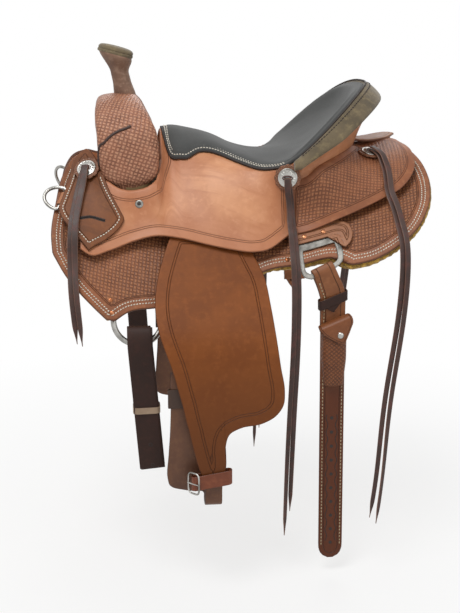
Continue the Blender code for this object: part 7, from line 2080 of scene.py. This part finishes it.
def make_rear_billet(side, word, long):
    """A ply up behind, round the dee's bar, and the long ply down in front to a blunt point."""
    centre, _, down, out = billet_frame()
    plumb = OUTWARD
    behind = np.array([0.11, 0.095, 0.08, 0.06, 0.045, 0.03, 0.018])
    turn = np.radians(np.arange(180, -1, -12))
    around = centre + out * (BILLET_CLEAR * np.cos(turn))[:, None] - down * (BILLET_CLEAR * np.sin(turn))[:, None]
    drops = np.concatenate([np.arange(0.018, 0.14, 0.014), np.arange(0.15, long - 0.03, 0.02),
                            long - np.array([0.028, 0.02, 0.012, 0.006, 0.0])])
    path = np.concatenate([billet_place(behind) - plumb * ply_out(behind)[:, None], around,
                           billet_place(drops) + plumb * ply_out(drops)[:, None]])
    face = np.concatenate([0 * behind[:, None] - plumb, out * np.cos(turn)[:, None] - down * np.sin(turn)[:, None],
                           0 * drops[:, None] + plumb])
    tip = np.sqrt(1 - (1 - np.clip((long - drops) / 0.026, 0, 1)) ** 2)
    wide = np.concatenate([billet_width(behind), BILLET_TOP_WIDE + 0 * turn,
                           billet_width(drops) * (0.22 + 0.78 * tip)])
    form = strap(path - face * STRAP_THICK / 2, face, wide, STRAP_THICK, across=9, step=5 * MM)
    body = f"rear_billet_{word}"
    piece(body, form, HARNESS, body, side, "tooled_leather")
    rows, skin = [], STRAP_THICK / 2
    line = np.linspace(0.012, long - 0.028, 240)
    for sign in (-1, 1):
        ways = billet_across(line) * (sign * (billet_width(line) / 2 - 5 * MM))[:, None]
        base = billet_place(line) + plumb * (ply_out(line) + skin)[:, None] + ways
        rows.append(stitches(base, plumb, pitch=6.4 * MM, thick=1.9 * MM))
    piece(f"billet_stitching_{word}", together(*rows), TAN_THREAD, body, side=side)
    if side == OFF:
        return
    # Each punched hole: a dark disc of painted shade
    holes = []
    for drop in np.arange(HOLES_FROM, long - 0.02, HOLES_APART):
        at = billet_place(drop) + plumb * (ply_out(drop) + skin)
        holes.append(turned(BILLET_HOLE, at, plumb, around=20))
    piece("billet_holes", together(*holes), DARK_LEATHER_AND_SHADE, body, side=side)
    wave = []
    run = np.linspace(0.262, long - 0.034, 300)
    for sign in (-1, 1):
        sway = sign * (8.4 * MM + 1.6 * MM * np.cos(2 * math.pi * (run - HOLES_FROM) / HOLES_APART))
        lift = ply_out(run) + skin + 0.05 * MM
        base = billet_place(run) + plumb * lift[:, None] + billet_across(run) * sway[:, None]
        wave.append(tube(base, 0.7 * MM, 6))
    piece("billet_tooling", together(*wave), DARK_LEATHER_AND_SHADE, body, side=side)


def make_billet_keeper():
    """A dark keeper round both plies, a rounded box in plan; its front grows a small point below."""
    drop = 0.052
    base, w = billet_place(drop), billet_across(drop)
    slope = unit(billet_place(drop + 0.01) - billet_place(drop - 0.01))
    half, deep = BILLET_WIDE / 2 + 3.2 * MM, float(ply_out(drop - 0.008)) + STRAP_THICK / 2 + 1.6 * MM
    u, v = boxed(all_round(72), 0.25)
    line = base + w * (half * u)[:, None] + OUTWARD * (deep * v)[:, None]
    line = even(line, 2 * MM, True)
    away = line - base
    along = unit(np.roll(line, -1, 0) - np.roll(line, 1, 0))
    out = unit(np.cross(along, slope))
    out = out * np.sign((out * away).sum(1))[:, None]
    band_form = strap(line, out, 17 * MM, 2.2 * MM, closed=True, step=2.5 * MM)
    point = np.array([(-0.017, 0.006), (0.017, 0.006), (0.0, 0.021)])
    def place(a, b, h):
        """A point h above the keeper's front."""
        lift = (deep + 1.6 * MM + np.asarray(h, float))[..., None]
        return base + a[..., None] * w + b[..., None] * slope + OUTWARD * lift

    plate = cut(point, (0, 0.01), place, 1.6 * MM, pitch=4 * MM, step=2 * MM)
    piece("billet_keeper_near", together(band_form, plate), LATIGO, "rear_billet_near", NEAR, "latigo_leather")


# Knife sheath and its flap

SHEATH_TOP, SHEATH_LOW, SHEATH_WIDE, SHEATH_DEEP, SHEATH_TILT = -0.232, -0.34, 0.044, 0.018, 0.42
# The sheath: stamped all over, dark in the hollows and at its edge
SHEATH_FINISH = leather("basket stamped sheath leather", "7d4828", "5b311b", "985f3a", rough=0.5, ior=1.4,
                        stamp=(5.2 * MM, math.radians(45)), edge="351f15", edge_wide=0.5 * MM, stamp_deep=0.6 * MM)


def make_sheath():
    """A pocket: outer half-round sections down to a rounded foot, then back up inside as a wall."""
    back = sheath_back_y()
    z = np.concatenate([[0, 0.006, 0.03], np.linspace(0.06, 0.94, 22), [0.965, 0.985, 1.0]])
    turn = np.linspace(0, math.pi, 31)
    c, s = boxed(turn, 0.62)
    rings = []
    for share in z:
        height = SHEATH_TOP + (SHEATH_LOW - SHEATH_TOP) * share
        wide = 1 - 0.2 * float(smooth_step(share, 0.45, 1.0)) - 0.35 * float(smooth_step(share, 0.955, 1.002))
        deep = 1 - 0.42 * float(smooth_step(share, 0.4, 1.0)) - 0.45 * float(smooth_step(share, 0.955, 1.002))
        x = sheath_x(height) - c * SHEATH_WIDE / 2 * wide
        y = back + s * SHEATH_DEEP * deep
        tilt = SHEATH_TILT * -c * SHEATH_WIDE / 2 * wide * (1 - float(smooth_step(share, 0.0, 0.3)))
        rings.append(np.stack([x, y, height + tilt], -1))
    skin = np.array(rings)
    middle = skin.mean(1, keepdims=True)
    wall = middle + (skin - middle) * np.array([0.86, 0.72, 1.0])
    wall[..., 1] = np.maximum(wall[..., 1], back + 2.8 * MM)
    shell = np.concatenate([wall[::-1], skin[:1] * 0.5 + wall[:1] * 0.5 + [0, 0, 0.5 * MM], skin])
    form = grid(shell, wrap=True, caps=True, inset=FAR_INSIDE)
    piece("knife_sheath", form, SHEATH_FINISH, "rear_billet_near", NEAR, "tooled_leather")
    edge = skin[3:-2, -3] + np.array([-1.5, 1.6, 0]) * MM
    row = stitches(edge, (0.3, 1, 0), pitch=4.2 * MM, thick=1.4 * MM)
    piece("sheath_stitching", row, THREAD, "rear_billet_near", side=NEAR)


FLAP_ROWS = [(0.0, 0.006, -0.029, 0.027), (0.0, 0.0, -0.029, 0.028), (0.005, -0.0045, -0.029, 0.029),
             (0.013, -0.005, -0.029, 0.03), (0.0195, -0.001, -0.029, 0.031), (0.0205, 0.006, -0.027, 0.03),
             (0.0205, 0.018, -0.02, 0.021), (0.0205, 0.034, -0.007, 0.006)]
FLAP_THICK = 3 * MM
# The flap: smooth, with one tooled line and a dark burnished edge
FLAP_FINISH = leather("smooth flap leather", "7a4728", "5a321c", "935d39", rough=0.45, ior=1.4, lines=(3.2 * MM,),
                      line_wide=0.7 * MM, edge="2f1c14", edge_wide=1.0 * MM)


def make_flap():
    """The flap over the sheath's mouth: rows of depth, drop, left and right reach, spread smoothly."""
    hinge = np.array([sheath_x(SHEATH_TOP), sheath_back_y() + FLAP_THICK / 2 + TOUCH, SHEATH_TOP + 10.5 * MM])
    across, down = unit([1.0, 0.0, SHEATH_TILT]), unit([SHEATH_TILT, 0.0, -1.0])
    rows = spread(FLAP_ROWS, 5)
    tip = rows[-1].copy()
    rows = np.concatenate([rows, [tip + [0, 0.0035, 0.004, -0.0035], tip + [0, 0.0045, 0.0062, -0.0058]]])
    way = unit(np.gradient(rows[:, :2], axis=0))
    normal = np.stack([-way[:, 1], way[:, 0]], 1)
    w = np.linspace(0, 1, 25)
    a, b = np.meshgrid(lengths(rows[:, :2]), w, indexing="ij")

    def place(_, share, h):
        """The point a share of the way across the flap's row, h off its middle."""
        lift = np.asarray(h, float) + FLAP_THICK / 2
        deep, drop = rows[:, 0:1] + normal[:, 0:1] * lift, rows[:, 1:2] + normal[:, 1:2] * lift
        reach = rows[:, 2:3] + (rows[:, 3:4] - rows[:, 2:3]) * share
        return hinge + deep[..., None] * OUTWARD + drop[..., None] * down + reach[..., None] * across

    reach = rows[:, 2:3] + (rows[:, 3:4] - rows[:, 2:3]) * b
    form = hide(place, a, b, FLAP_THICK, uv=np.stack([reach, a], -1))
    piece("sheath_flap", form, FLAP_FINISH, "sheath_flap", NEAR, "tooled_leather")
    snap = hinge + np.array([0, 20.5 * MM + FLAP_THICK / 2, 0]) + down * 21 * MM
    domed = [(5.4 * MM, 0.0), (5.4 * MM, 0.6 * MM), (4.6 * MM, 1.4 * MM), (3.0 * MM, 2.2 * MM), (1.0 * MM, 2.6 * MM)]
    piece("sheath_snap", turned(domed, snap, (0, 1, 0), around=28), SILVER, "sheath_flap", side=NEAR)


# Conchos: a domed, engraved disc with a slot on a scalloped rosette, tied with a leather loop

CONCHO_PROFILE = [(1.0, 0.0), (1.0, 1.1), (0.965, 1.7), (0.9, 1.9), (0.84, 1.5), (0.8, 1.6), (0.72, 2.3), (0.6, 3.0),
                  (0.45, 3.5), (0.28, 3.8), (0.12, 3.9)]


def make_concho(place, word, side, centre, normal):
    """A scalloped rosette, radius * (1 + 0.035 cos 12 t), a domed disc with sixteen rays, its tie, its slot in
    painted shade.
    """
    across = ROSETTE_ACROSS / 2

    def scallop(turn, radius, height):
        """Twelve scallops round the rosette's outer part."""
        return radius * (1 + 0.035 * np.cos(turn * 12) * (radius > across * 0.6)), height

    rows = [(0.94, 0.0), (0.985, 0.5), (1.0, 1.4), (0.985, 2.3), (0.95, 2.75), (0.9, 2.8), (0.86, 2.45), (0.82, 2.8),
            (0.7, 2.8), (0.3, 2.8)]
    rosette = turned([(r * across, h * MM) for r, h in rows], centre, normal, 96, scallop)
    rosette["marks"]["inset"] = np.full(len(rosette["v"]), 20 * MM)
    piece(f"rosette_{place}_{word}", rosette, ROSETTE, "saddle", side=side)
    def rays(turn, radius, height):
        """Sixteen shallow rays on the disc's dome."""
        on = (radius > CONCHO_ACROSS * 0.2) * (radius < CONCHO_ACROSS * 0.41)
        return radius, height + 0.28 * MM * np.sin(turn * 16) * on

    profile = [(r * CONCHO_ACROSS / 2, h * MM * 0.9) for r, h in CONCHO_PROFILE]
    dome = turned(profile, centre + normal * ROSETTE_THICK, normal, 96, rays)
    piece(f"concho_{place}_{word}", dome, SILVER, "saddle", side, "stainless_steel", crease=60)
    u = unit(np.cross(UP, normal))
    v = np.cross(normal, u)
    top = centre + normal * (ROSETTE_THICK + 3.3 * MM)
    turn = all_round(40)
    loop = top + u * (np.cos(turn) * 8.5 * MM)[:, None] + v * (np.sin(turn) * 3.6 * MM)[:, None]
    loop = loop - normal * (1.4 * MM * np.cos(turn) ** 2)[:, None]
    piece(f"concho_tie_{place}_{word}", tube(loop, 1.9 * MM, 8, closed=True, squash=0.7), TIE_RED, "saddle",
          side=side)
    # The slot under the tie: a dark strip of painted shade
    ends = [top - u * 6 * MM - normal * 0.8 * MM, top + u * 6 * MM - normal * 0.8 * MM]
    slot = strap(np.array(ends), normal, 3.2 * MM, 1.2 * MM, across=3, step=3 * MM)
    piece(f"concho_slot_{place}_{word}", slot, DARK_LEATHER_AND_SHADE, "saddle", side=side)


# Radius and height of the cupped washer, and where it sits
FERRULE = [(6.67 * MM, 0.0), (7.25 * MM, 0.5 * MM), (6.67 * MM, 1.3 * MM), (5.22 * MM, 1.7 * MM),
           (3.48 * MM, 1.5 * MM), (2.9 * MM, 0.6 * MM), (0.435 * MM, 0.5 * MM)]
SCREW_X, SCREW_W = -0.173, 0.335


def make_ferrule(side, word):
    """The screw with its cupped washer that holds the jockey below the fork."""
    at = [lifted(seat_outer, np.array([SCREW_X]), np.array([SCREW_W]), h)[0] for h in (0.0, 0.002)]
    washer = turned(FERRULE, at[0], at[1] - at[0], around=32)
    piece(f"jockey_screw_{word}", washer, STEEL, "saddle", side=side)
    core = turned([(2.8 * MM, 0.3 * MM), (2.8 * MM, 0.9 * MM), (1.8 * MM, 1.2 * MM)], at[0], at[1] - at[0], around=20)
    piece(f"jockey_screw_core_{word}", core, DARK_LEATHER_AND_SHADE, "saddle", side=side)


# The conchos' ties: red latigo leather, dulled by dust
TIE_RED = leather("red string leather", "5f2b26", "40201c", "7a3d35", rough=0.5, edge="40201c")

make_keeper()
make_latigo()
make_off_billet()
make_billet_keeper()
make_sheath()
make_flap()
for side, word in SIDES:
    make_breast_dee(side, word)
    make_ferrule(side, word)
    make_fender(side, word)
    make_stirrup_leather(side, word)
    make_sleeve(side, word)
    make_hobble(side, word)
    make_rear_billet(side, word, BILLET_LENGTHS[side])
    for place, (centre, normal) in SEATS[side].items():
        make_concho(place, word, side, centre, normal)


# The tree's own parts keep their solids and get their finishes

for name, finish in (("tree_bar_near", RAWHIDE), ("tree_bar_off", RAWHIDE), ("tree_fork", RAWHIDE),
                     ("tree_cantle", RAWHIDE), ("ground_seat", RAWHIDE), ("horn", STEEL)):
    for slot in bpy.data.objects[name].material_slots:
        slot.material = finish

# Floor, backdrop and lamps


def seen_plainly(tree):
    """One for the camera's rays and those mirrored or passed through to it, nought for the light on things."""
    seen = 0.0
    for kind in ("Camera", "Glossy", "Transmission"):
        seen = add(tree, "Math", seen, add(tree, "LightPath", out=f"Is {kind} Ray"), operation="MAXIMUM")
    return seen


def white_ground():
    """White painted studio floor: seen directly it is plain white that pales a soft shadow under the object."""
    made, tree, place = new_finish("white studio floor")
    flat = add(tree, "VectorMath", place, (1, 1, 0), operation="MULTIPLY")
    away = add(tree, "VectorMath", flat, operation="LENGTH", out="Value")
    share = add(tree, "MapRange", away, 0.35, 1.3, 0.72, 1.0)
    share = add(tree, "Math", share, seen_plainly(tree), operation="MULTIPLY")
    painted = tree.nodes["Principled BSDF"].outputs[0]
    mixed = add(tree, "MixShader", share, painted, add(tree, "Emission", (1, 1, 1, 1), 1.0))
    tree.links.new(mixed, tree.nodes["Material Output"].inputs["Surface"])
    return finished(made, hexed("f0f0ef"), Roughness=0.9)


FLOOR_Z = -0.7
corners = np.array([[(-9.0, -9, FLOOR_Z), (9, -9, FLOOR_Z)], [(-9, 9, FLOOR_Z), (9, 9, FLOOR_Z)]])
piece("floor", grid(corners), white_ground(), "saddle")

world = bpy.data.worlds.new("white studio")
world.use_nodes = True
bpy.context.scene.world = world
tree = world.node_tree
sky = tree.nodes["Background"]
strength = add(tree, "MapRange", seen_plainly(tree), 0.0, 1.0, 0.36, 1.0)
sky.inputs["Color"].default_value = (1, 1, 1, 1)
tree.links.new(strength, sky.inputs["Strength"])


def lamp(name, place, target, size, watts):
    """A round area lamp of a size and a power at a place, aimed at a target."""
    light = bpy.data.lights.new(name, "AREA")
    light.shape, light.size, light.energy = "DISK", size, watts
    made = bpy.data.objects.new(name, light)
    made.location = place
    made.rotation_euler = (Vector(target) - Vector(place)).to_track_quat("-Z", "Y").to_euler()
    bpy.context.scene.collection.objects.link(made)


lamp("key", (-0.9, -1.5, 2.7), (0, 0, -0.05), 1.5, 62)
lamp("fill", (2.0, -2.2, 0.9), (0, 0, -0.1), 2.0, 14)
lamp("back", (0.4, 2.3, 1.8), (0, 0, 0), 1.8, 24)

bpy.context.scene.view_settings.view_transform = "Standard"
